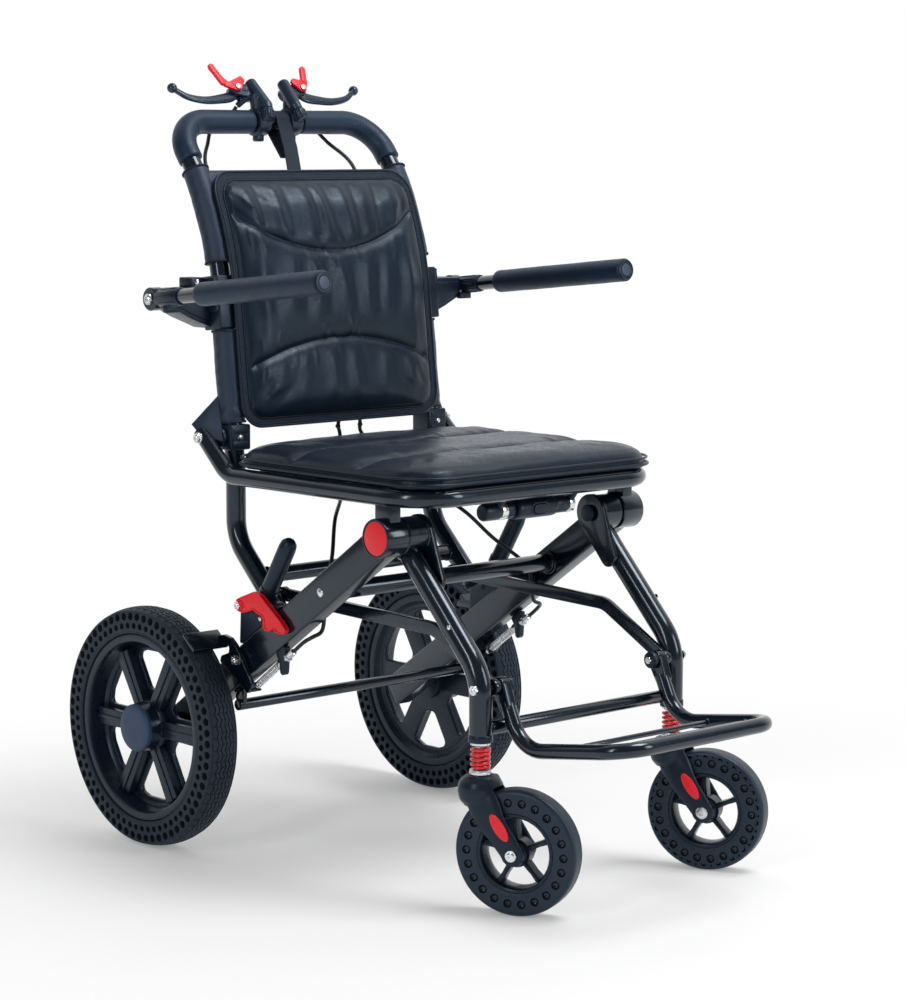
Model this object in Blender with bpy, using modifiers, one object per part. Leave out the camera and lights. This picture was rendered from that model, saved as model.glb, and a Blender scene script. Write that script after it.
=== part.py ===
"""Travel wheelchair, built as separate pieces in metres, +Z up.

The chair faces -Y. The user's right side is at -X. The origin lies on the floor, in the middle of the
chair's length and width. All heights and lengths in the side view are (y, z) pairs.
"""

import math

import bmesh
import bpy
from mathutils import Matrix, Vector

GAP = 0.0003
WIDE = 0.0008

# Rear wheels
REAR_AXLE_Y = 0.255
REAR_WHEEL_R = 0.1525
REAR_TYRE_WIDTH = 0.044
REAR_WHEEL_X = 0.245
REAR_RIM_R = REAR_WHEEL_R - 0.0335
REAR_RIM_WIDTH = 0.038
REAR_HUB_R = 0.0316
REAR_SPOKES = 6
REAR_AXLE_R = 0.006
WHEEL_STEPS = 24

# Side beams, from the front hub down to the rear axle
HUB_Y = -0.141
HUB_Z = 0.429
HUB_R = 0.0235
BEAM_INNER_X = 0.180
BEAM_OUTER_X = 0.205
BEAM_HEIGHT = 0.040
HUB_OUTER_X = 0.2153
HUB_PIN_R = 0.008

# Seat
SEAT_Z = 0.477
RAIL_X = 0.200
RAIL_R = 0.011
SEAT_FRONT_Y = -0.202
SEAT_CORNER_R = 0.062
CUSHION_REAR_Y = 0.156
CUSHION_CROWN = 0.030

# Backrest, which hinges on the rear ends of the seat tube
BACK_HINGE_Y = 0.199
BACK_HINGE_Z = 0.521
BACK_TUBE_X = 0.166
BACK_TUBE_R = 0.0125
BACK_TUBE_Y = 0.179
BACK_KNEE_Z = 0.480
BACK_SLOPE = math.radians(6.3)
BACK_ARC_Z = 0.690
BACK_ARC_R = 0.400
BACK_LOW_Y = 0.098
BACK_LOW_Z = 0.3135
BACK_BEND_Z = 0.3935
HANDLE_Z = 0.913
HANDLE_CORNER_R = 0.050
HANDLE_FOAM_R = 0.0155
FOAM_LOW_Z = HANDLE_Z - 0.049
FOAM_INNER_X = 0.040
SLEEVE_R = 0.0162
SLEEVES = ((0.545, 0.648), (0.737, FOAM_LOW_Z - 0.012))
PANEL_FRONT = 0.0150
PANEL_THICKNESS = 0.004
PAD_HALF_WIDTH = 0.164
PAD_LOW_Z = 0.540
PAD_HIGH_Z = FOAM_LOW_Z - 0.014

# Front legs and the axis that the links and the footrest share
LEG_X = 0.162
LEG_R = 0.0135
LEG_Y = -0.265
LEG_LOW_Z = 0.200
LEG_BEND_Z = 0.277
LINK_AXIS_Y = -0.268
LINK_AXIS_Z = 0.262
LINK_PIN_R = 0.004

# Casters
CASTER_R = 0.0745
CASTER_WIDTH = 0.030
CASTER_TRAIL = 0.048
CASTER_TURN = 0.44
FORK_TOP_Z = 0.1617
STEM_R = 0.0062
STEM_COLLAR_Z = 0.168
CASTER_SPRING_R = 0.0100
CASTER_WIRE_R = 0.0021
CASTER_COILS = 4
CASTER_AXLE_R = 0.005
KINGPIN_R = 0.005

# Footrest
FOOT_X = 0.1308
FOOT_R = 0.009
FOOT_FRONT_Y = -0.465
FOOT_FRONT_Z = 0.2136
FOOT_CORNER_R = 0.040

# Armrests
ARM_X = 0.252
ARM_PIVOT_Y = 0.230
ARM_PIVOT_Z = 0.6945
ARM_FRONT_Y = -0.093
ARM_FRONT_Z = 0.727
ARM_REAR_Y = 0.148
ARM_TUBE_R = 0.0095
ARM_FOAM_R = 0.0140

# Brakes
BRAKE_PIVOT_Y = 0.124
BRAKE_PIVOT_Z = 0.250
SHOE_GAP = 0.0015
SHOE_THICKNESS = 0.004
ARM_PLATE_IN_X = 0.2065
ARM_PLATE_OUT_X = 0.2125
BRAKE_SPRING_X = 0.2000
BRAKE_SPRING_R = 0.0045
BRAKE_WIRE_R = 0.0009
BRAKE_COILS = 4
CABLE_R = 0.0025

# Latch hooks on the side beams
HOOK_PIVOT_Y = 0.1154
HOOK_PIVOT_Z = 0.320
HOOK_IN_X = 0.2065
HOOK_OUT_X = 0.2145

AXLE = Vector((REAR_AXLE_Y, REAR_WHEEL_R))
HUB = Vector((HUB_Y, HUB_Z))
BEAM_DIR = (AXLE - HUB).normalized()
BEAM_UP = Vector((-BEAM_DIR.y, BEAM_DIR.x))

BLACK_PAINT = ("black_paint", (0.012, 0.014, 0.018), 0.25, 0.0)
BLACK_PLASTIC = ("black_plastic", (0.020, 0.022, 0.026), 0.50, 0.0)
RUBBER = ("rubber", (0.030, 0.034, 0.042), 0.75, 0.0)
FOAM = ("foam", (0.035, 0.038, 0.044), 0.80, 0.0)
LEATHER = ("navy_leather", (0.050, 0.062, 0.090), 0.45, 0.0)
FABRIC = ("black_fabric", (0.020, 0.022, 0.030), 0.85, 0.0)
RED = ("red_plastic", (0.75, 0.030, 0.035), 0.40, 0.0)
STEEL = ("bright_steel", (0.75, 0.76, 0.78), 0.25, 1.0)


def clear_scene():
    for obj in list(bpy.data.objects):
        bpy.data.objects.remove(obj, do_unlink=True)


def collection(name):
    made = bpy.data.collections.new(name)
    bpy.context.scene.collection.children.link(made)
    return made


def material(look):
    name, color, roughness, metallic = look
    found = bpy.data.materials.get(name)
    if found:
        return found
    made = bpy.data.materials.new(name)
    made.use_nodes = True
    shader = made.node_tree.nodes["Principled BSDF"]
    shader.inputs["Base Color"].default_value = (*color, 1.0)
    shader.inputs["Roughness"].default_value = roughness
    shader.inputs["Metallic"].default_value = metallic
    return made


clear_scene()
PARTS = collection("travel_wheelchair")
CUTTERS = collection("cutters")
ALONG_X = Matrix(((0, 0, 1, 0), (1, 0, 0, 0), (0, 1, 0, 0), (0, 0, 0, 1)))


def frame_along(direction):
    """A rotation whose local Z runs along direction."""
    return Vector(direction).to_track_quat("Z", "Y").to_matrix().to_4x4()


def place(name, data, matrix=None):
    """A new object of the mesh or curve, kept with the cutters until finish() claims it."""
    obj = bpy.data.objects.new(name, data)
    obj.matrix_world = matrix or Matrix()
    obj.hide_render = True
    obj.display_type = "WIRE"
    CUTTERS.objects.link(obj)
    return obj


def finish(obj, name, look):
    """Turns a built shape into one of the chair's named pieces."""
    obj.name = name
    obj.data.name = name
    obj.data.materials.clear()
    obj.data.materials.append(material(look))
    obj.hide_render = False
    obj.display_type = "TEXTURED"
    CUTTERS.objects.unlink(obj)
    PARTS.objects.link(obj)
    if obj.type == "MESH":
        obj.data.shade_smooth()
        obj.data.set_sharp_from_angle(angle=math.radians(35))
    return obj


def mesh_from(bm, name, matrix=None):
    bmesh.ops.recalc_face_normals(bm, faces=bm.faces)
    mesh = bpy.data.meshes.new(name)
    bm.to_mesh(mesh)
    bm.free()
    return place(name, mesh, matrix)


def box(low, high, bevel=0.0, matrix=None):
    """A box between two opposite corners, with all its edges cut off by bevel."""
    low, high = [min(pair) for pair in zip(low, high)], [max(pair) for pair in zip(low, high)]
    bm = bmesh.new()
    bmesh.ops.create_cube(bm, size=1.0)
    for vert in bm.verts:
        for axis in range(3):
            span = high[axis] - low[axis]
            vert.co[axis] = low[axis] + (vert.co[axis] + 0.5) * span
    if bevel:
        bmesh.ops.bevel(bm, geom=bm.edges[:], offset=bevel, segments=1, affect="EDGES")
    return mesh_from(bm, "box", matrix)


def rod(start, end, radius, sides=16, end_radius=None):
    """A cylinder or cone between two points."""
    start, end = Vector(start), Vector(end)
    bm = bmesh.new()
    bmesh.ops.create_cone(
        bm, cap_ends=True, segments=sides, radius1=radius,
        radius2=radius if end_radius is None else end_radius, depth=(end - start).length,
    )
    matrix = Matrix.Translation((start + end) / 2) @ frame_along(end - start)
    return mesh_from(bm, "rod", matrix)


def x_rod(x0, x1, at, radius, sides=16):
    """A cylinder along X, at the side-view point (y, z)."""
    return rod((x0, at[0], at[1]), (x1, at[0], at[1]), radius, sides)


def clear_of(radius, sides=12, gap=GAP):
    """The radius of a bore whose flats stay clear of a round piece, whichever way it is turned."""
    return (radius + gap) / math.cos(math.pi / sides)


def rounded(corners, radii, step=math.radians(22.5)):
    """The corner points joined by straight runs, with an arc of the given radius at each inner one."""
    corners = [Vector(c) for c in corners]
    if isinstance(radii, (int, float)):
        radii = [radii] * (len(corners) - 2)
    path = [corners[0]]
    for before, here, after, radius in zip(corners, corners[1:], corners[2:], radii):
        u, v = (before - here).normalized(), (after - here).normalized()
        turn = math.pi - u.angle(v)
        if turn < 1e-4 or radius == 0:
            path.append(here)
            continue
        reach = radius * math.tan(turn / 2)
        centre = here + (u + v).normalized() * radius / math.cos(turn / 2)
        first, last = here + u * reach - centre, here + v * reach - centre
        count = max(2, round(turn / step))
        for i in range(count + 1):
            path.append(centre + first.slerp(last, i / count).normalized() * radius)
    return path + [corners[-1]]


def curve(path, radius, sides=12, radii=None):
    """A round tube along the points, as a curve with filled caps."""
    data = bpy.data.curves.new("tube", "CURVE")
    data.dimensions = "3D"
    data.bevel_depth = radius
    data.bevel_resolution = (sides - 4) // 2
    data.use_fill_caps = True
    spline = data.splines.new("POLY")
    spline.points.add(len(path) - 1)
    for point, at in zip(spline.points, path):
        point.co = (*at, 1.0)
    for point, share in zip(spline.points, radii or []):
        point.radius = share
    return place("tube", data)


def solid(obj):
    """The same shape as a mesh object, with its loose caps welded on."""
    graph = bpy.context.evaluated_depsgraph_get()
    mesh = bpy.data.meshes.new_from_object(obj.evaluated_get(graph))
    bm = bmesh.new()
    bm.from_mesh(mesh)
    bmesh.ops.remove_doubles(bm, verts=bm.verts, dist=1e-6)
    bmesh.ops.recalc_face_normals(bm, faces=bm.faces)
    bm.to_mesh(mesh)
    bm.free()
    made = place(obj.name, mesh, obj.matrix_world.copy())
    bpy.data.objects.remove(obj, do_unlink=True)
    return made


def tube(path, radius, sides=12):
    return solid(curve(path, radius, sides))


def plate(outline, x0, x1):
    """A flat outline of (y, z) points, as thick as x0 to x1."""
    data = bpy.data.curves.new("plate", "CURVE")
    data.dimensions = "2D"
    data.fill_mode = "BOTH"
    data.extrude = abs(x1 - x0) / 2
    spline = data.splines.new("POLY")
    spline.points.add(len(outline) - 1)
    for point, at in zip(spline.points, outline):
        point.co = (at[0], at[1], 0.0, 1.0)
    spline.use_cyclic_u = True
    obj = place("plate", data, Matrix.Translation(((x0 + x1) / 2, 0, 0)) @ ALONG_X)
    bpy.context.view_layer.update()
    return solid(obj)


def turned(profile, steps=24, matrix=None, ring=False):
    """A profile of (radius, height) points, turned about local Z. A ring's profile closes on itself."""
    mesh = bpy.data.meshes.new("turned")
    count = len(profile)
    edges = [(i, i + 1) for i in range(count - 1)] + ([(count - 1, 0)] if ring else [])
    mesh.from_pydata([(r, 0, h) for r, h in profile], edges, [])
    obj = place("turned", mesh, matrix)
    screw = obj.modifiers.new("Screw", "SCREW")
    screw.steps = screw.render_steps = steps
    screw.use_merge_vertices = True
    screw.merge_threshold = 0.00001
    bpy.context.view_layer.update()
    return solid(obj)


def hull_outline(first, first_r, last, last_r, steps=6):
    """The outline round two circles of the side view, as a strap or a lever has."""
    first, last = Vector(first), Vector(last)
    along = last - first
    base = math.atan2(along.y, along.x)
    lean = math.acos(max(-1.0, min(1.0, (first_r - last_r) / along.length)))
    points = []
    for i in range(steps):
        turn = base + lean + i * (2 * math.pi - 2 * lean) / (steps - 1)
        points.append(first + first_r * Vector((math.cos(turn), math.sin(turn))))
    for i in range(steps):
        turn = base - lean + i * 2 * lean / (steps - 1)
        points.append(last + last_r * Vector((math.cos(turn), math.sin(turn))))
    return points


def join(obj, others, operation="UNION"):
    """Adds the other shapes to obj, or cuts them from it, and keeps the result as its mesh."""
    for other in others:
        modifier = obj.modifiers.new(operation.title(), "BOOLEAN")
        modifier.operation = operation
        modifier.object = other
    bpy.context.view_layer.update()
    graph = bpy.context.evaluated_depsgraph_get()
    mesh = bpy.data.meshes.new_from_object(obj.evaluated_get(graph))
    obj.modifiers.clear()
    obj.data = mesh
    bm = bmesh.new()
    bm.from_mesh(mesh)
    bmesh.ops.dissolve_limit(bm, angle_limit=math.radians(0.3), verts=bm.verts, edges=bm.edges)
    bm.to_mesh(mesh)
    bm.free()
    for other in others:
        bpy.data.objects.remove(other, do_unlink=True)
    return obj


def cut(obj, others):
    return join(obj, others, "DIFFERENCE")


def beam_point(along, up=0.0):
    """A side-view point so far down the beam from the hub, and so far above its middle line."""
    return HUB + BEAM_DIR * along + BEAM_UP * up


def beam_at(y, up=0.0):
    """The side-view point at this y of the line that runs so far above the beam's middle."""
    return beam_point((y - HUB_Y - BEAM_UP.x * up) / BEAM_DIR.x, up)


def slab(outline, low, high, matrix=None):
    """A flat outline in the local XY plane, from local height low to high."""
    data = bpy.data.curves.new("slab", "CURVE")
    data.dimensions = "2D"
    data.fill_mode = "BOTH"
    data.extrude = abs(high - low) / 2
    spline = data.splines.new("POLY")
    spline.points.add(len(outline) - 1)
    for point, at in zip(spline.points, outline):
        point.co = (at[0], at[1], 0.0, 1.0)
    spline.use_cyclic_u = True
    lift = Matrix.Translation((0, 0, (low + high) / 2))
    return solid(place("slab", data, (matrix or Matrix()) @ lift))


def ribbon(points, widths):
    """The outline of a strap that follows the 2-D points with a half width at each."""
    points = [Vector(p) for p in points]
    first, second = [], []
    for i, at in enumerate(points):
        along = (points[min(i + 1, len(points) - 1)] - points[max(i - 1, 0)]).normalized()
        across = Vector((-along.y, along.x)) * widths[i]
        first.append(at + across)
        second.append(at - across)
    return first + second[::-1]


def smooth(points, spacing):
    """Evenly spaced points on a smooth curve through the given ones."""
    points = [Vector(p) for p in points]
    ends = [points[0] * 2 - points[1]] + points + [points[-1] * 2 - points[-2]]
    dense = []
    for a, b, c, d in zip(ends, ends[1:], ends[2:], ends[3:]):
        for i in range(12):
            t = i / 12
            dense.append(0.5 * (2 * b + (c - a) * t + (2 * a - 5 * b + 4 * c - d) * t * t
                                + (3 * b - a - 3 * c + d) * t ** 3))
    dense.append(points[-1])
    length = sum((q - p).length for p, q in zip(dense, dense[1:]))
    count = max(2, round(length / spacing))
    path, walked, goal = [dense[0]], 0.0, length / count
    for p, q in zip(dense, dense[1:]):
        step = (q - p).length
        while walked + step >= goal * len(path) and len(path) < count:
            path.append(p.lerp(q, (goal * len(path) - walked) / step))
        walked += step
    return path + [dense[-1]]


def helix(start, end, radius, turns, per_turn=8):
    """The points of a coil between two points on its axis."""
    start, end = Vector(start), Vector(end)
    turn_frame = frame_along(end - start).to_3x3()
    count = round(turns * per_turn)
    path = []
    for i in range(count + 1):
        angle = 2 * math.pi * i / per_turn
        around = turn_frame @ Vector((math.cos(angle), math.sin(angle), 0)) * radius
        path.append(start.lerp(end, i / count) + around)
    return path


def least_coil_gap(path, wire_radius, per_turn=8):
    """The least distance between one curl's surface and the next one's."""
    gaps = []
    for i, at in enumerate(path):
        for j in range(i + per_turn // 2 + 1, len(path) - 1):
            first, last = path[j], path[j + 1]
            run = last - first
            share = max(0.0, min(1.0, (at - first).dot(run) / run.length_squared))
            gaps.append((at - first - run * share).length)
    return min(gaps) - 2 * wire_radius


def spring(name, start, end, radius, wire_radius, turns, look):
    path = helix(start, end, radius, turns)
    print(name, "least gap to itself", round(1000 * least_coil_gap(path, wire_radius), 2), "mm")
    return finish(tube(path, wire_radius, 6), name, look)


def pad(name, look, half_width, low, high, corner_r, surface, edge, crown, seams, columns):
    """A stuffed pad on a surface, with a crown, sides drawn in under a piped edge, and sewn channels.

    surface(v, h) gives the (y, z) of a point so far along the pad and so far above its base.
    seams lists functions that give a channel's v at an x, in rising order.
    """
    centre = (low + high) / 2
    half_length = (high - low) / 2

    def rounded_corner(x, v):
        """Pulls the grid's square corners onto round ones, and gives the distance to the edge."""
        cx, cv = half_width - corner_r, half_length - corner_r
        dx, dv = abs(x) - cx, abs(v) - cv
        if dx > 0 and dv > 0:
            reach = max(dx, dv)
            length = math.hypot(dx, dv)
            dx, dv = dx * reach / length, dv * reach / length
            return math.copysign(cx + dx, x), math.copysign(cv + dv, v), corner_r - reach
        return x, v, min(half_width - abs(x), half_length - abs(v))

    def height(x, v, inside):
        share = min(1.0, inside / 0.045)
        rise = edge + crown * math.sqrt(1 - (1 - share) ** 2)
        rise += 0.12 * crown * (1 - (x / half_width) ** 2)
        for seam in seams:
            across = (v + centre - seam(x)) / 0.0085
            rise -= 0.0045 * math.exp(-across * across) * min(1.0, inside / 0.012)
        return rise

    bm = bmesh.new()

    def vert(x, v, rise, shrink=0.0):
        scale_x = 1 - shrink / half_width
        scale_v = 1 - shrink / half_length
        y, z = surface(centre + v * scale_v, rise)
        return bm.verts.new((x * scale_x, y, z))

    def spread(i):
        """Grid lines drawn closer together towards the pad's edges."""
        t = 2 * i / columns - 1
        return half_width * math.copysign(1 - (1 - abs(t)) ** 1.35, t)

    def row_lines(x):
        """The v of each row at this x: rows crowd towards the ends and on both sides of each channel."""
        lower, upper = [seam(x) - centre for seam in seams]
        side = 0.0105
        rows = [-half_length + (lower - side + half_length) * t for t in (0, 0.08, 0.25, 0.55)]
        rows += [lower - side, lower, lower + side]
        rows += [lower + side + (upper - lower - 2 * side) * t for t in (0.33, 0.67)]
        rows += [upper - side, upper, upper + side]
        return rows + [half_length - (half_length - upper - side) * t for t in (0.55, 0.25, 0.08, 0)]

    def sheet(rise_of, shrink):
        lines = []
        for j in range(len(row_lines(0))):
            line = []
            for i in range(columns + 1):
                x = spread(i)
                x, v, inside = rounded_corner(x, row_lines(x)[j])
                line.append(vert(x, v, rise_of(x, v, inside), shrink))
            lines.append(line)
        return lines

    def rim(lines):
        return (lines[0] + [line[-1] for line in lines[1:]] + lines[-1][-2::-1]
                + [line[0] for line in lines[-2:0:-1]])

    top = sheet(height, 0.0)
    bottom = sheet(lambda x, v, inside: 0.0, 0.0015)
    for line in bottom[1:-1]:
        for vertex in line[1:-1]:
            bm.verts.remove(vertex)
    drawn_in = []
    for vertex, under in zip(rim(top), rim(bottom)):
        middle = vertex.co.lerp(under.co, 0.55)
        middle.x *= 1 - 0.0030 / half_width
        drawn_in.append(bm.verts.new(middle))
    for a, b in zip(top, top[1:]):
        for i in range(columns):
            bm.faces.new((a[i], a[i + 1], b[i + 1], b[i]))
    bm.faces.new(bottom[0] + [bottom[1][-1], bottom[1][0]])
    bm.faces.new(bottom[-1] + [bottom[-2][-1], bottom[-2][0]])
    for a, b in zip(bottom[1:], bottom[2:-1]):
        bm.faces.new((a[0], a[-1], b[-1], b[0]))
    for ring, other in ((rim(top), drawn_in), (drawn_in, rim(bottom))):
        for i in range(len(ring)):
            k = (i + 1) % len(ring)
            bm.faces.new((ring[i], ring[k], other[k], other[i]))
    return finish(mesh_from(bm, name), name, look)


def back_y(z):
    """The y of the backrest tube's middle at a height above its knee."""
    if z <= BACK_KNEE_Z:
        return BACK_TUBE_Y
    straight = BACK_TUBE_Y + math.tan(BACK_SLOPE) * (min(z, BACK_ARC_Z) - BACK_KNEE_Z)
    if z <= BACK_ARC_Z:
        return straight
    turned_to = math.asin(math.sin(BACK_SLOPE) + (z - BACK_ARC_Z) / BACK_ARC_R)
    return straight + BACK_ARC_R * (math.cos(BACK_SLOPE) - math.cos(turned_to))


BACK_LEVELS = [BACK_ARC_Z + i * (FOAM_LOW_Z - BACK_ARC_Z) / 4 for i in range(5)]
HANDLE_Y = back_y(HANDLE_Z)


def from_bar(x, back, up):
    """A point so far out, behind and above the middle of the handlebar's cross bar."""
    return Vector((x, HANDLE_Y + back, HANDLE_Z + up))


LEVER_PIVOT = from_bar(0.0545, 0.0162, 0.0390)
FERRULE_END = from_bar(0.0500, 0.0157, 0.0200)
PARENTS = {}


def back_front(z, away):
    """The y of the line that runs so far in front of the backrest tube's middle, square to it."""
    slope = (on_back(z + 0.01) - on_back(z - 0.01)) / 0.02
    return on_back(z) - away * math.hypot(1, slope)


def on_back(z):
    """The y of the faceted backrest tube's middle, between the heights where it bends."""
    levels = [BACK_KNEE_Z] + BACK_LEVELS + [HANDLE_Z]
    for low, high in zip(levels, levels[1:]):
        if z <= high:
            share = (z - low) / (high - low)
            return back_y(low) + share * (back_y(high) - back_y(low))
    return HANDLE_Y


def back_stretch(side, low, high):
    """The backrest tube's own bends between two heights, so that bores follow its facets."""
    inner = [z for z in BACK_LEVELS if low < z < high]
    return [Vector((side * BACK_TUBE_X, on_back(z), z)) for z in [low, *inner, high]]


def bored(outer_path, outer_r, inner_path, inner_r, sides=12):
    return cut(tube(outer_path, outer_r, sides), [tube(inner_path, inner_r, sides)])


def past_ends(path, reach=0.004):
    """The path with each end moved outwards, for a bore that goes right through."""
    first = path[0] + (path[0] - path[1]).normalized() * reach
    last = path[-1] + (path[-1] - path[-2]).normalized() * reach
    return [first, *path[1:-1], last]


def axis_empty(name, at, parent=None):
    """An empty on a joint's axis. What moves about it is parented to it."""
    obj = bpy.data.objects.new(name, None)
    obj.empty_display_size = 0.02
    PARTS.objects.link(obj)
    at = Vector(at)
    above, above_at = PARENTS.get(parent, (None, Vector()))
    obj.parent = above
    obj.location = at - above_at
    PARENTS[name] = (obj, at)
    return name


def hang(parent, *pieces):
    """Parents the pieces to the empty and leaves them where they were modelled."""
    empty, at = PARENTS[parent]
    for piece in pieces:
        piece.parent = empty
        piece.matrix_parent_inverse = Matrix.Translation(-at)


FRONT_Y = FOOT_FRONT_Y - FOOT_R
REAR_Y = REAR_AXLE_Y + REAR_WHEEL_R
axis_empty("chair", (0, 0, 0))
PARENTS["chair"][0].location.y = -(FRONT_Y + REAR_Y) / 2

BEAM_FRAME = Matrix((
    (1, 0, 0, 0),
    (0, BEAM_DIR.x, BEAM_UP.x, HUB_Y),
    (0, BEAM_DIR.y, BEAM_UP.y, HUB_Z),
    (0, 0, 0, 1),
))
BEAM_LENGTH = (AXLE - HUB).length
BEAM_HALF = BEAM_HEIGHT / 2
HINGE = Vector((BACK_HINGE_Y, BACK_HINGE_Z))
LINK_AXIS = Vector((LINK_AXIS_Y, LINK_AXIS_Z))
BRAKE_PIVOT = Vector((BRAKE_PIVOT_Y, BRAKE_PIVOT_Z))
HOOK_PIVOT = Vector((HOOK_PIVOT_Y, HOOK_PIVOT_Z))
SLEEVE_IN_X = 0.1472
SLEEVE_OUT_X = BEAM_INNER_X - 0.0012
LEG_PLATE_X = 0.1420
RAIL_LOW_Z = SEAT_Z - RAIL_R
BOLT_R = 0.004
LEVER_AXIS = Vector((0, 0.853, -0.522)).normalized()
LEVER_HALF = 0.0030
LEVER_PIN_R = 0.0025
FERRULE_DIR = Vector((0.55, 0.35, -0.75)).normalized()
EAR_IN_X = 0.1825
EAR_OUT_X = RAIL_X - RAIL_R - 0.0005
SIDE_NAMES = {-1: "right", 1: "left"}
SIDES = (-1, 1)
KNEE_LINE = Vector((BACK_TUBE_Y - BACK_LOW_Y, BACK_BEND_Z - BACK_LOW_Z)).normalized()


def side_beam(side):
    """The flat side tube with its hub, the hinge pin of the front leg and the rear wheel's stub axle."""
    beam = box((side * BEAM_INNER_X, -0.004, -BEAM_HALF),
               (side * BEAM_OUTER_X, BEAM_LENGTH + 0.025, BEAM_HALF), 0.003, BEAM_FRAME)
    lug_top = RAIL_LOW_Z - GAP
    return finish(join(beam, [
        x_rod(side * (BEAM_INNER_X + 0.001), side * HUB_OUTER_X, HUB, HUB_R, 20),
        x_rod(side * (LEG_PLATE_X - 0.0035), side * (BEAM_INNER_X + 0.010), HUB, HUB_PIN_R, 12),
        x_rod(side * (LEG_PLATE_X - 0.0060), side * (LEG_PLATE_X - 0.0005), HUB, HUB_PIN_R + 0.003, 10),
        box((side * 0.1870, HUB_Y - 0.014, HUB_Z), (side * 0.2035, HUB_Y + 0.014, lug_top)),
        x_rod(side * (BEAM_OUTER_X - 0.005), side * 0.2650, AXLE, REAR_AXLE_R, 12),
        x_rod(side * (BEAM_OUTER_X - 0.005), side * (ARM_PLATE_OUT_X + 0.0010), BRAKE_PIVOT, BOLT_R, 10),
        x_rod(side * (ARM_PLATE_OUT_X + 0.0004), side * (ARM_PLATE_OUT_X + 0.0042), BRAKE_PIVOT, 0.0075, 6),
    ]), f"side_beam_{SIDE_NAMES[side]}", BLACK_PAINT)


def cross_tubes():
    end = BEAM_INNER_X - GAP
    mid_at = beam_at(-0.030)
    mid = x_rod(-end, end, mid_at, 0.011, 12)
    flanges = [x_rod(side * (end - 0.003), side * end, mid_at, 0.0155, 12) for side in SIDES]
    mid = finish(join(mid, flanges), "mid_cross_tube", BLACK_PAINT)
    rear_at = Vector((0.140, 0.189))
    rear = x_rod(-0.197, 0.197, rear_at, 0.007, 12)
    lugs = []
    for side in SIDES:
        outline = [rear_at + Vector((-0.006, -0.003)), rear_at + Vector((0.006, -0.003)),
                   beam_at(0.149, -BEAM_HALF - GAP), beam_at(0.131, -BEAM_HALF - GAP)]
        lugs.append(plate(outline, side * 0.1875, side * 0.1935))
    return mid, finish(join(rear, lugs), "rear_cross_tube", BLACK_PAINT)


def seat_frame():
    """The seat tube: both rails, the front bar, and rear ends bent up to the backrest hinge."""
    bend_y = 0.150
    half = [
        Vector((-RAIL_X, HINGE.x, HINGE.y)) + Vector((0, 0.007, 0.0063)),
        Vector((-RAIL_X, bend_y, SEAT_Z)),
        Vector((-RAIL_X, SEAT_FRONT_Y, SEAT_Z)),
    ]
    corners = half + [Vector((-p.x, p.y, p.z)) for p in half[::-1]]
    path = rounded(corners, [0.040, SEAT_CORNER_R, SEAT_CORNER_R, 0.040])
    frame = tube(path, RAIL_R, 10)
    pins = []
    for side in SIDES:
        pins.append(x_rod(side * (EAR_IN_X + 0.0005), side * RAIL_X, HINGE, BOLT_R, 10))
    return finish(join(frame, pins), "seat_frame", BLACK_PAINT)


def round_rect(half_width, front, rear, front_r, rear_r):
    """The outline of a seat seen from above, with round corners."""
    corners = [Vector((0, front, 0)), Vector((half_width, front, 0)), Vector((half_width, rear, 0)),
               Vector((-half_width, rear, 0)), Vector((-half_width, front, 0)), Vector((0, front, 0))]
    return [p.xy for p in rounded(corners, [front_r, rear_r, rear_r, front_r])[:-1]]


def seat_sling():
    inset = 0.0085
    outline = round_rect(RAIL_X - inset, SEAT_FRONT_Y + inset, 0.135, SEAT_CORNER_R - inset, 0.006)
    return finish(slab(outline, SEAT_Z + 0.0076, SEAT_Z + RAIL_R), "seat_sling", FABRIC)


def seat_cushion():
    base = SEAT_Z + RAIL_R + 0.0005
    seams = [lambda x: -0.098 + 0.010 * (x / 0.2) ** 2, lambda x: 0.040 - 0.010 * (x / 0.2) ** 2]
    return pad("seat_cushion", LEATHER, RAIL_X + 0.005, SEAT_FRONT_Y - 0.008, CUSHION_REAR_Y, 0.055,
               lambda v, rise: (v, base + rise), 0.010, CUSHION_CROWN - 0.010, seams, 14)


def release_grip():
    """The bar under the front of the seat, its housing and its push button."""
    at = Vector((-0.182, 0.452))
    bar = Vector((SEAT_FRONT_Y, SEAT_Z))
    toward = (bar - at).normalized()
    end = bar - toward * (RAIL_R + GAP)
    handle = x_rod(-0.074, 0.064, at, 0.0085, 12)
    pieces = [x_rod(-0.083, -0.047, at, 0.0108, 12), x_rod(0.056, 0.065, at, 0.0108, 12)]
    for side in SIDES:
        pieces.append(rod((side * 0.060, at.x, at.y), (side * 0.060, end.x, end.y), 0.005, 8))
    handle = finish(join(handle, pieces), "release_handle", STEEL)
    deep, tall = 0.0155, 0.0125
    oval = [at + Vector((deep * math.cos(a), tall * math.sin(a)))
            for a in [2 * math.pi * i / 20 for i in range(20)]]
    housing = plate(oval, -0.033, 0.033)
    face_y = at.x - deep
    pocket = 0.0050
    button_frame = Matrix.Translation((0, face_y, at.y)) @ Matrix.Rotation(math.radians(90), 4, "X")

    def stadium(half_length, radius):
        corners = [(0, -radius), (half_length, -radius), (half_length, radius),
                   (-half_length, radius), (-half_length, -radius), (0, -radius)]
        corners = [Vector((*c, 0)) for c in corners]
        return [p.xy for p in rounded(corners, radius * 0.95, math.radians(30))[:-1]]

    housing = cut(housing, [
        x_rod(-0.036, 0.036, at, clear_of(0.0085), 12),
        slab(stadium(0.0115 + WIDE, 0.0055 + WIDE), -pocket, 0.006, button_frame),
    ])
    housing = finish(housing, "release_housing", BLACK_PLASTIC)
    button = slab(stadium(0.0115, 0.0055), -0.0014, 0.0016, button_frame)
    return handle, housing, finish(button, "release_button", BLACK_PLASTIC)


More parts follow.
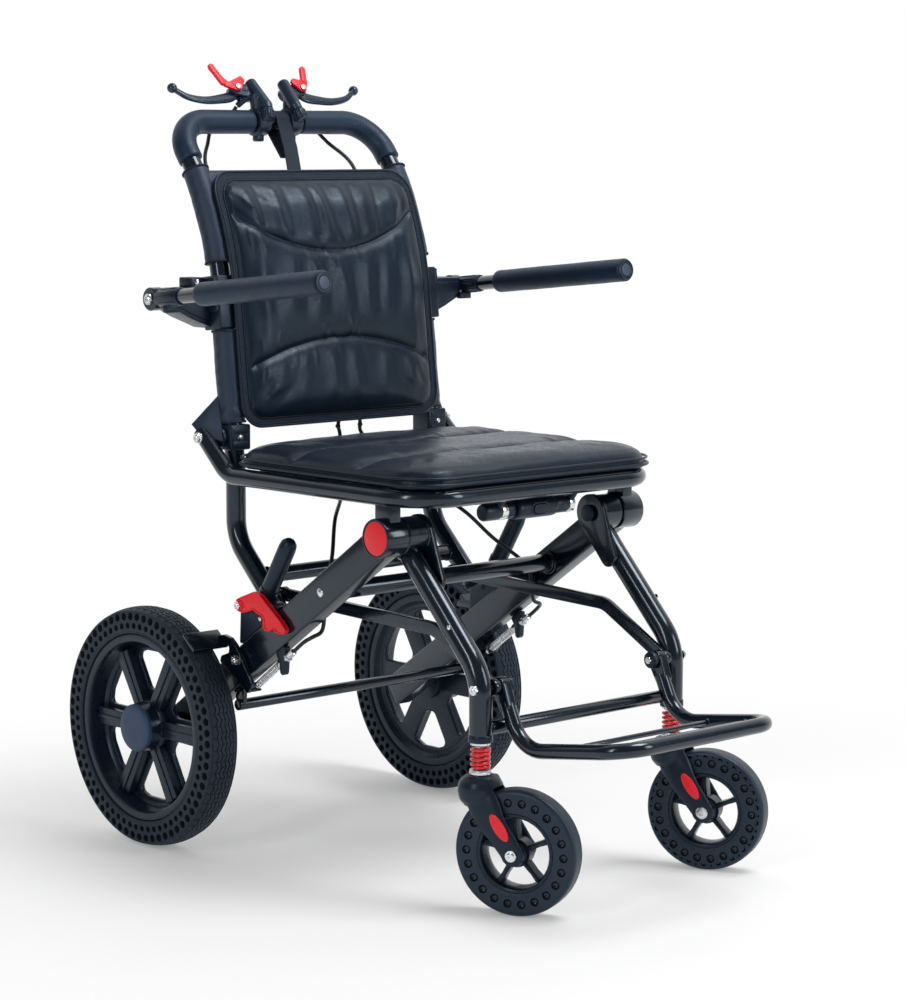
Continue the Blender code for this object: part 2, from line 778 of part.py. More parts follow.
def latch(side):
    """The bracket on the side beam with its rest post, and the red hook that it carries."""
    inner, outer = side * 0.1860, side * 0.2045
    seat = BEAM_HALF + GAP
    outline = [beam_at(0.050, seat), beam_at(0.1262, seat), Vector((0.1235, 0.318)),
               Vector((0.1175, 0.3285)), Vector((0.108, 0.3305)), Vector((0.074, 0.333)),
               Vector((0.068, 0.328)), Vector((0.062, 0.3275)), Vector((0.056, 0.3235)),
               Vector((0.0495, 0.3245))]
    catch = Vector((0.0732, 0.3080))
    post_x = side * 0.1945
    bracket = join(plate(outline, inner, outer), [
        rod((post_x, 0.102, 0.303), (post_x, 0.038, 0.407), 0.011, 12),
        x_rod(side * 0.2000, side * (HOOK_OUT_X + 0.0010), HOOK_PIVOT, BOLT_R, 10),
        x_rod(side * (HOOK_OUT_X + 0.0005), side * (HOOK_OUT_X + 0.0035), HOOK_PIVOT, 0.0062, 6),
        x_rod(side * 0.2000, side * (HOOK_OUT_X + 0.0010), catch, 0.0028, 8),
    ])
    bracket = finish(bracket, f"latch_bracket_{SIDE_NAMES[side]}", BLACK_PLASTIC)
    hook = [(0.1235, 0.3215), (0.1190, 0.3275), (0.1100, 0.3315), (0.1015, 0.3345), (0.0859, 0.3405),
            (0.0743, 0.3375), (0.0589, 0.3262), (0.0342, 0.3088), (0.0257, 0.3000), (0.0280, 0.2950),
            (0.0340, 0.2930), (0.0438, 0.2945), (0.0495, 0.2985), (0.0573, 0.2935), (0.0655, 0.2950),
            (0.0695, 0.3000), (0.0680, 0.3080), (0.0720, 0.3125), (0.0784, 0.3135), (0.0880, 0.3175),
            (0.0978, 0.3140), (0.1096, 0.3110), (0.1190, 0.3130)]
    hook = cut(plate([Vector(p) for p in hook], side * HOOK_IN_X, side * HOOK_OUT_X),
               [x_rod(side * (HOOK_IN_X - 0.002), side * (HOOK_OUT_X + 0.002), HOOK_PIVOT,
                      clear_of(BOLT_R, 10), 10)])
    return bracket, finish(hook, f"latch_hook_{SIDE_NAMES[side]}", RED)


SHOE_WAY = Vector((-0.0970, 0.1177)).normalized()
CABLE_END = Vector((0.0300, 0.2690))
ARM_TAB = Vector((0.0990, 0.2185))
PULL = (ARM_TAB - CABLE_END).normalized()
STOP_FACE = CABLE_END + PULL * 0.0285


def brake_bracket(side):
    """The plate under the beam that holds the cable's end, with its adjuster along the cable's line."""
    middle = side * BRAKE_SPRING_X
    seat = -BEAM_HALF - GAP
    outline = [beam_at(0.0370, seat), Vector((0.0385, 0.2640)), Vector((0.0400, 0.2440)),
               Vector((0.0430, 0.2400)), Vector((0.0475, 0.2430)), Vector((0.0490, 0.2560)),
               beam_at(0.0560, seat)]
    stop = plate(outline, side * 0.1955, side * 0.2045)

    def on_pull(distance):
        at = CABLE_END + PULL * distance
        return (middle, at.x, at.y)

    stop = join(stop, [
        rod(on_pull(GAP), on_pull(0.0275), 0.0036, 10),
        rod(on_pull(0.0070), on_pull(0.0120), 0.0058, 6),
        rod(on_pull(0.0245), on_pull(0.0285), 0.0056, 6),
    ])
    return finish(stop, f"brake_bracket_{SIDE_NAMES[side]}", BLACK_PLASTIC)


def brake_spring(side):
    tab_gap = 0.0018
    start = STOP_FACE + PULL * (BRAKE_WIRE_R + GAP)
    end = ARM_TAB - PULL * (BRAKE_WIRE_R + tab_gap + 0.0015)
    return spring(f"brake_spring_{SIDE_NAMES[side]}", (side * BRAKE_SPRING_X, start.x, start.y),
                  (side * BRAKE_SPRING_X, end.x, end.y), BRAKE_SPRING_R, BRAKE_WIRE_R, BRAKE_COILS, STEEL)


def brake_arm(side):
    """The plate that turns on the beam's bolt, with its shoe across the tyre and its tab for the cable."""
    toward = SHOE_WAY
    centre = AXLE + toward * (REAR_WHEEL_R + SHOE_GAP + SHOE_THICKNESS / 2)
    by_shoe = [centre + Vector(p) for p in ((0.0182, -0.0064), (0.0142, 0.0016), (-0.0078, 0.0061))]
    by_pivot = [BRAKE_PIVOT + Vector(p) for p in (
        (0.0109, 0.0265), (0.0011, 0.0190), (-0.0090, 0.0060), (-0.0320, -0.0275),
        (-0.0230, -0.0400), (-0.0130, -0.0320), (0.0110, -0.0170), (0.0320, -0.0060),
        (0.0290, 0.0020), (0.0140, 0.0075), (0.0130, 0.0160))]
    last = [centre + Vector(p) for p in ((-0.0078, -0.0054),)]
    arm = plate(by_shoe + by_pivot + last, side * ARM_PLATE_IN_X, side * ARM_PLATE_OUT_X)
    shoe_frame = Matrix.Translation((0, centre.x, centre.y)) @ Matrix((
        (1, 0, 0, 0), (0, -toward.y, toward.x, 0), (0, toward.x, toward.y, 0), (0, 0, 0, 1)))
    half = SHOE_THICKNESS / 2
    in_x, out_x = ARM_PLATE_IN_X, ARM_PLATE_OUT_X
    shoe = box((side * (in_x + 0.001), -0.014, -half), (side * 0.262, 0.014, half), 0, shoe_frame)
    tab_frame = Matrix.Translation((0, ARM_TAB.x, ARM_TAB.y)) @ Matrix((
        (1, 0, 0, 0), (0, PULL.x, -PULL.y, 0), (0, PULL.y, PULL.x, 0), (0, 0, 0, 1)))
    tab = box((side * 0.1950, -0.0015, -0.006), (side * (in_x + 0.002), 0.0015, 0.006), 0, tab_frame)
    bore = x_rod(side * (in_x - 0.002), side * (out_x + 0.002), BRAKE_PIVOT, clear_of(BOLT_R, 10), 10)
    arm = cut(join(arm, [shoe, tab]), [bore])
    return finish(arm, f"brake_arm_{SIDE_NAMES[side]}", BLACK_PAINT)


def cable(name, points):
    return finish(tube(smooth(points, 0.0150), CABLE_R, 8), name, RUBBER)


CABLE_X = {-1: 0.020, 1: 0.058}
CABLE_SPLIT = 0.0013


def lower_cable(side):
    """From the backrest's hinge axis, under the seat and round the beam, to the adjuster."""
    start = Vector((CABLE_X[side], HINGE.x, HINGE.y - CABLE_SPLIT))
    under_seat = {
        -1: [(0.004, 0.176, 0.478), (-0.055, 0.105, 0.447), (-0.120, 0.042, 0.425), (-0.152, 0.010, 0.387)],
        1: [(0.070, 0.160, 0.470), (0.092, 0.098, 0.440), (0.112, 0.056, 0.415), (0.142, 0.034, 0.380)],
    }[side]
    end = [(0.1700, 0.000, 0.345), (0.1755, -0.003, 0.318), (0.1800, -0.003, 0.2985),
           (0.1930, -0.0010, 0.2925), (0.1995, 0.0090, 0.2850)]
    points = [start, start + Vector((0, -0.004, -0.012))] + [Vector(p) for p in under_seat]
    points += [Vector((side * x, y, z)) for x, y, z in end]
    points.append(Vector((side * BRAKE_SPRING_X, CABLE_END.x, CABLE_END.y)))
    return cable(f"brake_cable_lower_{SIDE_NAMES[side]}", points)


def upper_cable(side):
    """From the lever's perch, behind the bar and the back panel, to the hinge axis."""
    end = Vector((CABLE_X[side], HINGE.x, HINGE.y + CABLE_SPLIT))
    first = FERRULE_END + FERRULE_DIR * GAP
    points = [first, first + FERRULE_DIR * 0.010]
    behind = [(0.078, 0.0249, 0.002), (0.100, 0.0328, -0.025), (0.124, 0.0286, -0.060),
              (0.112, 0.0192, -0.133), (0.082, 0.0136, -0.213), (0.050, 0.0105, -0.293)]
    points += [from_bar(x, 0, up) + Vector((0, back_y(HANDLE_Z + up) - HANDLE_Y + away, 0))
               for x, away, up in behind]
    points = [Vector((side * p[0], p[1], p[2])) for p in points]
    points += [end.lerp(points[-1], 0.4) + Vector((0, 0.003, 0)), end + Vector((0, 0.0010, 0.014)), end]
    return cable(f"brake_cable_upper_{SIDE_NAMES[side]}", points)


def backrest_frame():
    """The backrest tube in one bent length, with the boss of the fold link's rear pivot on each side."""
    half = [Vector((-BACK_TUBE_X, BACK_LOW_Y, BACK_LOW_Z)), Vector((-BACK_TUBE_X, BACK_TUBE_Y, BACK_BEND_Z))]
    half.append(Vector((-BACK_TUBE_X, BACK_TUBE_Y, BACK_KNEE_Z)))
    half += [Vector((-BACK_TUBE_X, back_y(z), z)) for z in BACK_LEVELS]
    half.append(Vector((-BACK_TUBE_X, HANDLE_Y, HANDLE_Z)))
    corners = half + [Vector((-p.x, p.y, p.z)) for p in half[::-1]]
    radii = [0.060] + [0] * 6 + [HANDLE_CORNER_R]
    frame = tube(rounded(corners, radii + radii[::-1]), BACK_TUBE_R, 10)
    bosses = [x_rod(side * (LINK_OUT_X + 0.0004), side * BACK_TUBE_X, LINK_REAR, 0.0075, 12)
              for side in SIDES]
    return finish(join(frame, bosses), "backrest_frame", BLACK_PAINT)


LINK_IN_X = 0.1400
LINK_OUT_X = 0.1478
LINK_REAR = Vector((BACK_LOW_Y, BACK_LOW_Z)) + KNEE_LINE * 0.0192
BACK_CROSS = Vector((BACK_LOW_Y, BACK_LOW_Z)) + KNEE_LINE * 0.0510


def back_cross_tube():
    end = BACK_TUBE_X - BACK_TUBE_R - GAP
    return finish(x_rod(-end, end, BACK_CROSS, 0.010), "back_cross_tube", BLACK_PAINT)


def handlebar_foam(side):
    """The foam grip from below the corner to the brake lever's clamp."""
    path = rounded([Vector((side * BACK_TUBE_X, on_back(FOAM_LOW_Z + 0.0001), FOAM_LOW_Z + 0.0001)),
                    Vector((side * BACK_TUBE_X, HANDLE_Y, HANDLE_Z)),
                    Vector((side * FOAM_INNER_X, HANDLE_Y, HANDLE_Z))], HANDLE_CORNER_R)
    foam = bored(path, HANDLE_FOAM_R, past_ends(path), BACK_TUBE_R + 0.0004, 10)
    return finish(foam, f"handlebar_foam_{SIDE_NAMES[side]}", FOAM)


def back_upholstery():
    """The cloth sleeves on the tube, the panel between them and the flaps over the hinges, all sewn up."""
    heights = [SLEEVES[0][0]] + [z for z in BACK_LEVELS if z < SLEEVES[1][1]] + [SLEEVES[1][1]]
    outline = [Vector((on_back(z) - PANEL_FRONT, z)) for z in heights]
    outline += [Vector((on_back(z) - PANEL_FRONT + PANEL_THICKNESS, z)) for z in heights[::-1]]
    panel = plate(outline, -0.160, 0.160)
    middle_low, middle_high = SLEEVES[0][1], SLEEVES[1][0]
    panel = cut(panel, [box((side * 0.1460, 0.10, middle_low), (side * 0.20, 0.30, middle_high))
                        for side in SIDES])
    pieces = []
    for side in SIDES:
        for low, high in SLEEVES:
            pieces.append(tube(back_stretch(side, low, high), SLEEVE_R, 10))
        low = SLEEVES[0][0]
        top = Vector((side * 0.176, on_back(0.602) + 0.004, 0.602))
        tip = Vector((side * 0.2080, 0.2190, 0.5500))
        front = Vector((side * 0.1790, 0.1800, 0.5460))
        pieces.append(flap([top, tip, tip + Vector((0, -0.004, -0.0085)), front], 0.0022))
    whole = join(panel, pieces)
    low, high = SLEEVES[0][0] - 0.010, SLEEVES[1][1] + 0.010
    bores = [tube(back_stretch(side, low, high), BACK_TUBE_R + 0.0006, 10) for side in SIDES]
    return finish(cut(whole, bores), "back_upholstery", FABRIC)


def flap(corners, thickness):
    """A flat piece of stiff cloth through the given corners."""
    origin = corners[0]
    across = (corners[1] - origin).normalized()
    normal = across.cross(corners[-1] - origin).normalized()
    along = normal.cross(across)
    matrix = Matrix.Translation(origin) @ Matrix((
        (across.x, along.x, normal.x, 0), (across.y, along.y, normal.y, 0),
        (across.z, along.z, normal.z, 0), (0, 0, 0, 1)))
    outline = [((c - origin).dot(across), (c - origin).dot(along)) for c in corners]
    return slab(outline, -thickness / 2, thickness / 2, matrix)


def back_cushion():
    length = PAD_HIGH_Z - PAD_LOW_Z

    def seam(share, bow):
        """A channel at this share of the pad's length, bowed by another share of it."""
        return lambda x: PAD_LOW_Z + length * (share + bow * (x / 0.155) ** 2)

    seams = [seam(0.100 / 0.310, -0.036 / 0.310), seam(0.2105 / 0.310, 0.050 / 0.310)]

    def surface(z, rise):
        return back_front(z, SLEEVE_R + 0.0008 + rise), z

    return pad("back_cushion", LEATHER, PAD_HALF_WIDTH, PAD_LOW_Z, PAD_HIGH_Z, 0.030, surface,
               0.0045, 0.0120, seams, 12)


def armrest_bracket(side):
    """The clamp on the backrest tube, reaching out to the armrest's pivot."""
    low, high = 0.655, 0.722
    middle = (low + high) / 2
    half = (high - low) / 2
    slope = math.atan2(on_back(high) - on_back(low), high - low)
    clamp_frame = Matrix.Translation((0, on_back(middle), middle)) @ Matrix.Rotation(-slope, 4, "X")
    clamp = box((side * 0.1505, -0.0150, -half), (side * 0.1850, 0.0185, half), 0.002, clamp_frame)
    arm_end = ARM_X - 0.0105
    outline = [(0.1800, 0.7080), (arm_end, 0.7070), (arm_end, 0.6830), (0.2150, 0.6700), (0.1800, 0.6560)]
    into_page = Matrix.Translation((0, ARM_PIVOT_Y, 0)) @ Matrix.Rotation(math.radians(90), 4, "X")
    reach = slab([(side * x, z) for x, z in outline], -0.0145, 0.0260, into_page)
    rest_z = ARM_PIVOT_Z + (ARM_PIVOT_Y - 0.203) * ARM_RISE - ARM_TUBE_R / math.cos(ARM_ANGLE)
    rest = box((side * (arm_end - 0.004), 0.1990, rest_z - 0.0090),
               (side * (ARM_X + 0.005), 0.2070, rest_z - 0.0006))
    bracket = join(clamp, [
        reach, rest,
        x_rod(side * (arm_end - 0.005), side * (ARM_X - ARM_EYE_HALF - GAP), ARM_PIVOT, 0.0090, 12),
        x_rod(side * (arm_end - 0.005), side * (ARM_X + 0.0090), ARM_PIVOT, 0.005, 12),
        x_rod(side * (ARM_X + ARM_EYE_HALF + GAP), side * (ARM_X + 0.0115), ARM_PIVOT, 0.0078, 6),
    ])
    bore = tube(back_stretch(side, low - 0.004, high + 0.004), BACK_TUBE_R + 0.0004, 10)
    return finish(cut(bracket, [bore]), f"armrest_bracket_{SIDE_NAMES[side]}", BLACK_PLASTIC)


ARM_EYE_HALF = 0.0078
ARM_PIVOT = Vector((ARM_PIVOT_Y, ARM_PIVOT_Z))
ARM_FRONT = Vector((ARM_FRONT_Y, ARM_FRONT_Z))
ARM_RISE = (ARM_FRONT_Z - ARM_PIVOT_Z) / (ARM_PIVOT_Y - ARM_FRONT_Y)
ARM_ANGLE = math.atan(ARM_RISE)


def armrest(side):
    """The armrest's tube with its eye and end cap, and the foam round it."""
    x = side * ARM_X
    forward = (ARM_FRONT - ARM_PIVOT).normalized()
    cap_at = ARM_FRONT + forward * GAP

    def on_arm(at):
        return Vector((x, at.x, at.y))

    bar = rod(on_arm(ARM_PIVOT + forward * 0.0095), on_arm(ARM_FRONT + forward * 0.001), ARM_TUBE_R, 12)
    eye = x_rod(x - ARM_EYE_HALF, x + ARM_EYE_HALF, ARM_PIVOT, 0.0145, 14)
    cap = rod(on_arm(cap_at), on_arm(cap_at + forward * 0.002), 0.0110, 12, 0.0095)
    bar = cut(join(bar, [eye, cap]), [x_rod(x - 0.010, x + 0.010, ARM_PIVOT, clear_of(0.005), 12)])
    bar = finish(bar, f"armrest_tube_{SIDE_NAMES[side]}", BLACK_PAINT)
    rear = ARM_PIVOT + forward * ((ARM_PIVOT_Y - ARM_REAR_Y) / math.cos(ARM_ANGLE))
    length = (ARM_FRONT - rear).length
    frame = Matrix.Translation(on_arm(rear)) @ frame_along((0, forward.x, forward.y))
    bore = clear_of(ARM_TUBE_R)
    soft = 0.006
    foam = turned([(bore, length), (ARM_FOAM_R - 0.001, length), (ARM_FOAM_R, length - 0.001),
                   (ARM_FOAM_R, soft), (ARM_FOAM_R - 0.0018, soft * 0.3), (bore, 0)], 12, frame, True)
    return bar, finish(foam, f"armrest_foam_{SIDE_NAMES[side]}", FOAM)


def back_hinge(side):
    """The clamp low on the backrest tube, with the ear that turns on the seat tube's pin."""
    low, high = HINGE.y - 0.016, HINGE.y + 0.016
    mid_y = on_back(HINGE.y)
    clamp = box((side * 0.1505, mid_y - 0.0160, low), (side * EAR_IN_X, mid_y + 0.0160, high), 0.002)
    ear = plate(hull_outline(HINGE, 0.0110, HINGE + Vector((-0.012, 0.0)), 0.0130),
                side * (EAR_IN_X - 0.0010), side * EAR_OUT_X)
    bore = tube(back_stretch(side, low - 0.004, high + 0.004), BACK_TUBE_R + 0.0004, 10)
    pin_bore = x_rod(side * (EAR_IN_X + 0.0002), side * (EAR_OUT_X + 0.002), HINGE, clear_of(BOLT_R, 10), 10)
    return finish(cut(join(clamp, [ear]), [bore, pin_bore]), f"back_hinge_{SIDE_NAMES[side]}", BLACK_PLASTIC)


def lever_frame(side):
    """Local X runs outwards, local Y the way the lever is squeezed, local Z along side * LEVER_AXIS."""
    down = LEVER_AXIS.cross(Vector((1, 0, 0)))
    along = LEVER_AXIS * side
    return Matrix.Translation((side * LEVER_PIVOT[0], *LEVER_PIVOT[1:])) @ Matrix((
        (side, 0, 0, 0), (0, down.y, along.y, 0), (0, down.z, along.z, 0), (0, 0, 0, 1)))


def lever_slab(side, outline, low, high):
    return slab(outline, side * low, side * high, lever_frame(side))


def lever_pin(side, low, high, radius, sides=10):
    frame = lever_frame(side)
    return rod(frame @ Vector((0, 0, side * low)), frame @ Vector((0, 0, side * high)), radius, sides)


TOGGLE_LOW = -0.0122
TOGGLE_HIGH = -0.0080


def brake_perch(side):
    """The lever's perch: a clamp on the bar, a body over it, a cable barrel and the lever's fork."""
    bar = Vector((HANDLE_Y, HANDLE_Z))

    def at(x, back, up):
        return from_bar(side * x, back, up)

    perch = x_rod(side * 0.0175, side * 0.0360, bar, 0.0175, 12)
    perch = join(perch, [
        rod(at(0.0265, 0, 0.0130), at(0.0290, 0.0017, 0.0360), 0.0090, 8),
        rod(at(0.0240, -0.0168, 0.0180), at(0.0280, 0.0172, 0.0520), 0.0080, 8),
        lever_slab(side, hull_outline((-0.0220, 0.0030), 0.0100, (0, 0), 0.0080), -0.0076, 0.0066),
        rod(at(0.0240, -0.0148, 0.0210), at(0.0285, -0.0248, 0.0020), 0.0072, 8),
        rod(at(0.0340, 0.0072, 0.0350), FERRULE_AT[side], 0.0040, 8),
        box(at(0.0200, -0.006, -0.0250), at(0.0335, 0.006, -0.0150), 0.001),
    ])
    slot = LEVER_HALF + 0.0004
    perch = cut(perch, [
        x_rod(side * 0.0150, side * 0.0400, bar, clear_of(BACK_TUBE_R, 10), 10),
        lever_slab(side, hull_outline((0, 0), 0.0120, (0.030, 0.012), 0.0140), -slot, slot),
    ])
    perch = join(perch, [
        lever_pin(side, TOGGLE_LOW - 0.0010, 0.0060, LEVER_PIN_R),
        lever_pin(side, TOGGLE_LOW - 0.0020, TOGGLE_LOW - 0.0004, 0.0042, 8),
    ])
    return finish(perch, f"brake_perch_{SIDE_NAMES[side]}", BLACK_PLASTIC)


FERRULE_AT = {side: Vector((side * FERRULE_END.x, FERRULE_END.y, FERRULE_END.z)) for side in SIDES}
LEVER_LINE = [(0.0, 0.0), (0.008, 0.0075), (0.024, 0.0112), (0.052, 0.0136), (0.078, 0.0090),
              (0.0945, -0.0012)]
LEVER_WIDTHS = [0.0076, 0.0070, 0.0058, 0.0050, 0.0043, 0.0034]
LEVER_BALL = (0.0980, -0.0040)


def brake_lever(side):
    path = smooth([Vector((*p, 0)) for p in LEVER_LINE], 0.0175)
    widths = []
    for i in range(len(path)):
        place_in = i / (len(path) - 1) * (len(LEVER_WIDTHS) - 1)
        k = min(int(place_in), len(LEVER_WIDTHS) - 2)
        widths.append(LEVER_WIDTHS[k] + (place_in - k) * (LEVER_WIDTHS[k + 1] - LEVER_WIDTHS[k]))
    lever = lever_slab(side, ribbon([p.xy for p in path], widths), -LEVER_HALF, LEVER_HALF)
    bm = bmesh.new()
    bmesh.ops.create_uvsphere(bm, u_segments=8, v_segments=6, radius=0.0066)
    ball = mesh_from(bm, "ball", lever_frame(side) @ Matrix.Translation((*LEVER_BALL, 0)))
    lever = join(lever, [lever_pin(side, -LEVER_HALF + 0.0001, LEVER_HALF - 0.0001, 0.0080, 10), ball])
    bore = lever_pin(side, -0.006, 0.006, clear_of(LEVER_PIN_R, 10))
    return finish(cut(lever, [bore]), f"brake_lever_{SIDE_NAMES[side]}", BLACK_PLASTIC)


TOGGLE_OUTLINES = {
    -1: [(-0.0156, -0.0105), (-0.0107, -0.0173), (0.0060, -0.0105), (0.0125, -0.0075), (0.0185, -0.0130),
         (0.0300, -0.0345), (0.0365, -0.0290), (0.0245, -0.0065), (0.0200, -0.0010), (0.0100, 0.0020),
         (0.0030, 0.0048), (-0.0045, 0.0040)],
    1: [(-0.0165, -0.0090), (-0.0120, -0.0150), (-0.0020, -0.0125), (0.0035, -0.0150), (0.0080, -0.0310),
        (0.0150, -0.0300), (0.0120, -0.0110), (0.0085, -0.0020), (0.0040, 0.0046), (-0.0040, 0.0046)],
}


def parking_toggle(side):
    toggle = lever_slab(side, TOGGLE_OUTLINES[side], TOGGLE_LOW, TOGGLE_HIGH)
    bore = lever_pin(side, TOGGLE_LOW - 0.002, TOGGLE_HIGH + 0.002, clear_of(LEVER_PIN_R, 10))
    return finish(cut(toggle, [bore]), f"parking_toggle_{SIDE_NAMES[side]}", RED)


KNOB_IN_X = 0.1180
KNOB_OUT_X = 0.1248
EYE_OUT_X = 0.1388
COLLAR_LOW_Z = 0.1945


def front_leg_frame():
    """Both front legs with their hub sleeves, cheek plates and pivot pins, and the low cross tube."""
    start = HUB + Vector((0.005, -0.0148))
    pieces = []
    for side in SIDES:
        corners = [(start.x, start.y), (LEG_Y, LEG_BEND_Z), (LEG_Y, LEG_LOW_Z)]
        path = rounded([Vector((side * LEG_X, *c)) for c in corners], 0.065)
        pieces += [
            tube(path, LEG_R, 10),
            x_rod(side * SLEEVE_IN_X, side * SLEEVE_OUT_X, HUB, 0.022, 16),
            plate(hull_outline(HUB, 0.0235, (-0.172, 0.376), 0.012),
                  side * LEG_PLATE_X, side * (SLEEVE_IN_X + 0.0010)),
            x_rod(side * KNOB_IN_X, side * LEG_X, LINK_AXIS, LINK_PIN_R, 8),
            x_rod(side * (KNOB_IN_X - 0.0003), side * KNOB_OUT_X, LINK_AXIS, 0.0105, 10),
            x_rod(side * (LEG_X + 0.010), side * (LEG_X + LEG_R + 0.0032), LINK_AXIS, 0.0062, 6),
            rod((side * LEG_X, LEG_Y, COLLAR_LOW_Z), (side * LEG_X, LEG_Y, LEG_LOW_Z + 0.0004), 0.0118),
        ]
    frame = x_rod(-LEG_X, LEG_X, (-0.265, 0.214), 0.008, 12)
    frame = join(frame, pieces)
    bores = []
    for side in SIDES:
        bores += [
            x_rod(side * (LEG_PLATE_X - 0.002), side * (SLEEVE_OUT_X + 0.002), HUB, clear_of(HUB_PIN_R), 12),
            rod((side * LEG_X, LEG_Y, COLLAR_LOW_Z - 0.002), (side * LEG_X, LEG_Y, LEG_LOW_Z + 0.022),
                clear_of(STEM_R, 10), 10),
        ]
    return finish(cut(frame, bores), "front_leg_frame", BLACK_PAINT)


def fold_link(side):
    """The flat bar from the front leg's pin to the boss on the backrest tube."""
    bend = Vector((-0.167, 0.318))
    line = rounded([LINK_AXIS.to_3d(), bend.to_3d(), LINK_REAR.to_3d()], 0.040, math.radians(10))
    line = [p.xy for p in line]
    bar = plate(ribbon(line, [0.008] * len(line)), side * LINK_IN_X, side * LINK_OUT_X)
    ends = [x_rod(side * (LINK_IN_X + 0.0001), side * (LINK_OUT_X - 0.0001), at, 0.0092, 12)
            for at in (LINK_AXIS, LINK_REAR)]
    bar = join(bar, ends)
    bore = x_rod(side * (LINK_IN_X - 0.002), side * (LINK_OUT_X + 0.002), LINK_AXIS,
                 clear_of(LINK_PIN_R, 8), 8)
    return finish(cut(bar, [bore]), f"fold_link_{SIDE_NAMES[side]}", BLACK_PAINT)


def footrest():
    """The footrest's tube loop with its eyes and two thin cross bars."""
    low = Vector((-0.302, 0.190))
    front = Vector((FOOT_FRONT_Y, FOOT_FRONT_Z))
    start = LINK_AXIS + (low - LINK_AXIS).normalized() * 0.020
    half = [Vector((-FOOT_X, *p)) for p in (start, low, front)]
    corners = half + [Vector((-p.x, p.y, p.z)) for p in half[::-1]]
    loop = tube(rounded(corners, [0.045, FOOT_CORNER_R, FOOT_CORNER_R, 0.045]), FOOT_R, 10)
    pieces = []
    for side in SIDES:
        eye = hull_outline(LINK_AXIS, 0.0110, start + (low - start).normalized() * 0.004, 0.0085)
        pieces.append(plate(eye, side * (KNOB_OUT_X + 0.0006), side * EYE_OUT_X))
    for y in (-0.360, -0.420):
        share = (y - low.x) / (front.x - low.x)
        z = low.y + share * (front.y - low.y)
        pieces.append(x_rod(-FOOT_X, FOOT_X, (y, z), 0.003, 6))
    bore_r = clear_of(LINK_PIN_R, 8)
    bores = [x_rod(side * (KNOB_OUT_X - 0.002), side * (EYE_OUT_X + 0.002), LINK_AXIS, bore_r, 8)
             for side in SIDES]
    return finish(cut(join(loop, pieces), bores), "footrest", BLACK_PAINT)


def caster_frame(side):
    """Local Z is the swivel axis, local X the wheel's axle, and the wheel trails towards local -Y."""
    return Matrix.Translation((side * LEG_X, LEG_Y, 0)) @ Matrix.Rotation(CASTER_TURN, 4, "Z")


def caster(side):
    """The sprung stem, its spring, the fork and the wheel of one front caster."""
    frame = caster_frame(side)
    stem_x = side * LEG_X
    name = SIDE_NAMES[side]
    kingpin_low = 0.1420
    stem = join(rod((stem_x, LEG_Y, FORK_TOP_Z + GAP), (stem_x, LEG_Y, STEM_COLLAR_Z), 0.0130, 14), [
        rod((stem_x, LEG_Y, STEM_COLLAR_Z - 0.002), (stem_x, LEG_Y, LEG_LOW_Z + 0.008), STEM_R, 12),
        rod((stem_x, LEG_Y, kingpin_low), (stem_x, LEG_Y, STEM_COLLAR_Z - 0.002), KINGPIN_R, 10),
    ])
    stem = finish(stem, f"caster_stem_{name}", STEEL)
    low, high = STEM_COLLAR_Z + CASTER_WIRE_R + GAP, COLLAR_LOW_Z - CASTER_WIRE_R - GAP
    coil = spring(f"caster_spring_{name}", (stem_x, LEG_Y, low), (stem_x, LEG_Y, high),
                  CASTER_SPRING_R, CASTER_WIRE_R, CASTER_COILS, RED)
    crown = turned([(0, FORK_TOP_Z), (0.0165, FORK_TOP_Z), (0.0240, FORK_TOP_Z - 0.0060),
                    (0.0265, FORK_TOP_Z - 0.0160), (0.0245, FORK_TOP_Z - 0.0290),
                    (0.0170, FORK_TOP_Z - 0.0380), (0, FORK_TOP_Z - 0.0380)], 12, frame)
    axle = Vector((-CASTER_TRAIL, CASTER_R))
    cheek_in, cheek_out = CASTER_WIDTH / 2 + 0.0018, CASTER_WIDTH / 2 + 0.0100
    cheek = hull_outline((-0.004, 0.1400), 0.0195, axle, 0.0135, 5)
    side_frame = frame @ ALONG_X

    def on_axle(w):
        return frame @ Vector((w, axle.x, axle.y))

    fork = join(crown, [slab(cheek, w * cheek_in, w * cheek_out, side_frame) for w in SIDES])
    fork = cut(fork, [
        rod(on_axle(-cheek_in), on_axle(cheek_in), CASTER_R + 0.0050, 16),
        rod((stem_x, LEG_Y, kingpin_low - 0.001), (stem_x, LEG_Y, FORK_TOP_Z + 0.002),
            clear_of(KINGPIN_R, 10), 10),
    ])
    nuts = [rod(on_axle(w * (cheek_out - 0.001)), on_axle(w * (cheek_out + 0.0032)), 0.0078, 6)
            for w in SIDES]
    fork = join(fork, [rod(on_axle(-cheek_out), on_axle(cheek_out), CASTER_AXLE_R, 10), *nuts])
    fork = finish(fork, f"caster_fork_{name}", BLACK_PLASTIC)
    wheel_frame = Matrix.Translation(on_axle(0)) @ frame_along(frame.to_3x3() @ Vector((1, 0, 0)))
    tread, shoulder, well, hub = CASTER_WIDTH / 2 - 0.005, CASTER_WIDTH / 2 - 0.001, 0.0080, 0.0145
    hub_half = CASTER_WIDTH / 2 + 0.0010
    half = [(CASTER_R, tread), (CASTER_R - 0.0040, shoulder), (0.0460, shoulder), (0.0440, well),
            (hub, well), (hub - 0.0010, hub_half), (clear_of(CASTER_AXLE_R, 10), hub_half)]
    wheel = turned([(r, -h) for r, h in half[::-1]] + half, 16, wheel_frame, True)
    windows = [slab(window(0.0185, 0.0405, 5, 0.0065, i), -0.012, 0.012, wheel_frame) for i in range(5)]
    wheel = finish(cut(wheel, windows), f"caster_wheel_{name}", RUBBER)
    return stem, coil, fork, wheel


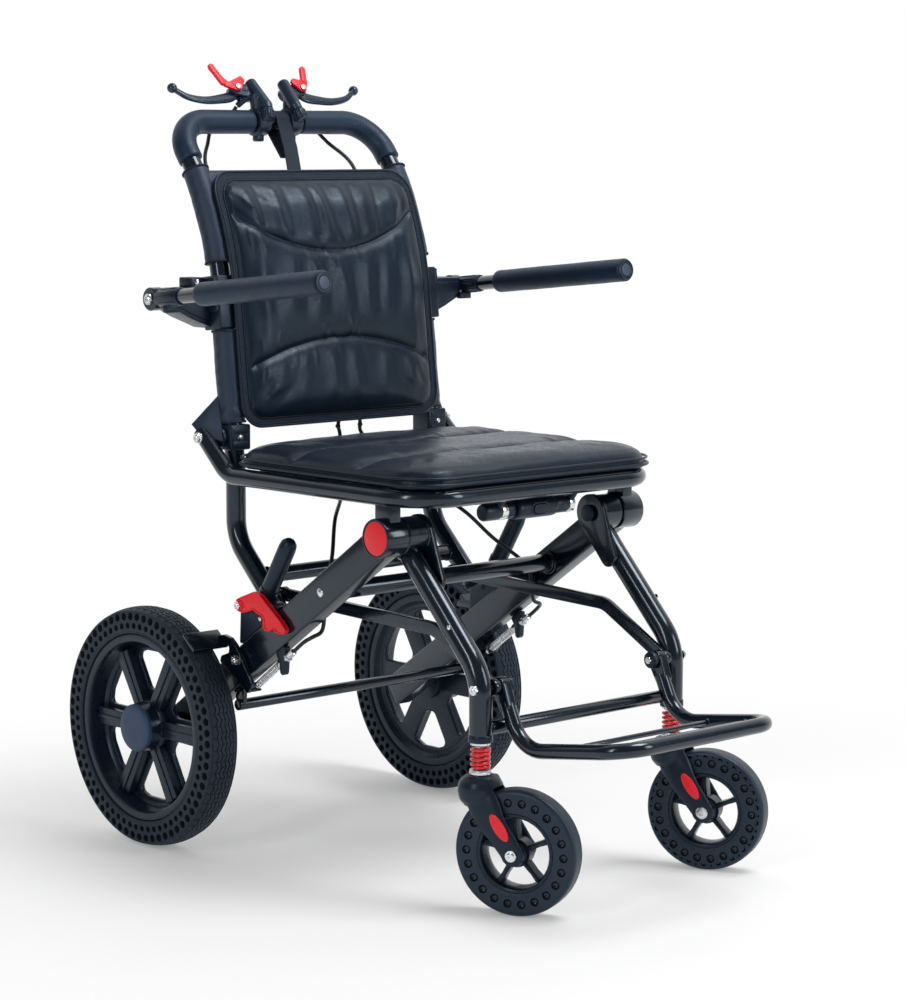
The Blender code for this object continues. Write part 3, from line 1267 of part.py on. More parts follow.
def window(inner_r, outer_r, count, spoke, index):
    """The outline of the opening between two spokes of even width."""
    middle = 2 * math.pi * (index + 0.5) / count

    def reach(radius):
        return math.pi / count - math.asin(spoke / 2 / radius)

    turns = [(inner_r, -1), (outer_r * 0.93, -1), (outer_r, -0.70), (outer_r, 0.70), (outer_r * 0.93, 1),
             (inner_r, 1)]
    return [(r * math.cos(middle + s * reach(r)), r * math.sin(middle + s * reach(r))) for r, s in turns]


def rear_wheel(side):
    """The tyre, and the rim with its spokes and hub cap, which turns on the beam's stub axle."""
    frame = Matrix.Translation((side * REAR_WHEEL_X, *AXLE)) @ frame_along((side, 0, 0))
    half = REAR_TYRE_WIDTH / 2
    seat = REAR_RIM_R + 0.0004
    outer = [(seat, half - 0.0020), (REAR_WHEEL_R - 0.0090, half), (REAR_WHEEL_R, half - 0.0080)]
    tyre = turned(outer + [(r, -h) for r, h in outer[::-1]], WHEEL_STEPS, frame, True)
    tyre = finish(tyre, f"rear_tyre_{SIDE_NAMES[side]}", RUBBER)
    lip, dish, cap = REAR_RIM_WIDTH / 2, 0.0080, 0.0280
    rim = turned([
        (0, cap), (REAR_HUB_R - 0.0020, cap), (REAR_HUB_R, dish), (REAR_RIM_R - 0.0160, dish),
        (REAR_RIM_R - 0.0105, lip),
        (REAR_RIM_R, lip), (REAR_RIM_R, -lip), (REAR_RIM_R - 0.0130, -lip),
        (REAR_RIM_R - 0.0190, -0.0120),
        (REAR_HUB_R - 0.0040, -0.0120), (REAR_HUB_R - 0.0060, -lip), (0, -lip),
    ], WHEEL_STEPS, frame)
    bore_end = 0.2650 - REAR_WHEEL_X + 0.0006
    bore = rod(frame @ Vector((0, 0, -0.030)), frame @ Vector((0, 0, bore_end)), clear_of(REAR_AXLE_R), 12)
    low, high = REAR_HUB_R + 0.0114, REAR_RIM_R - 0.0230
    windows = [slab(window(low, high, REAR_SPOKES, 0.0270, i), -0.020, 0.020, frame)
               for i in range(REAR_SPOKES)]
    return tyre, finish(cut(rim, [bore, *windows]), f"rear_rim_{SIDE_NAMES[side]}", BLACK_PLASTIC)


hang("chair", seat_frame(), seat_sling(), seat_cushion(), *cross_tubes())
handle, housing, button = release_grip()
hang("chair", handle, housing)
hang(axis_empty("release_button_slide", (0, -0.182, 0.452), "chair"), button)

back = axis_empty("backrest_axis", (0, *HINGE), "chair")
hang(back, backrest_frame(), back_cross_tube(), back_upholstery(), back_cushion())
legs = axis_empty("front_leg_axis", (0, *HUB), "chair")
hang(legs, front_leg_frame())
hang(axis_empty("footrest_axis", (0, *LINK_AXIS), legs), footrest())
hang(axis_empty("fold_link_axis", (0, *LINK_AXIS), legs), *[fold_link(side) for side in SIDES])

for side in SIDES:
    name = SIDE_NAMES[side]
    bracket, hook = latch(side)
    hang("chair", side_beam(side), bracket, brake_bracket(side), brake_spring(side), lower_cable(side))
    hang(axis_empty(f"hook_axis_{name}", (side * HOOK_IN_X, *HOOK_PIVOT), "chair"), hook)
    arm_at = (side * ARM_PLATE_IN_X, *BRAKE_PIVOT)
    hang(axis_empty(f"brake_arm_axis_{name}", arm_at, "chair"), brake_arm(side))
    hang(back, handlebar_foam(side), armrest_bracket(side), back_hinge(side))
    hang(back, brake_perch(side), upper_cable(side))
    hang(axis_empty(f"armrest_axis_{name}", (side * ARM_X, *ARM_PIVOT), back), *armrest(side))
    lever_at = (side * LEVER_PIVOT[0], *LEVER_PIVOT[1:])
    hang(axis_empty(f"lever_axis_{name}", lever_at, back), brake_lever(side))
    hang(axis_empty(f"toggle_axis_{name}", lever_at, back), parking_toggle(side))
    stem, coil, fork, wheel = caster(side)
    stem_axis = axis_empty(f"suspension_axis_{name}", (side * LEG_X, LEG_Y, STEM_COLLAR_Z), legs)
    hang(legs, coil)
    hang(stem_axis, stem)
    swivel = axis_empty(f"swivel_axis_{name}", (side * LEG_X, LEG_Y, FORK_TOP_Z), stem_axis)
    hang(swivel, fork)
    axle_at = caster_frame(side) @ Vector((0, -CASTER_TRAIL, CASTER_R))
    hang(axis_empty(f"caster_axle_{name}", axle_at, swivel), wheel)
    hang(axis_empty(f"rear_axle_{name}", (side * REAR_WHEEL_X, *AXLE), "chair"), *rear_wheel(side))
bpy.context.view_layer.update()
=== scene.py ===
"""The travel wheelchair's looks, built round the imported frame.

Shapes are modelled in the design frame of the part's source, in metres, and moved by SHIFT_Y into the
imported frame. The chair faces -Y, and the user's right side is at -X.
"""

import math
import random

import bmesh
import bpy
import numpy as np
from mathutils import Matrix, Vector, noise


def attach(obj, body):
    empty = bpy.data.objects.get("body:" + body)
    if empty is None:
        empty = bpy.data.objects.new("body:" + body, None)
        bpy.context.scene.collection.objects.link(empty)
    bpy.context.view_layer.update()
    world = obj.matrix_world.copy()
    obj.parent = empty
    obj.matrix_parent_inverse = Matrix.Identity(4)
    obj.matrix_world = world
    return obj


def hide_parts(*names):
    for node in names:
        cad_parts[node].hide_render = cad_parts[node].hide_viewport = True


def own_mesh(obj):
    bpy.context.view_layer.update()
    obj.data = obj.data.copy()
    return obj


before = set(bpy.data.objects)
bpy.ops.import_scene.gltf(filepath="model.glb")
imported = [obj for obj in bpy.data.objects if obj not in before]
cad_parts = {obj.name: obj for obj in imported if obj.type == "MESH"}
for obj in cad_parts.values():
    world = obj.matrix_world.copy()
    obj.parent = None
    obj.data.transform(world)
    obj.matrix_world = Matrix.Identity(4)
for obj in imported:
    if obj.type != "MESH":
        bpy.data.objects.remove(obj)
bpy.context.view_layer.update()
SHIFT_Y = 0.03325
SIDES = (-1, 1)
NAME = {-1: "right", 1: "left"}
TAU = 2 * math.pi
RNG = random.Random(7)


# Materials
COOL_GLOSS = (0.68, 0.84, 1.0, 1)


def nodes_of(name, color, rough, metallic=0.0, **sockets):
    """A new material, its node tree and shader, and coordinates on the object."""
    mat = bpy.data.materials.new(name)
    mat.use_nodes = True
    tree = mat.node_tree
    shader = tree.nodes["Principled BSDF"]
    shader.inputs["Base Color"].default_value = (*color, 1)
    shader.inputs["Roughness"].default_value = rough
    shader.inputs["Metallic"].default_value = metallic
    if not metallic:
        shader.inputs["Specular Tint"].default_value = COOL_GLOSS
    for key, value in sockets.items():
        shader.inputs[key.replace("_", " ")].default_value = value
    coords = tree.nodes.new("ShaderNodeTexCoord").outputs["Object"]
    return mat, tree, shader, coords


def add(tree, kind, inputs=None, **props):
    """A new node with its inputs linked or set."""
    node = tree.nodes.new(kind)
    for key, value in props.items():
        setattr(node, key, value)
    for key, value in (inputs or {}).items():
        if isinstance(value, bpy.types.NodeSocket):
            tree.links.new(value, node.inputs[key])
        else:
            node.inputs[key].default_value = value
    return node


def math_node(tree, operation, *values):
    return add(tree, "ShaderNodeMath", dict(enumerate(values)), operation=operation).outputs[0]


def ramp(tree, factor, low, high, at=(0.0, 1.0)):
    """Colours or greys from low to high as the factor goes between the two places."""
    node = add(tree, "ShaderNodeValToRGB", {"Fac": factor})
    stops = node.color_ramp.elements
    for stop, value, place in zip(stops, (low, high), at):
        stop.position = place
        stop.color = (value, value, value, 1) if isinstance(value, (int, float)) else (*value, 1)
    return node.outputs["Color"]


def bump(tree, shader, height, strength, distance):
    made = add(tree, "ShaderNodeBump", {"Height": height, "Strength": strength, "Distance": distance})
    tree.links.new(made.outputs[0], shader.inputs["Normal"])


def tinted(color, factor):
    return tuple(min(1.0, c * factor) for c in color)


def clouds(tree, coords, scale, detail, rough=0.5):
    """The grey value of a noise texture at the coordinates."""
    return add(tree, "ShaderNodeTexNoise", {"Vector": coords, "Scale": scale, "Detail": detail,
                                            "Roughness": rough}).outputs[0]


def grained(name, color, rough, vary=0.15, rough_vary=0.08, grain=900.0, bump_mm=0.05, strength=0.3,
            metallic=0.0, dust=0.0, **sockets):
    """A coated, moulded or rubber surface: cloudy colour, uneven gloss and a fine grain."""
    mat, tree, shader, coords = nodes_of(name, color, rough, metallic, **sockets)
    smear = clouds(tree, coords, 120.0, 6.0, 0.7)
    base = ramp(tree, clouds(tree, coords, 22.0, 5.0), tinted(color, 1 - vary), tinted(color, 1 + vary),
                (0.3, 0.7))
    if dust:
        specks = ramp(tree, smear, 0.0, dust, (0.52, 0.75))
        pale = tuple(0.5 * c + 0.10 for c in color)
        mix = add(tree, "ShaderNodeMix", {0: specks, 6: base, 7: (*pale, 1)}, data_type="RGBA")
        base = mix.outputs[2]
    tree.links.new(base, shader.inputs["Base Color"])
    gloss = ramp(tree, smear, max(0.02, rough - rough_vary), rough + rough_vary, (0.3, 0.7))
    tree.links.new(gloss, shader.inputs["Roughness"])
    bump(tree, shader, clouds(tree, coords, grain, 3.0), strength, bump_mm / 1000)
    return mat


def leather(name, color, rough):
    """Soft synthetic leather: pebbled grain with fine creases between the cells."""
    mat, tree, shader, coords = nodes_of(name, color, rough, Specular_IOR_Level=0.36, Sheen_Weight=0.03,
                                         Sheen_Roughness=0.45, Sheen_Tint=(0.55, 0.68, 1.0, 1))
    warp = add(tree, "ShaderNodeTexNoise", {"Vector": coords, "Scale": 60.0, "Detail": 2.0})
    bent = add(tree, "ShaderNodeMix", {0: 0.004, 4: coords, 5: warp.outputs["Color"]},
               data_type="VECTOR").outputs[1]
    cells = add(tree, "ShaderNodeTexVoronoi", {"Vector": bent, "Scale": 780.0},
                feature="DISTANCE_TO_EDGE").outputs[0]
    worn = clouds(tree, coords, 240.0, 4.0)
    base = ramp(tree, clouds(tree, coords, 9.0, 6.0, 0.6), tinted(color, 0.82), tinted(color, 1.2),
                (0.32, 0.68))
    tree.links.new(base, shader.inputs["Base Color"])
    tree.links.new(ramp(tree, worn, rough - 0.06, rough + 0.09, (0.3, 0.7)), shader.inputs["Roughness"])
    height = math_node(tree, "MINIMUM", cells, 0.22)
    soft = math_node(tree, "MULTIPLY_ADD", worn, 0.20, height)
    bump(tree, shader, soft, 0.35, 0.00035)
    return mat


def woven(name, color, rough, pitch_mm, depth=0.5, mesh=0.0, spread=1.0, **sockets):
    """A plain weave of crossing yarns, its colour lighter on the yarn tops and darker in the gaps as painted
    light and shade. More mesh deepens the painted shade in its gaps, and less spread evens out its colour.
    """
    mat, tree, shader, coords = nodes_of(name, color, rough, **sockets)
    turn = add(tree, "ShaderNodeMapping", {"Vector": coords, "Rotation": (0.62, 0.31, 0.785)}).outputs[0]
    yarns = []
    for axis in ("X", "Y", "Z"):
        wave = add(tree, "ShaderNodeTexWave", {"Vector": turn, "Scale": 0.32 / (pitch_mm / 1000),
                                               "Distortion": 0.6 + 2.4 * (1 - spread), "Detail": 1.0},
                   wave_type="BANDS", bands_direction=axis)
        yarns.append(wave.outputs["Fac"])
    height = math_node(tree, "MULTIPLY", math_node(tree, "MULTIPLY", yarns[0], yarns[1]),
                       math_node(tree, "ADD", yarns[2], 0.4))
    cloud = clouds(tree, coords, 30.0, 4.0)
    # Painted light: the colour follows the yarns' height, lighter on their tops as a painted highlight and
    # darker in the gaps as painted shade, with random tone from the cloud mixed in.
    yarn_light_and_tone = math_node(tree, "MULTIPLY_ADD", height, 0.7, math_node(tree, "MULTIPLY", cloud, 0.3))
    gap_shade = tinted(color, 1 - (0.5 + 0.3 * mesh) * spread)
    tree.links.new(ramp(tree, yarn_light_and_tone, gap_shade, tinted(color, 1 + 0.6 * spread), (0.1, 0.8)),
                   shader.inputs["Base Color"])
    bump(tree, shader, height, depth, pitch_mm / 2500)
    return mat


PAINT = grained("black_coat", (0.002, 0.005, 0.011), 0.20, 0.2, 0.05, 700, 0.02, 0.10, Coat_Weight=0.35,
                Coat_Roughness=0.08)
PLASTIC = grained("black_moulding", (0.004, 0.010, 0.022), 0.36, 0.12, 0.07, 1500, 0.04, 0.25,
                  Specular_IOR_Level=0.4)
RIM_PLASTIC = grained("wheel_moulding", (0.006, 0.011, 0.024), 0.30, 0.14, 0.07, 1300, 0.03, 0.2,
                      Specular_IOR_Level=0.4)
CAP_PLASTIC = grained("hub_cap_moulding", (0.022, 0.044, 0.096), 0.45, 0.10, 0.06, 1500, 0.03, 0.2)
TYRE = grained("tyre_rubber", (0.007, 0.012, 0.024), 0.60, 0.16, 0.10, 1000, 0.08, 0.4, dust=0.07)
# The same rubber as the tyre, painted much darker as painted shade in the sidewall pits.
TREAD_PIT_SHADE = grained("tyre_hollow", (0.004, 0.005, 0.008), 0.8, 0.2, 0.05, 900, 0.05, 0.3)
CASTER_RUBBER = grained("caster_rubber", (0.008, 0.016, 0.032), 0.42, 0.16, 0.08, 1100, 0.05, 0.3,
                        dust=0.04)
FOAM = grained("foam_skin", (0.006, 0.017, 0.038), 0.46, 0.14, 0.08, 1700, 0.10, 0.45,
               Specular_IOR_Level=0.4, Sheen_Weight=0.04, Sheen_Roughness=0.5, Sheen_Tint=(0.6, 0.7, 1.0, 1))
CABLE = grained("cable_cover_skin", (0.008, 0.009, 0.012), 0.35, 0.2, 0.06, 1400, 0.02, 0.15)
LEATHER = leather("navy_hide", (0.002, 0.008, 0.019), 0.34)
PIPING = leather("piping_hide", (0.004, 0.009, 0.020), 0.34)
MESH = woven("air_mesh", (0.014, 0.022, 0.040), 0.8, 1.9, 0.8, 0.6)
CLOTH = woven("nylon_weave", (0.014, 0.023, 0.047), 0.50, 0.9, 0.20, spread=0.35, Sheen_Weight=0.25,
              Sheen_Roughness=0.4, Sheen_Tint=(0.6, 0.7, 1.0, 1))
WEBBING = woven("webbing", (0.010, 0.016, 0.030), 0.75, 1.5, 0.7)
THREAD = woven("thread", (0.045, 0.060, 0.098), 0.7, 0.5, 0.5)
DIMPLE = grained("glossy_dimple", (0.010, 0.013, 0.020), 0.16, 0.2, 0.05, 1200, 0.03, 0.15)
CAP_DISC = grained("end_disc", (0.040, 0.056, 0.090), 0.4, 0.12, 0.07, 1400, 0.05, 0.4)
PERCH = grained("perch_moulding", (0.012, 0.022, 0.044), 0.34, 0.12, 0.08, 1300, 0.04, 0.25)
LEVER = grained("lever_coat", (0.010, 0.018, 0.038), 0.26, 0.14, 0.08, 900, 0.03, 0.15, Coat_Weight=0.3)
RED = grained("red_moulding", (0.90, 0.012, 0.018), 0.36, 0.08, 0.06, 1200, 0.04, 0.2)
RED_COAT = grained("red_coat", (0.80, 0.012, 0.020), 0.28, 0.10, 0.06, 900, 0.03, 0.15, Coat_Weight=0.4)
STEEL = grained("bright_plate", (0.72, 0.73, 0.76), 0.24, 0.06, 0.09, 500, 0.03, 0.15, metallic=1.0)

SLOTS = {mat.name: slot for slot, mats in {
    "black_paint": (PAINT, LEVER), "black_plastic": (PLASTIC, RIM_PLASTIC, CAP_PLASTIC, CAP_DISC, PERCH),
    "wheel_rubber": (TYRE, TREAD_PIT_SHADE, CASTER_RUBBER, DIMPLE), "foam_grip": (FOAM,), "cable_cover": (CABLE,),
    "navy_leather": (LEATHER, PIPING), "black_fabric": (MESH, CLOTH, WEBBING, THREAD), "red_plastic": (RED,),
    "red_spring": (RED_COAT,), "bright_steel": (STEEL,)}.items() for mat in mats}


# Mesh helpers: a part is (points, faces)
def move(part, matrix):
    points, faces = part
    m = np.array(matrix, float)
    turned_points = np.asarray(points, float) @ m[:3, :3].T + m[:3, 3]
    if np.linalg.det(m[:3, :3]) < 0:
        faces = [tuple(f[::-1]) for f in faces]
    return turned_points, faces


FLIP = Matrix.Diagonal((1, 1, -1, 1))


def both_faces(parts):
    """The parts of a wheel's one face, and the same ones on its other face."""
    return parts + [move(p, FLIP) for p in parts]


def from_bmesh(bm, matrix=None):
    bm.verts.index_update()
    points = np.array([v.co for v in bm.verts], float).reshape(-1, 3)
    faces = [tuple(v.index for v in f.verts) for f in bm.faces]
    bm.free()
    return move((points, faces), matrix) if matrix else (points, faces)


def frame_along(direction):
    return Vector(direction).to_track_quat("Z", "Y").to_matrix().to_4x4()


def at_along(start, direction):
    return Matrix.Translation(Vector(start)) @ frame_along(direction)


def outwards(side, x, at):
    """A frame at a distance from the middle plane, with local Z away from that plane."""
    return at_along((side * x, at[0], at[1]), (side, 0, 0))


def angles(count):
    return [TAU * i / count for i in range(count)]


def circle(at, radius, count=24):
    """A closed flat outline round a point."""
    return [(at[0] + radius * math.cos(a), at[1] + radius * math.sin(a)) for a in angles(count)]


def fillet(before, here, after, radius, step):
    """The arc that rounds one corner."""
    u, v = (before - here).normalized(), (after - here).normalized()
    turn = math.pi - u.angle(v)
    centre = here + (u + v).normalized() * radius / math.cos(turn / 2)
    first, last = (here + way * (radius * math.tan(turn / 2)) - centre for way in (u, v))
    count = max(2, round(turn / step))
    return [centre + first.slerp(last, i / count).normalized() * radius for i in range(count + 1)]


def rounded(corners, radii, step=math.radians(5)):
    """A path through the corners, each inner one rounded by its radius."""
    corners = [Vector(c) for c in corners]
    if isinstance(radii, (int, float)):
        radii = [radii] * (len(corners) - 2)
    path = [corners[0]]
    for before, here, after, radius in zip(corners, corners[1:], corners[2:], radii):
        bent = math.pi - (before - here).angle(after - here) > 1e-4 and radius
        path += fillet(before, here, after, radius, step) if bent else [here]
    return path + [corners[-1]]


def curve_at(a, b, c, d, t):
    """The point at share t of the smooth curve from b to c."""
    return 0.5 * (2 * b + (c - a) * t + (2 * a - 5 * b + 4 * c - d) * t * t
                  + (3 * b - a - 3 * c + d) * t ** 3)


def smooth(points, spacing):
    """Evenly spaced points on a smooth curve through the given ones."""
    points = [Vector(p) for p in points]
    ends = [points[0] * 2 - points[1]] + points + [points[-1] * 2 - points[-2]]
    dense = [curve_at(*four, i / 16) for four in zip(ends, ends[1:], ends[2:], ends[3:]) for i in range(16)]
    dense.append(points[-1])
    length = sum((q - p).length for p, q in zip(dense, dense[1:]))
    count = max(2, round(length / spacing))
    path, walked, goal = [dense[0]], 0.0, length / count
    for p, q in zip(dense, dense[1:]):
        step = (q - p).length
        while walked + step >= goal * len(path) and len(path) < count:
            path.append(p.lerp(q, (goal * len(path) - walked) / step))
        walked += step
    return path + [dense[-1]]


def tangent(path, i):
    return (path[min(i + 1, len(path) - 1)] - path[max(i - 1, 0)]).normalized()


def walls(rings, sides, closed=False, caps=True):
    """The faces between successive rings of points, and one over each end."""
    pairs = zip(range(rings), [*range(1, rings), *([0] if closed else [])])
    faces = [(i * sides + k, i * sides + (k + 1) % sides, j * sides + (k + 1) % sides, j * sides + k)
             for i, j in pairs for k in range(sides)]
    if caps and not closed:
        faces += [tuple(range(sides))[::-1], tuple((rings - 1) * sides + k for k in range(sides))]
    return faces


def sweep(path, radius, sides=28, scale=None, closed=False, up=None):
    """A tube along the points. scale(share, angle) swells it, and up is where its angles start."""
    path = [Vector(p) for p in path]
    count = len(path)
    runs = [0.0]
    for p, q in zip(path, path[1:]):
        runs.append(runs[-1] + (q - p).length)
    points, across = [], None
    for i, at in enumerate(path):
        along = (path[(i + 1) % count] - path[i - 1]).normalized() if closed else tangent(path, i)
        if across is None:
            across = Vector(up) if up else along.orthogonal()
        across = (across - along * across.dot(along)).normalized()
        other = along.cross(across)
        for angle in angles(sides):
            r = radius * (scale(runs[i] / runs[-1], angle) if scale else 1.0)
            points.append(at + across * (r * math.cos(angle)) + other * (r * math.sin(angle)))
    return np.array(points, float), walls(count, sides, closed)


def weld_bead(ring, thick, waves, swing=0.2, sides=8):
    """A wavy bead along a closed ring of points."""
    return sweep(ring, thick, sides, lambda t, a: 1 + swing * math.sin(TAU * t * waves), True)


def bead(centre, axis, radius, thick, waves):
    """A weld bead round a tube's end."""
    turn = frame_along(axis).to_3x3()
    return weld_bead([Vector(centre) + turn @ Vector((math.cos(a), math.sin(a), 0)) * radius
                      for a in angles(48)], thick, waves)


def cross_bead(x, at, radius, thick, waves, count):
    """A weld bead round a cross tube's end."""
    return weld_bead([(x, *p) for p in circle(at, radius, count)], thick, waves)


def lathe(profile, steps=48, matrix=None, ring=False):
    """(radius, height) points turned about local Z."""
    points, faces, rows = [], [], []
    for r, h in profile:
        if r < 1e-7:
            rows.append([len(points)])
            points.append((0, 0, h))
        else:
            rows.append([len(points) + k for k in range(steps)])
            points += [(r * math.cos(TAU * k / steps), r * math.sin(TAU * k / steps), h)
                       for k in range(steps)]
    pairs = list(zip(rows, rows[1:])) + ([(rows[-1], rows[0])] if ring else [])
    for a, b in pairs:
        for k in range(steps):
            n = (k + 1) % steps
            quad = (a[k % len(a)], a[n % len(a)], b[n % len(b)], b[k % len(b)])
            face = tuple(dict.fromkeys(quad))
            if len(face) > 2:
                faces.append(face)
    part = (np.array(points, float), faces)
    return move(part, matrix) if matrix else part


def arc(centre, radius, start, end, count):
    """Points of an arc in degrees, for profiles and outlines."""
    return [(centre[0] + radius * math.cos(math.radians(start + (end - start) * i / count)),
             centre[1] + radius * math.sin(math.radians(start + (end - start) * i / count)))
            for i in range(count + 1)]


def prism(outlines, low, high, matrix=None, bevel=0.0006, segments=2):
    """Flat outlines, holes among them, as a solid from low to high with eased edges."""
    if not isinstance(outlines[0][0], (tuple, list, Vector)):
        outlines = [outlines]
    data = bpy.data.curves.new("prism", "CURVE")
    data.dimensions = "2D"
    data.fill_mode = "BOTH"
    data.extrude = max(0.0, abs(high - low) / 2 - bevel)
    data.bevel_depth = bevel
    data.bevel_resolution = segments
    data.offset = -bevel
    for outline in outlines:
        spline = data.splines.new("POLY")
        spline.points.add(len(outline) - 1)
        for point, at in zip(spline.points, outline):
            point.co = (at[0], at[1], 0.0, 1.0)
        spline.use_cyclic_u = True
    obj = bpy.data.objects.new("prism", data)
    bpy.context.scene.collection.objects.link(obj)
    bpy.context.view_layer.update()
    mesh = bpy.data.meshes.new_from_object(obj.evaluated_get(bpy.context.evaluated_depsgraph_get()))
    bpy.data.objects.remove(obj)
    bm = bmesh.new()
    bm.from_mesh(mesh)
    bpy.data.meshes.remove(mesh)
    bmesh.ops.remove_doubles(bm, verts=bm.verts, dist=2e-6)
    bmesh.ops.recalc_face_normals(bm, faces=bm.faces)
    lift = Matrix.Translation((0, 0, (low + high) / 2))
    return from_bmesh(bm, (matrix or Matrix()) @ lift)


SIDE_VIEW = Matrix(((0, 0, 1, 0), (1, 0, 0, 0), (0, 1, 0, 0), (0, 0, 0, 1)))


def plate(outlines, x0, x1, bevel=0.0006, segments=2):
    """Outlines of (y, z) points, as thick as x0 to x1."""
    return prism(outlines, min(x0, x1), max(x0, x1), SIDE_VIEW, bevel, segments)


def block(low, high, bevel=0.001, matrix=None, segments=3):
    low, high = [min(p) for p in zip(low, high)], [max(p) for p in zip(low, high)]
    bm = bmesh.new()
    bmesh.ops.create_cube(bm, size=1.0)
    for vert in bm.verts:
        for axis in range(3):
            vert.co[axis] = low[axis] + (vert.co[axis] + 0.5) * (high[axis] - low[axis])
    bmesh.ops.bevel(bm, geom=bm.edges[:], offset=bevel, segments=segments, profile=0.5, affect="EDGES")
    return from_bmesh(bm, matrix)


def rod(start, end, radius, sides=32, edge=0.0006):
    """A turned pin with eased ends."""
    start, end = Vector(start), Vector(end)
    length = (end - start).length
    profile = [(0, 0), (radius - edge, 0), (radius - edge * 0.3, edge * 0.3), (radius, edge),
               (radius, length - edge), (radius - edge * 0.3, length - edge * 0.3), (radius - edge, length),
               (0, length)]
    return lathe(profile, sides, at_along(start, end - start))


def x_rod(x0, x1, at, radius, sides=32, edge=0.0006):
    return rod((x0, at[0], at[1]), (x1, at[0], at[1]), radius, sides, edge)


def hexagon(start, direction, radius, height, dome=0.0, turn=0.0):
    """A hex nut or bolt head with chamfered corners, and a domed lock ring on top if asked."""
    matrix = at_along(start, Vector(direction).normalized()) @ Matrix.Rotation(turn, 4, "Z")
    points = []
    levels = [(0.0, 1.0), (height - radius * 0.14, 1.0), (height, 0.86), (height, 0.50)]
    for h, share in levels:
        for angle in angles(36):
            flat = math.cos(math.pi / 6) / math.cos((angle % (math.pi / 3)) - math.pi / 6)
            r = radius * (min(flat, share * 1.02) if share < 1 else flat)
            points.append((r * math.cos(angle), r * math.sin(angle), h))
    head = move((np.array(points), walls(len(levels), 36)), matrix)
    if not dome:
        return [head]
    r = radius * 0.62
    ring = lathe([(r, height * 0.9), (r, height + dome * 0.5), (r * 0.8, height + dome),
                  (r * 0.45, height + dome), (r * 0.42, height + dome * 0.3), (0, height + dome * 0.3)],
                 24, matrix)
    return [head, ring]


def screw_head(at, way, radius, low, top_r, high, top, sides=24):
    """A low domed head on a face, the way it looks."""
    profile = [(radius, 0), (radius - 0.0002, low), (top_r, high), (0, top)]
    return lathe(profile, sides, at_along(at, way))


def ball(at, radius, matrix=None):
    profile = arc((0, 0), radius, -90, 90, 14)
    profile[0], profile[-1] = (0, -radius), (0, radius)
    return lathe(profile, 28, (matrix or Matrix()) @ Matrix.Translation(Vector(at)))


def helix(start, end, radius, turns, per_turn=24, flat_ends=0.0):
    start, end = Vector(start), Vector(end)
    turn_frame = frame_along(end - start).to_3x3()
    count = round(turns * per_turn)
    path = []
    for i in range(count + 1):
        angle = TAU * i / per_turn
        share = i / count
        if flat_ends:
            lead = flat_ends / turns
            share = min(max((share - lead) / (1 - 2 * lead), 0), 1) * (1 - 2 * lead * 0.45) + \
                min(share, lead) * 0.45 + max(share - 1 + lead, 0) * 0.45
        around = turn_frame @ Vector((math.cos(angle), math.sin(angle), 0)) * radius
        path.append(start.lerp(end, share) + around)
    return path


def hull_outline(first, first_r, last, last_r, steps=20):
    """The outline round two circles, as a strap or a lever has."""
    first, last = Vector(first), Vector(last)
    along = last - first
    base = math.atan2(along.y, along.x)
    lean = math.acos(max(-1.0, min(1.0, (first_r - last_r) / along.length)))
    points = []
    for i in range(steps):
        turn = base + lean + i * (TAU - 2 * lean) / (steps - 1)
        points.append(tuple(first + first_r * Vector((math.cos(turn), math.sin(turn)))))
    for i in range(steps):
        turn = base - lean + i * 2 * lean / (steps - 1)
        points.append(tuple(last + last_r * Vector((math.cos(turn), math.sin(turn)))))
    return points


def round_outline(points, radius, step=math.radians(15)):
    """A closed outline with each corner eased by up to the radius."""
    points = [Vector((p[0], p[1], 0)) for p in points]
    made = []
    for before, here, after in zip(points[-1:] + points[:-1], points, points[1:] + points[:1]):
        u, v = before - here, after - here
        turn = math.pi - u.angle(v)
        if turn < math.radians(2):
            made.append((here.x, here.y))
        else:
            r = min(radius, 0.45 * min(u.length, v.length) / math.tan(turn / 2))
            made += [(p.x, p.y) for p in fillet(before, here, after, r, step)]
    return made


def merged(parts):
    points, faces, start = [], [], 0
    for p, f in parts:
        points.append(np.asarray(p, float).reshape(-1, 3))
        faces += [tuple(i + start for i in face) for face in f]
        start += len(p)
    return np.concatenate(points), faces


def flat_list(parts):
    for part in parts:
        if isinstance(part, list):
            yield from flat_list(part)
        else:
            yield part


def mesh_object(name, parts, angle=35, weld=0.0):
    points, faces = merged(list(flat_list(parts)))
    points = points + np.array([0, SHIFT_Y, 0])
    mesh = bpy.data.meshes.new(name)
    mesh.from_pydata(points.tolist(), [], faces)
    bm = bmesh.new()
    bm.from_mesh(mesh)
    if weld:
        bmesh.ops.remove_doubles(bm, verts=bm.verts, dist=weld)
    bmesh.ops.recalc_face_normals(bm, faces=bm.faces)
    bm.to_mesh(mesh)
    bm.free()
    mesh.validate()
    mesh.shade_smooth()
    mesh.set_sharp_from_angle(angle=math.radians(angle))
    obj = bpy.data.objects.new(name, mesh)
    bpy.context.scene.collection.objects.link(obj)
    return obj


def piece(name, body, mat, parts, nodes=(), angle=35, weld=0.0):
    """A finished piece of the chair that rides on a body and stands for the named CAD nodes."""
    obj = mesh_object(name, parts, angle, weld)
    obj.data.materials.append(mat)
    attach(obj, body)
    if nodes:
        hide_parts(*nodes)
    return obj


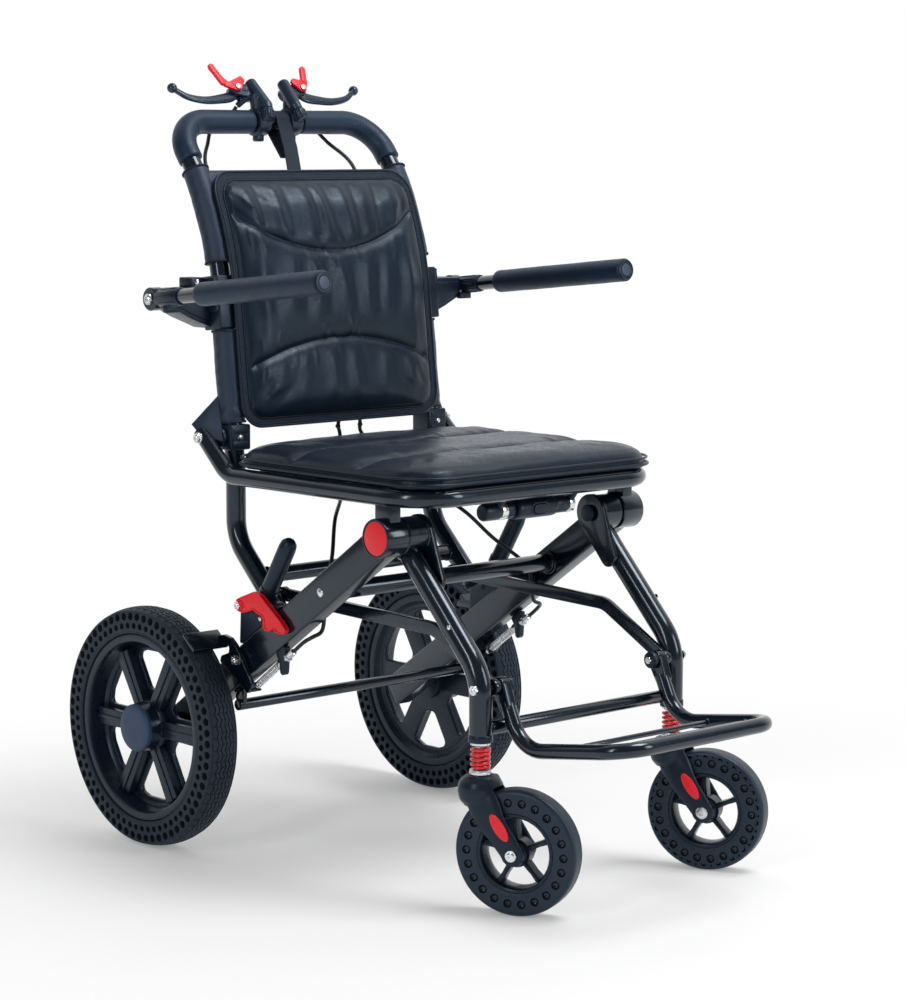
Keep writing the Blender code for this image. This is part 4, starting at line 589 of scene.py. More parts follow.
# The design's own measures
TYRE_R, WHEEL_X = 0.1525, 0.245
AXLE = Vector((0.255, TYRE_R))
HUB = Vector((-0.141, 0.429))
BEAM_IN, BEAM_OUT, BEAM_HALF = 0.180, 0.205, 0.020
BEAM_DIR = (AXLE - HUB).normalized()
BEAM_UP = Vector((-BEAM_DIR.y, BEAM_DIR.x))
BEAM_LENGTH = (AXLE - HUB).length
BEAM_FRAME = Matrix(((1, 0, 0, 0), (0, BEAM_DIR.x, BEAM_UP.x, HUB.x), (0, BEAM_DIR.y, BEAM_UP.y, HUB.y),
                     (0, 0, 0, 1)))
SEAT_Z, RAIL_X, RAIL_R = 0.477, 0.200, 0.011
SEAT_FRONT_Y, SEAT_CORNER_R = -0.202, 0.062
HINGE = Vector((0.199, 0.521))
TUBE_X, TUBE_R = 0.166, 0.0125
TUBE_Y, KNEE_Z, ARC_Z, ARC_R = 0.179, 0.480, 0.690, 0.400
BACK_SLOPE = math.radians(6.3)
BACK_LOW = Vector((0.098, 0.3135))
BEND_Z = 0.3935
MID_TUBE_Y = -0.030
HANDLE_Z, HANDLE_R = 0.913, 0.050
FOAM_LOW_Z = 0.864
LEG_X, LEG_R, LEG_Y = 0.162, 0.0135, -0.265
LINK_AXIS = Vector((-0.268, 0.262))
CASTER_R, TRAIL, CASTER_TURN = 0.0745, 0.048, 0.44
FORK_TOP_Z = 0.1617
FOOT_X, FOOT_R = 0.1308, 0.009
ARM_X, ARM_R = 0.252, 0.0095
ARM_PIVOT, ARM_FRONT = Vector((0.230, 0.6945)), Vector((-0.093, 0.727))
FOAM_REAR_Y = 0.139
BRAKE_PIVOT = Vector((0.124, 0.250))
HOOK_PIVOT = Vector((0.1154, 0.320))
HOOK_IN, HOOK_OUT = 0.2065, 0.2145
PLATE_IN, PLATE_OUT = 0.2065, 0.2125
PIN_HOLE_R, CABLE_R = 0.0043, 0.0025
LEVER_PIVOT = Vector((0.0545, 0.318, 0.952))
LEVER_AXIS = Vector((0, 0.853, -0.522)).normalized()


def beam_point(along, up=0.0):
    return HUB + BEAM_DIR * along + BEAM_UP * up


def beam_at(y, up=0.0):
    return beam_point((y - HUB.x - BEAM_UP.x * up) / BEAM_DIR.x, up)


def back_y(z):
    if z <= KNEE_Z:
        return TUBE_Y
    straight = TUBE_Y + math.tan(BACK_SLOPE) * (min(z, ARC_Z) - KNEE_Z)
    if z <= ARC_Z:
        return straight
    turned_to = math.asin(math.sin(BACK_SLOPE) + (z - ARC_Z) / ARC_R)
    return straight + ARC_R * (math.cos(BACK_SLOPE) - math.cos(turned_to))


HANDLE_Y = back_y(HANDLE_Z)


def slope_at(z, reach=0.004):
    return (back_y(z + reach) - back_y(z - reach)) / (2 * reach)


def back_run(x, low, high, step=0.006):
    count = max(2, round((high - low) / step))
    return [Vector((x, back_y(low + (high - low) * i / count), low + (high - low) * i / count))
            for i in range(count + 1)]


# Rear wheels
def wheel_frame(side):
    columns = ((0, 0, side), (1, 0, 0), (0, side, 0))
    turn = Matrix([(*row, 0) for row in columns] + [(0, 0, 0, 1)])
    return Matrix.Translation((side * WHEEL_X, AXLE.x, AXLE.y)) @ turn


def pitted_ring(bands, count, height_of, pit, seg=4, hole_seg=16):
    """A flat ring of cells in bands (r_in, r_out, hole_r_at, hole_radius, phase), each with a round pit."""
    skin, pits = [], []
    n = seg * 4
    for r_in, r_out, r_hole, hole, phase in bands:
        for i in range(count):
            base = TAU * (i + phase) / count
            width = TAU / count
            shares = [k / seg for k in range(seg)]
            edge = [(r_in, base - width / 2 + width * k) for k in shares]
            edge += [(r_in + (r_out - r_in) * k, base + width / 2) for k in shares]
            edge += [(r_out, base + width / 2 - width * k) for k in shares]
            edge += [(r_out - (r_out - r_in) * k, base - width / 2) for k in shares]
            around = []
            for k in range(hole_seg):
                t = TAU * (k - hole_seg / 8) / hole_seg - math.pi / 2
                x, y = r_hole + hole * math.sin(t), hole * math.cos(t)
                around.append((math.hypot(x, y), base + math.atan2(y, x)))
            points = [(r * math.cos(a), r * math.sin(a), height_of(r)) for r, a in edge + around]
            skin.append((np.array(points), walls(2, n, caps=False)))
            inner = np.array(points[n:])
            centre = np.array([r_hole * math.cos(base), r_hole * math.sin(base), 0])
            rings = [inner]
            for share, depth in pit:
                ring = (inner - centre) * (share, share, 1) + centre
                ring[:, 2] = inner[:, 2] - depth
                rings.append(ring)
            last = tuple(len(pit) * n + k for k in range(n))
            pits.append((np.concatenate(rings), walls(len(rings), n, caps=False) + [last]))
    return skin, pits


def tyre_tread(radius_of, grooves, pitches, cut_half, depth):
    """The tread: zigzag grooves round the tyre, and cross cuts that join them in turn."""
    width, ease = 0.0008, 0.00025
    rows = []
    lines = [-0.0160] + grooves + [0.0160]
    rows.append((-0.0178, -1, False))
    for k, h in enumerate(grooves):
        for offset, low in ((-width, False), (-width + ease, True), (width - ease, True), (width, False)):
            rows.append((h + offset, k, low))
        if k + 1 < len(grooves):
            rows.append(((h + grooves[k + 1]) / 2, k, False))
    rows.append((0.0178, len(lines), False))
    cuts = []
    for i in range(pitches):
        for share, cut in ((-cut_half, 0), (-cut_half * 0.6, 1), (cut_half * 0.6, 1), (cut_half, 0),
                           (0.25, 0), (0.5 - cut_half, 0), (0.5 - cut_half * 0.6, 2),
                           (0.5 + cut_half * 0.6, 2), (0.5 + cut_half, 0), (0.75, 0)):
            cuts.append((i + share, cut))
    points = []
    for j, (h, k, low) in enumerate(rows):
        for share, cut in cuts:
            place = share % 1.0
            zig = (1 - 4 * abs(place - 0.5)) * 0.0016 * (1 if 0 <= k < len(grooves) else 0)
            z = h + zig
            r = radius_of(abs(z))
            odd = (j // 5) % 2
            if low or (cut and 0 < j < len(rows) - 1 and (cut == 1) == bool(odd)):
                r -= depth
            angle = TAU * share / pitches
            points.append((r * math.cos(angle), r * math.sin(angle), z))
    return np.array(points), walls(len(rows), len(cuts), caps=False)


def rear_wheel(side):
    matrix = wheel_frame(side)
    body = f"rear_wheel_{NAME[side]}"

    def crown(h):
        return TYRE_R - 0.0022 * (h / 0.0178) ** 2 - 0.0016 * (h / 0.0178) ** 6

    def face_height(r):
        return 0.0216 - 0.0009 * max(0.0, (r - 0.130) / 0.0175) ** 2

    tread = tyre_tread(crown, [-0.0120, -0.0060, 0.0, 0.0060, 0.0120], 64, 0.05, 0.0013)
    pit = [(0.94, 0.0006), (0.90, 0.009), (0.6, 0.0115)]
    skin, pits = pitted_ring([(0.1238, 0.1352, 0.1296, 0.0040, 0.5), (0.1352, 0.1475, 0.1413, 0.0050, 0.0)],
                             64, face_height, pit)
    edge_r = crown(0.0178)
    shoulder = lathe([(0.1475, face_height(0.1475)), (0.1488, 0.0200), (0.1490, 0.0192), (0.1486, 0.0186),
                      (edge_r - 0.0006, 0.0182), (edge_r, 0.0177)], 256)
    lip = lathe([(0.1194, 0.0180), (0.1200, 0.0206), (0.1214, 0.0214), (0.1226, 0.0211), (0.1238, 0.0216)],
                256)
    inner = lathe([(0.1194, 0.0182), (0.1194, -0.0182)], 128)
    parts = [tread, inner] + both_faces(skin + [shoulder, lip])
    piece(f"tyre_{NAME[side]}", body, TYRE, [move(merged(parts), matrix)], [f"rear_tyre_{NAME[side]}"], 30,
          0.00003)
    # The pits carry the darker rubber: painted shade in the hollows.
    piece(f"tyre_hollows_{NAME[side]}", body, TREAD_PIT_SHADE, [move(merged(both_faces(pits)), matrix)],
          weld=0.00002)
    rim = lathe([
        (0.1190, 0.0172), (0.1182, 0.0190), (0.1165, 0.0193), (0.1118, 0.0193), (0.1096, 0.0188),
        (0.1084, 0.0170), (0.1076, 0.0130), (0.1060, 0.0060), (0.1040, -0.0020), (0.1006, -0.0052),
        (0.0985, -0.0060), (0.0985, -0.0112), (0.1040, -0.0126), (0.1075, -0.0168), (0.1088, -0.0186),
        (0.1118, -0.0190), (0.1165, -0.0190), (0.1184, -0.0186), (0.1190, -0.0168)], 160, ring=True)
    windows = []
    near, far = (math.pi / 6 - math.asin(0.0150 / r) for r in (0.0455, 0.0945))
    half = [(0.0455, near), (0.0945, far), (0.0945 * 1.014, far * 0.45)]
    for i in range(6):
        mid = TAU * (i + 0.5) / 6
        xy = [(r * math.cos(mid + a), r * math.sin(mid + a))
              for r, a in [(r, -a) for r, a in half] + half[::-1]]
        windows.append(round_outline(xy, 0.0105, math.radians(9)))
    web = prism([circle((0, 0), 0.1000, 160)] + windows, -0.0118, -0.0050, None, 0.0014, 3)
    spokes = []
    for i in range(6):
        turn = Matrix.Rotation(TAU * i / 6, 4, "Z")
        foot = [(0.0240, -0.0098), (0.0300, -0.0100), (0.1015, -0.0118), (0.1015, 0.0118),
                (0.0300, 0.0100), (0.0240, 0.0098)]
        spokes.append(prism(foot, -0.0080, 0.0076, turn, 0.0010, 3))
        rib = [(0.0280, -0.0020), (0.1025, -0.0026), (0.1025, 0.0026), (0.0280, 0.0020)]
        spokes.append(prism(rib, 0.0040, 0.0094, turn, 0.0010, 2))
    hub = lathe([(0.0, -0.0186), (0.0240, -0.0186), (0.0252, -0.0178), (0.0262, -0.0120), (0.0330, -0.0100),
                 (0.0345, 0.0040), (0.0330, 0.0066), (0.0316, 0.0080), (0.0308, 0.0180), (0.0304, 0.0222),
                 (0.0290, 0.0228), (0, 0.0228)], 96)
    piece(f"rim_{NAME[side]}", body, RIM_PLASTIC, [move(merged([rim, web, *spokes, hub]), matrix)],
          [f"rear_rim_{NAME[side]}"], 28)
    cap = lathe([(0.0302, 0.0200), (0.0306, 0.0222), (0.0303, 0.0252), (0.0292, 0.0270), (0.0270, 0.0276),
                 (0.0180, 0.0279), (0, 0.0280)], 96, matrix)
    piece(f"hub_cap_{NAME[side]}", body, CAP_PLASTIC, [cap], angle=45)


for SIDE in SIDES:
    rear_wheel(SIDE)


# Chassis
def chassis_side(side):
    name = NAME[side]
    s = side
    beam = block((s * BEAM_IN, -0.004, -BEAM_HALF), (s * BEAM_OUT, BEAM_LENGTH + 0.025, BEAM_HALF), 0.0028,
                 BEAM_FRAME, 4)
    hub_profile = [(0, BEAM_IN + 0.001), (0.0220, BEAM_IN + 0.001), (0.0235, BEAM_IN + 0.0022),
                   (0.0235, 0.2138), (0.0229, 0.2150), (0.0216, 0.2153), (0.0212, 0.2146), (0, 0.2146)]
    hub = lathe(hub_profile, 64, outwards(s, 0, HUB))
    lug = block((s * 0.187, HUB.x - 0.014, HUB.y), (s * 0.2035, HUB.x + 0.014, SEAT_Z - RAIL_R + 0.003),
                0.0015)
    weld = weld_bead([(s * (0.193 + 0.0108 * math.cos(a)), HUB.x + 0.0165 * math.sin(a), 0.4672)
                      for a in angles(40)], 0.0014, 26, 0.18, 10)
    stub = x_rod(s * (BEAM_OUT - 0.005), s * 0.2650, AXLE, 0.006)
    collar = lathe([(0.006, 0), (0.0115, 0), (0.0125, 0.001), (0.0118, 0.0070), (0.0100, 0.0085),
                    (0.006, 0.0085)], 40, outwards(s, 0.2048, AXLE))
    end_cap = block((-0.0118, -0.0004, -0.0192), (0.0118, 0.0022, 0.0192), 0.0009,
                    Matrix.Translation((s * 0.1925, 0, 0)) @ BEAM_FRAME @ Matrix.Translation(
                        (0, BEAM_LENGTH + 0.0232, 0)))
    piece(f"beam_{name}", "chassis", PAINT, [beam, hub, lug, weld, collar, stub,
                                             x_rod(s * 0.1385, s * 0.190, HUB, 0.008)], [f"side_beam_{name}"])
    disc = lathe([(0.0204, -0.0012), (0.0200, -0.0002), (0.0188, 0.0002), (0, 0.0002)], 64,
                 outwards(s, 0.2148, HUB))
    ring = lathe([(0.0206, 0), (0.0209, 0.0004), (0.0222, 0.0004), (0.0226, 0)], 64, outwards(s, 0.2149, HUB))
    piece(f"hub_disc_{name}", "chassis", RED if s < 0 else PLASTIC, [disc])
    stud = x_rod(s * 0.1360, s * 0.1388, HUB, 0.0105)
    piece(f"beam_trim_{name}", "chassis", PLASTIC, [end_cap, ring, stud])
    bolts = hexagon((s * (PLATE_OUT + 0.0004), *BRAKE_PIVOT), (s, 0, 0), 0.0068, 0.0034, 0.0016, 0.2)
    bolts.append(x_rod(s * 0.2042, s * 0.2068, BRAKE_PIVOT, 0.0062, 24))
    for along in (0.335, 0.385):
        bolts.append(screw_head((s * BEAM_OUT, *beam_point(along)), (s, 0, 0), 0.0042, 0.0008, 0.0026, 0.0017,
                                0.0020))
    bolts.append(screw_head((s * BEAM_OUT, *beam_at(MID_TUBE_Y)), (s, 0, 0), 0.0056, 0.0010, 0.0036, 0.0022,
                            0.0026))
    piece(f"beam_bolts_{name}", "chassis", STEEL, bolts)


def cross_tubes():
    end = BEAM_IN - 0.0003
    mid_at, rear_at = beam_at(MID_TUBE_Y), Vector((0.140, 0.189))
    parts = [x_rod(-end, end, mid_at, 0.011, 40)]
    for s in SIDES:
        parts.append(x_rod(s * (end - 0.003), s * end, mid_at, 0.0155, 40, 0.001))
        parts.append(cross_bead(s * (end - 0.0036), mid_at, 0.0112, 0.0013, 22, 48))
    piece("middle_tube", "chassis", PAINT, parts, ["mid_cross_tube"])
    parts = [x_rod(-0.197, 0.197, rear_at, 0.007, 32)]
    for s in SIDES:
        outline = [tuple(rear_at + Vector((-0.0065, -0.003))), tuple(rear_at + Vector((0.0065, -0.003))),
                   tuple(beam_at(0.149, -BEAM_HALF - 0.0003)), tuple(beam_at(0.131, -BEAM_HALF - 0.0003))]
        parts.append(plate(round_outline(outline, 0.003), s * 0.1875, s * 0.1935, 0.0008))
    piece("rear_tube", "chassis", PAINT, parts, ["rear_cross_tube"])


def seat():
    half = [Vector((-RAIL_X, HINGE.x + 0.007, HINGE.y + 0.0063)), Vector((-RAIL_X, 0.150, SEAT_Z)),
            Vector((-RAIL_X, SEAT_FRONT_Y, SEAT_Z))]
    corners = half + [Vector((-p.x, p.y, p.z)) for p in half[::-1]]
    path = rounded(corners, [0.040, SEAT_CORNER_R, SEAT_CORNER_R, 0.040])

    def flattened(t, angle):
        edge = min(t, 1 - t) / 0.012
        return 1 - 0.10 * max(0.0, 1 - edge)

    parts = [sweep(path, RAIL_R, 32, flattened, up=(0, 0, 1))]
    for s in SIDES:
        parts.append(x_rod(s * 0.183, s * 0.2000, HINGE, 0.004))
    piece("seat_tube", "chassis", PAINT, parts, ["seat_frame"])
    bolts = []
    for s in SIDES:
        bolts += hexagon((s * (RAIL_X + RAIL_R - 0.0012), *HINGE), (s, 0, 0), 0.0066, 0.0036, 0.0014)
        bolts += [rod((s * (RAIL_X + RAIL_R - 0.0022), *HINGE), (s * (RAIL_X + RAIL_R - 0.0008), *HINGE),
                      0.0076, 28)]
    piece("seat_hinge_bolts", "chassis", STEEL, bolts)


def release_grip():
    at = Vector((-0.182, 0.452))
    bar = Vector((SEAT_FRONT_Y, SEAT_Z))
    end = bar - (bar - at).normalized() * (RAIL_R - 0.001)
    frame_x = outwards(1, 0, at)
    grips = [lathe([(0, a), (0.0085, a), (0.0098, a + 0.001), (0.0104, a + 0.003), (0.0104, b - 0.003),
                    (0.0098, b - 0.001), (0.0088, b), (0, b)], 36, frame_x)
             for a, b in ((-0.083, -0.0575), (-0.0465, -0.0335), (0.0335, 0.0555))]
    stays = [rod((s * 0.060, *at), (s * 0.060, *end), 0.005, 20) for s in SIDES]
    piece("release_grips", "chassis", PLASTIC, grips + stays)
    bands = [lathe([(0, a), (0.0086, a), (0.0104, a + 0.0008), (0.0108, a + 0.0020), (0.0108, b - 0.0020),
                    (0.0104, b - 0.0008), (0.0086, b), (0, b)], 36, frame_x)
             for a, b in ((-0.0575, -0.0465), (0.0555, 0.0655))]
    bands.append(x_rod(-0.074, 0.064, at, 0.0080))
    piece("release_bar", "chassis", STEEL, bands, ["release_handle"])
    deep, tall, sides = 0.0155, 0.0125, 40
    ends = [(0.0330, 0.84), (0.0327, 0.90), (0.0315, 0.96), (0.0290, 0.99), (0.0250, 1.0)]
    stations = [(-x, grow) for x, grow in ends] + [(0.0, 1.0)] + ends[::-1]
    points = [(x, at.x + deep * grow * math.cos(a), at.y + tall * grow * math.sin(a))
              for x, grow in stations for a in angles(sides)]
    housing = (np.array(points), walls(len(stations), sides))
    face = Matrix.Translation((0, at.x - deep, at.y)) @ Matrix.Rotation(math.radians(90), 4, "X")

    def stadium(half_length, radius):
        return [(x + half_length - radius, y) for x, y in arc((0, 0), radius, -90, 90, 14)] + \
               [(x - half_length + radius, y) for x, y in arc((0, 0), radius, 90, 270, 14)]

    bezel = prism([stadium(0.0150, 0.0080), stadium(0.0121, 0.0061)], -0.0022, 0.0004, face, 0.0006)
    piece("release_shell", "chassis", PLASTIC, [housing, bezel], ["release_housing"])
    piece("release_key", "release_button", PLASTIC, [prism(stadium(0.0115, 0.0055), -0.0014, 0.0016, face,
                                                           0.0006, 3)], ["release_button"])


def latch(side):
    s, name = side, NAME[side]
    seat_up = BEAM_HALF + 0.0003
    outline = [beam_at(0.050, seat_up), beam_at(0.1262, seat_up), (0.1235, 0.318), (0.1175, 0.3285),
               (0.108, 0.3305), (0.074, 0.333), (0.068, 0.328), (0.062, 0.3275), (0.056, 0.3235),
               (0.0495, 0.3245)]
    body_plate = plate(round_outline([tuple(p) for p in outline], 0.003), s * 0.1860, s * 0.2045, 0.0012, 3)
    post_x = s * 0.1945
    low, high = Vector((post_x, 0.102, 0.303)), Vector((post_x, 0.038, 0.407))
    post = sweep([low.lerp(high, t) for t in (0, 0.06, 0.45, 0.52, 0.56, 0.9, 0.96, 0.99, 1.0)], 0.011, 32,
                 lambda t, a: 1.0 if t < 0.9 else (1 - 0.5 * ((t - 0.9) / 0.1) ** 3))
    along = (high - low).normalized()
    collar = sweep([low + along * d for d in (0.040, 0.0405, 0.0470, 0.0475)], 0.0122, 32)
    piece(f"latch_block_{name}", "chassis", PLASTIC, [body_plate, post, collar],
          [f"latch_bracket_{name}"])
    bolts = hexagon((s * (HOOK_OUT + 0.0005), *HOOK_PIVOT), (s, 0, 0), 0.0060, 0.0028, 0.0014)
    catch = Vector((0.0732, 0.3080))
    bolts += [x_rod(s * 0.200, s * (HOOK_OUT + 0.0010), catch, 0.0028, 20),
              x_rod(s * 0.200, s * (HOOK_OUT + 0.0008), HOOK_PIVOT, 0.004, 20)]
    piece(f"latch_pins_{name}", "chassis", STEEL, bolts)
    hook = [(0.1235, 0.3215), (0.1190, 0.3275), (0.1100, 0.3315), (0.1015, 0.3345), (0.0859, 0.3405),
            (0.0743, 0.3375), (0.0589, 0.3262), (0.0342, 0.3088), (0.0257, 0.3000), (0.0280, 0.2950),
            (0.0340, 0.2930), (0.0438, 0.2945), (0.0495, 0.2985), (0.0573, 0.2935), (0.0655, 0.2950),
            (0.0695, 0.3000), (0.0680, 0.3080), (0.0720, 0.3125), (0.0784, 0.3135), (0.0880, 0.3175),
            (0.0978, 0.3140), (0.1096, 0.3110), (0.1190, 0.3130)]
    hook = round_outline(hook, 0.004, math.radians(8))
    slab = plate([hook, circle(HOOK_PIVOT, PIN_HOLE_R)], s * HOOK_IN, s * (HOOK_OUT - 0.0012), 0.0008, 3)
    rim = plate([hook, inset(hook, 0.0022)], s * (HOOK_IN + 0.004), s * HOOK_OUT, 0.0006, 2)
    boss = lathe([(PIN_HOLE_R, 0), (0.0074, 0), (0.0070, 0.0019), (PIN_HOLE_R, 0.0022)], 32,
                 outwards(s, HOOK_OUT - 0.0018, HOOK_PIVOT))
    piece(f"hook_{name}", f"latch_hook_{name}", RED, [slab, rim, boss], [f"latch_hook_{name}"], 30)


def inset(outline, by):
    """The outline moved inwards by a distance, points kept apart from sharp folds."""
    points = [Vector(p) for p in outline]
    area = sum(a.x * b.y - b.x * a.y for a, b in zip(points, points[1:] + points[:1]))
    sign = 1 if area > 0 else -1
    made = []
    for before, here, after in zip(points[-1:] + points[:-1], points, points[1:] + points[:1]):
        along = (after - before).normalized()
        made.append(here + Vector((-along.y, along.x)) * by * sign)
    kept = []
    for i, p in enumerate(made):
        if all((p - q).length > by * 0.93 for q in points) and (not kept or (p - kept[-1]).length > 2e-4):
            kept.append(p)
    return [tuple(p) for p in kept]


CABLE_END, ARM_TAB = Vector((0.0300, 0.2690)), Vector((0.0990, 0.2185))
PULL = (ARM_TAB - CABLE_END).normalized()


def brake_side(side):
    s, name = side, NAME[side]
    middle = s * 0.2000
    seat_low = -BEAM_HALF - 0.0003
    outline = [beam_at(0.0370, seat_low), (0.0385, 0.2640), (0.0400, 0.2440), (0.0430, 0.2400),
               (0.0475, 0.2430), (0.0490, 0.2560), beam_at(0.0560, seat_low)]

    def on_pull(distance):
        at = CABLE_END + PULL * distance
        return Vector((middle, at.x, at.y))

    pull3 = Vector((0, PULL.x, PULL.y))
    bracket = plate(round_outline([tuple(p) for p in outline], 0.003), s * 0.1955, s * 0.2045, 0.0008)
    piece(f"cable_stop_{name}", "chassis", PLASTIC, [bracket], [f"brake_bracket_{name}"])
    adjuster = [rod(on_pull(0.0002), on_pull(0.0275), 0.0035, 24)]
    for d in range(11):
        adjuster.append(rod(on_pull(0.0126 + d * 0.0010), on_pull(0.0131 + d * 0.0010), 0.0039, 20, 0.0001))
    adjuster += hexagon(on_pull(0.0070), pull3, 0.0058, 0.0050)
    adjuster += hexagon(on_pull(0.0245), pull3, 0.0056, 0.0040)
    adjuster.append(lathe([(0.0026, -0.006), (0.0040, -0.0055), (0.0044, -0.003), (0.0044, 0.004),
                           (0.0036, 0.0046)], 24, at_along(on_pull(0.0004), pull3)))
    piece(f"cable_adjuster_{name}", "chassis", STEEL, adjuster)
    start, end = on_pull(0.0292), on_pull((ARM_TAB - CABLE_END).length - 0.0042)
    coil = sweep(helix(start, end, 0.0043, 19, 14), 0.00065, 8)
    hooks = [rod(on_pull(0.0280), end + pull3 * 0.0004, 0.0009, 12, 0.0002)]
    piece(f"return_spring_{name}", "chassis", STEEL, [coil] + hooks, [f"brake_spring_{name}"])
    arm_body = f"brake_arm_{name}"
    outline = [(0.1740, 0.2665), (0.1700, 0.2745), (0.1480, 0.2790), (0.1349, 0.2765), (0.1251, 0.2690),
               (0.1150, 0.2560), (0.0920, 0.2225), (0.1010, 0.2100), (0.1110, 0.2180), (0.1350, 0.2330),
               (0.1560, 0.2440), (0.1530, 0.2520), (0.1380, 0.2575), (0.1370, 0.2660), (0.1480, 0.2675)]
    arm = plate([round_outline(outline, 0.0035), circle(BRAKE_PIVOT, PIN_HOLE_R)], s * PLATE_IN,
                s * PLATE_OUT, 0.0008, 3)
    toward = (Vector((0.158, 0.2702)) - AXLE).normalized()
    centre = AXLE + toward * (TYRE_R + 0.0015 + 0.002)
    shoe_frame = Matrix.Translation((0, centre.x, centre.y)) @ Matrix((
        (1, 0, 0, 0), (0, -toward.y, toward.x, 0), (0, toward.x, toward.y, 0), (0, 0, 0, 1)))
    shoe = block((s * (PLATE_IN + 0.001), -0.014, -0.002), (s * 0.262, 0.014, 0.002), 0.0007, shoe_frame)
    knurl = [block((s * x, -0.0132, -0.0026), (s * (x + 0.0035), 0.0132, -0.0016), 0.0003, shoe_frame, 1)
             for x in [0.2200 + i * 0.0075 for i in range(6)]]
    tab_frame = Matrix.Translation((0, ARM_TAB.x, ARM_TAB.y)) @ Matrix((
        (1, 0, 0, 0), (0, PULL.x, -PULL.y, 0), (0, PULL.y, PULL.x, 0), (0, 0, 0, 1)))
    tab = block((s * 0.1950, -0.0015, -0.006), (s * (PLATE_IN + 0.002), 0.0015, 0.006), 0.0006, tab_frame)
    piece(f"brake_plate_{name}", arm_body, PAINT, [arm, shoe, *knurl, tab], [f"brake_arm_{name}"], 30)
    clamp = Vector((s * 0.2000, ARM_TAB.x, ARM_TAB.y)) + pull3 * 0.0016
    piece(f"cable_clamp_{name}", arm_body, STEEL, hexagon(clamp, pull3, 0.0050, 0.0040, 0.0012))


CABLE_X = {-1: 0.020, 1: 0.058}
FERRULE_END = Vector((0.0500, 0.3175, 0.9330))
FERRULE_DIR = Vector((0.55, 0.35, -0.75)).normalized()


def cables(side):
    name = NAME[side]
    start = Vector((CABLE_X[side], HINGE.x, HINGE.y - 0.0002))
    under_seat = {
        -1: [(0.004, 0.176, 0.478), (-0.055, 0.105, 0.447), (-0.120, 0.042, 0.425), (-0.152, 0.010, 0.387)],
        1: [(0.070, 0.160, 0.470), (0.092, 0.098, 0.440), (0.112, 0.056, 0.415), (0.142, 0.034, 0.380)],
    }[side]
    end = [(0.1700, 0.000, 0.345), (0.1755, -0.003, 0.318), (0.1800, -0.003, 0.2985),
           (0.1930, -0.0010, 0.2925), (0.1995, 0.0090, 0.2850)]
    points = [start, start + Vector((0, -0.004, -0.012))] + [Vector(p) for p in under_seat]
    points += [Vector((side * x, y, z)) for x, y, z in end]
    points.append(Vector((side * 0.2000, CABLE_END.x, CABLE_END.y)))
    low = [sweep(smooth(points, 0.004), CABLE_R, 16), ball(start, 0.0034)]
    end = Vector((CABLE_X[side], HINGE.x, HINGE.y + 0.0002))
    first = FERRULE_END + FERRULE_DIR * 0.0003
    points = [first, first + FERRULE_DIR * 0.010]
    points += [(0.078, 0.3285, 0.915), (0.100, 0.314, 0.888), (0.124, 0.286, 0.853),
               (0.112, 0.2420, 0.780), (0.082, 0.2170, 0.700), (0.050, 0.2050, 0.620)]
    points = [Vector((side * p[0], p[1], p[2])) for p in points]
    points += [end.lerp(points[-1], 0.4) + Vector((0, 0.003, 0)), end + Vector((0, 0.0010, 0.014)), end]
    high = sweep(smooth(points, 0.004), CABLE_R, 16)
    piece(f"lower_cable_{name}", "chassis", CABLE, low, [f"brake_cable_lower_{name}"])
    piece(f"upper_cable_{name}", "backrest", CABLE, [high], [f"brake_cable_upper_{name}"])


for SIDE in SIDES:
    chassis_side(SIDE)
    latch(SIDE)
    brake_side(SIDE)
    cables(SIDE)
cross_tubes()
seat()
release_grip()


# Soft and melted forms
def plain_object(part):
    mesh = bpy.data.meshes.new("form")
    mesh.from_pydata(np.asarray(part[0], float).tolist(), [], part[1])
    obj = bpy.data.objects.new("form", mesh)
    bpy.context.scene.collection.objects.link(obj)
    return obj


def taken(obj):
    """The object's shape with its modifiers applied, as a part. The object itself goes."""
    mesh = bpy.data.meshes.new_from_object(obj.evaluated_get(bpy.context.evaluated_depsgraph_get()))
    points = np.empty(len(mesh.vertices) * 3)
    mesh.vertices.foreach_get("co", points)
    faces = [tuple(p.vertices) for p in mesh.polygons]
    bpy.data.meshes.remove(mesh)
    data = obj.data
    bpy.data.objects.remove(obj)
    bpy.data.meshes.remove(data)
    return points.reshape(-1, 3), faces


def melted(obj, voxel, rounds):
    """The object's shape, melted into one moulding with soft inner corners."""
    melt = obj.modifiers.new("melt", "REMESH")
    melt.mode, melt.voxel_size = "VOXEL", voxel
    if rounds:
        soften = obj.modifiers.new("soften", "SMOOTH")
        soften.factor, soften.iterations = 0.5, rounds
    return taken(obj)


def fused(parts, voxel, rounds):
    """Closed parts that overlap, melted into one."""
    return melted(plain_object(merged(list(flat_list(parts)))), voxel, rounds)


def puffed(part, voxel=0.005, pressure=4.0, cap=0.0014, refine=2):
    """A pad's form blown up by its stuffing in a cloth simulation, by the cap at most, then refined."""
    points, faces = melted(plain_object(part), voxel, 0)
    obj = plain_object((points, faces))
    sewn = obj.vertex_groups.new(name="sewn")
    sewn.add([i for i, p in enumerate(points) if p[2] < voxel * 0.6], 1.0, "REPLACE")
    cloth = obj.modifiers.new("stuffing", "CLOTH")
    cloth.settings.vertex_group_mass = "sewn"
    cloth.settings.use_pressure = True
    cloth.settings.uniform_pressure_force = pressure
    cloth.settings.effector_weights.gravity = 0
    for step in range(1, 21):
        bpy.context.scene.frame_set(step)
    shift = taken(obj)[0] - points
    bpy.context.scene.frame_set(1)
    length = np.linalg.norm(shift, axis=1, keepdims=True)
    points = points + shift * np.minimum(1.0, cap / np.maximum(length, 1e-9))
    obj = plain_object((points, faces))
    finer = obj.modifiers.new("finer", "SUBSURF")
    finer.levels = refine
    return taken(obj)


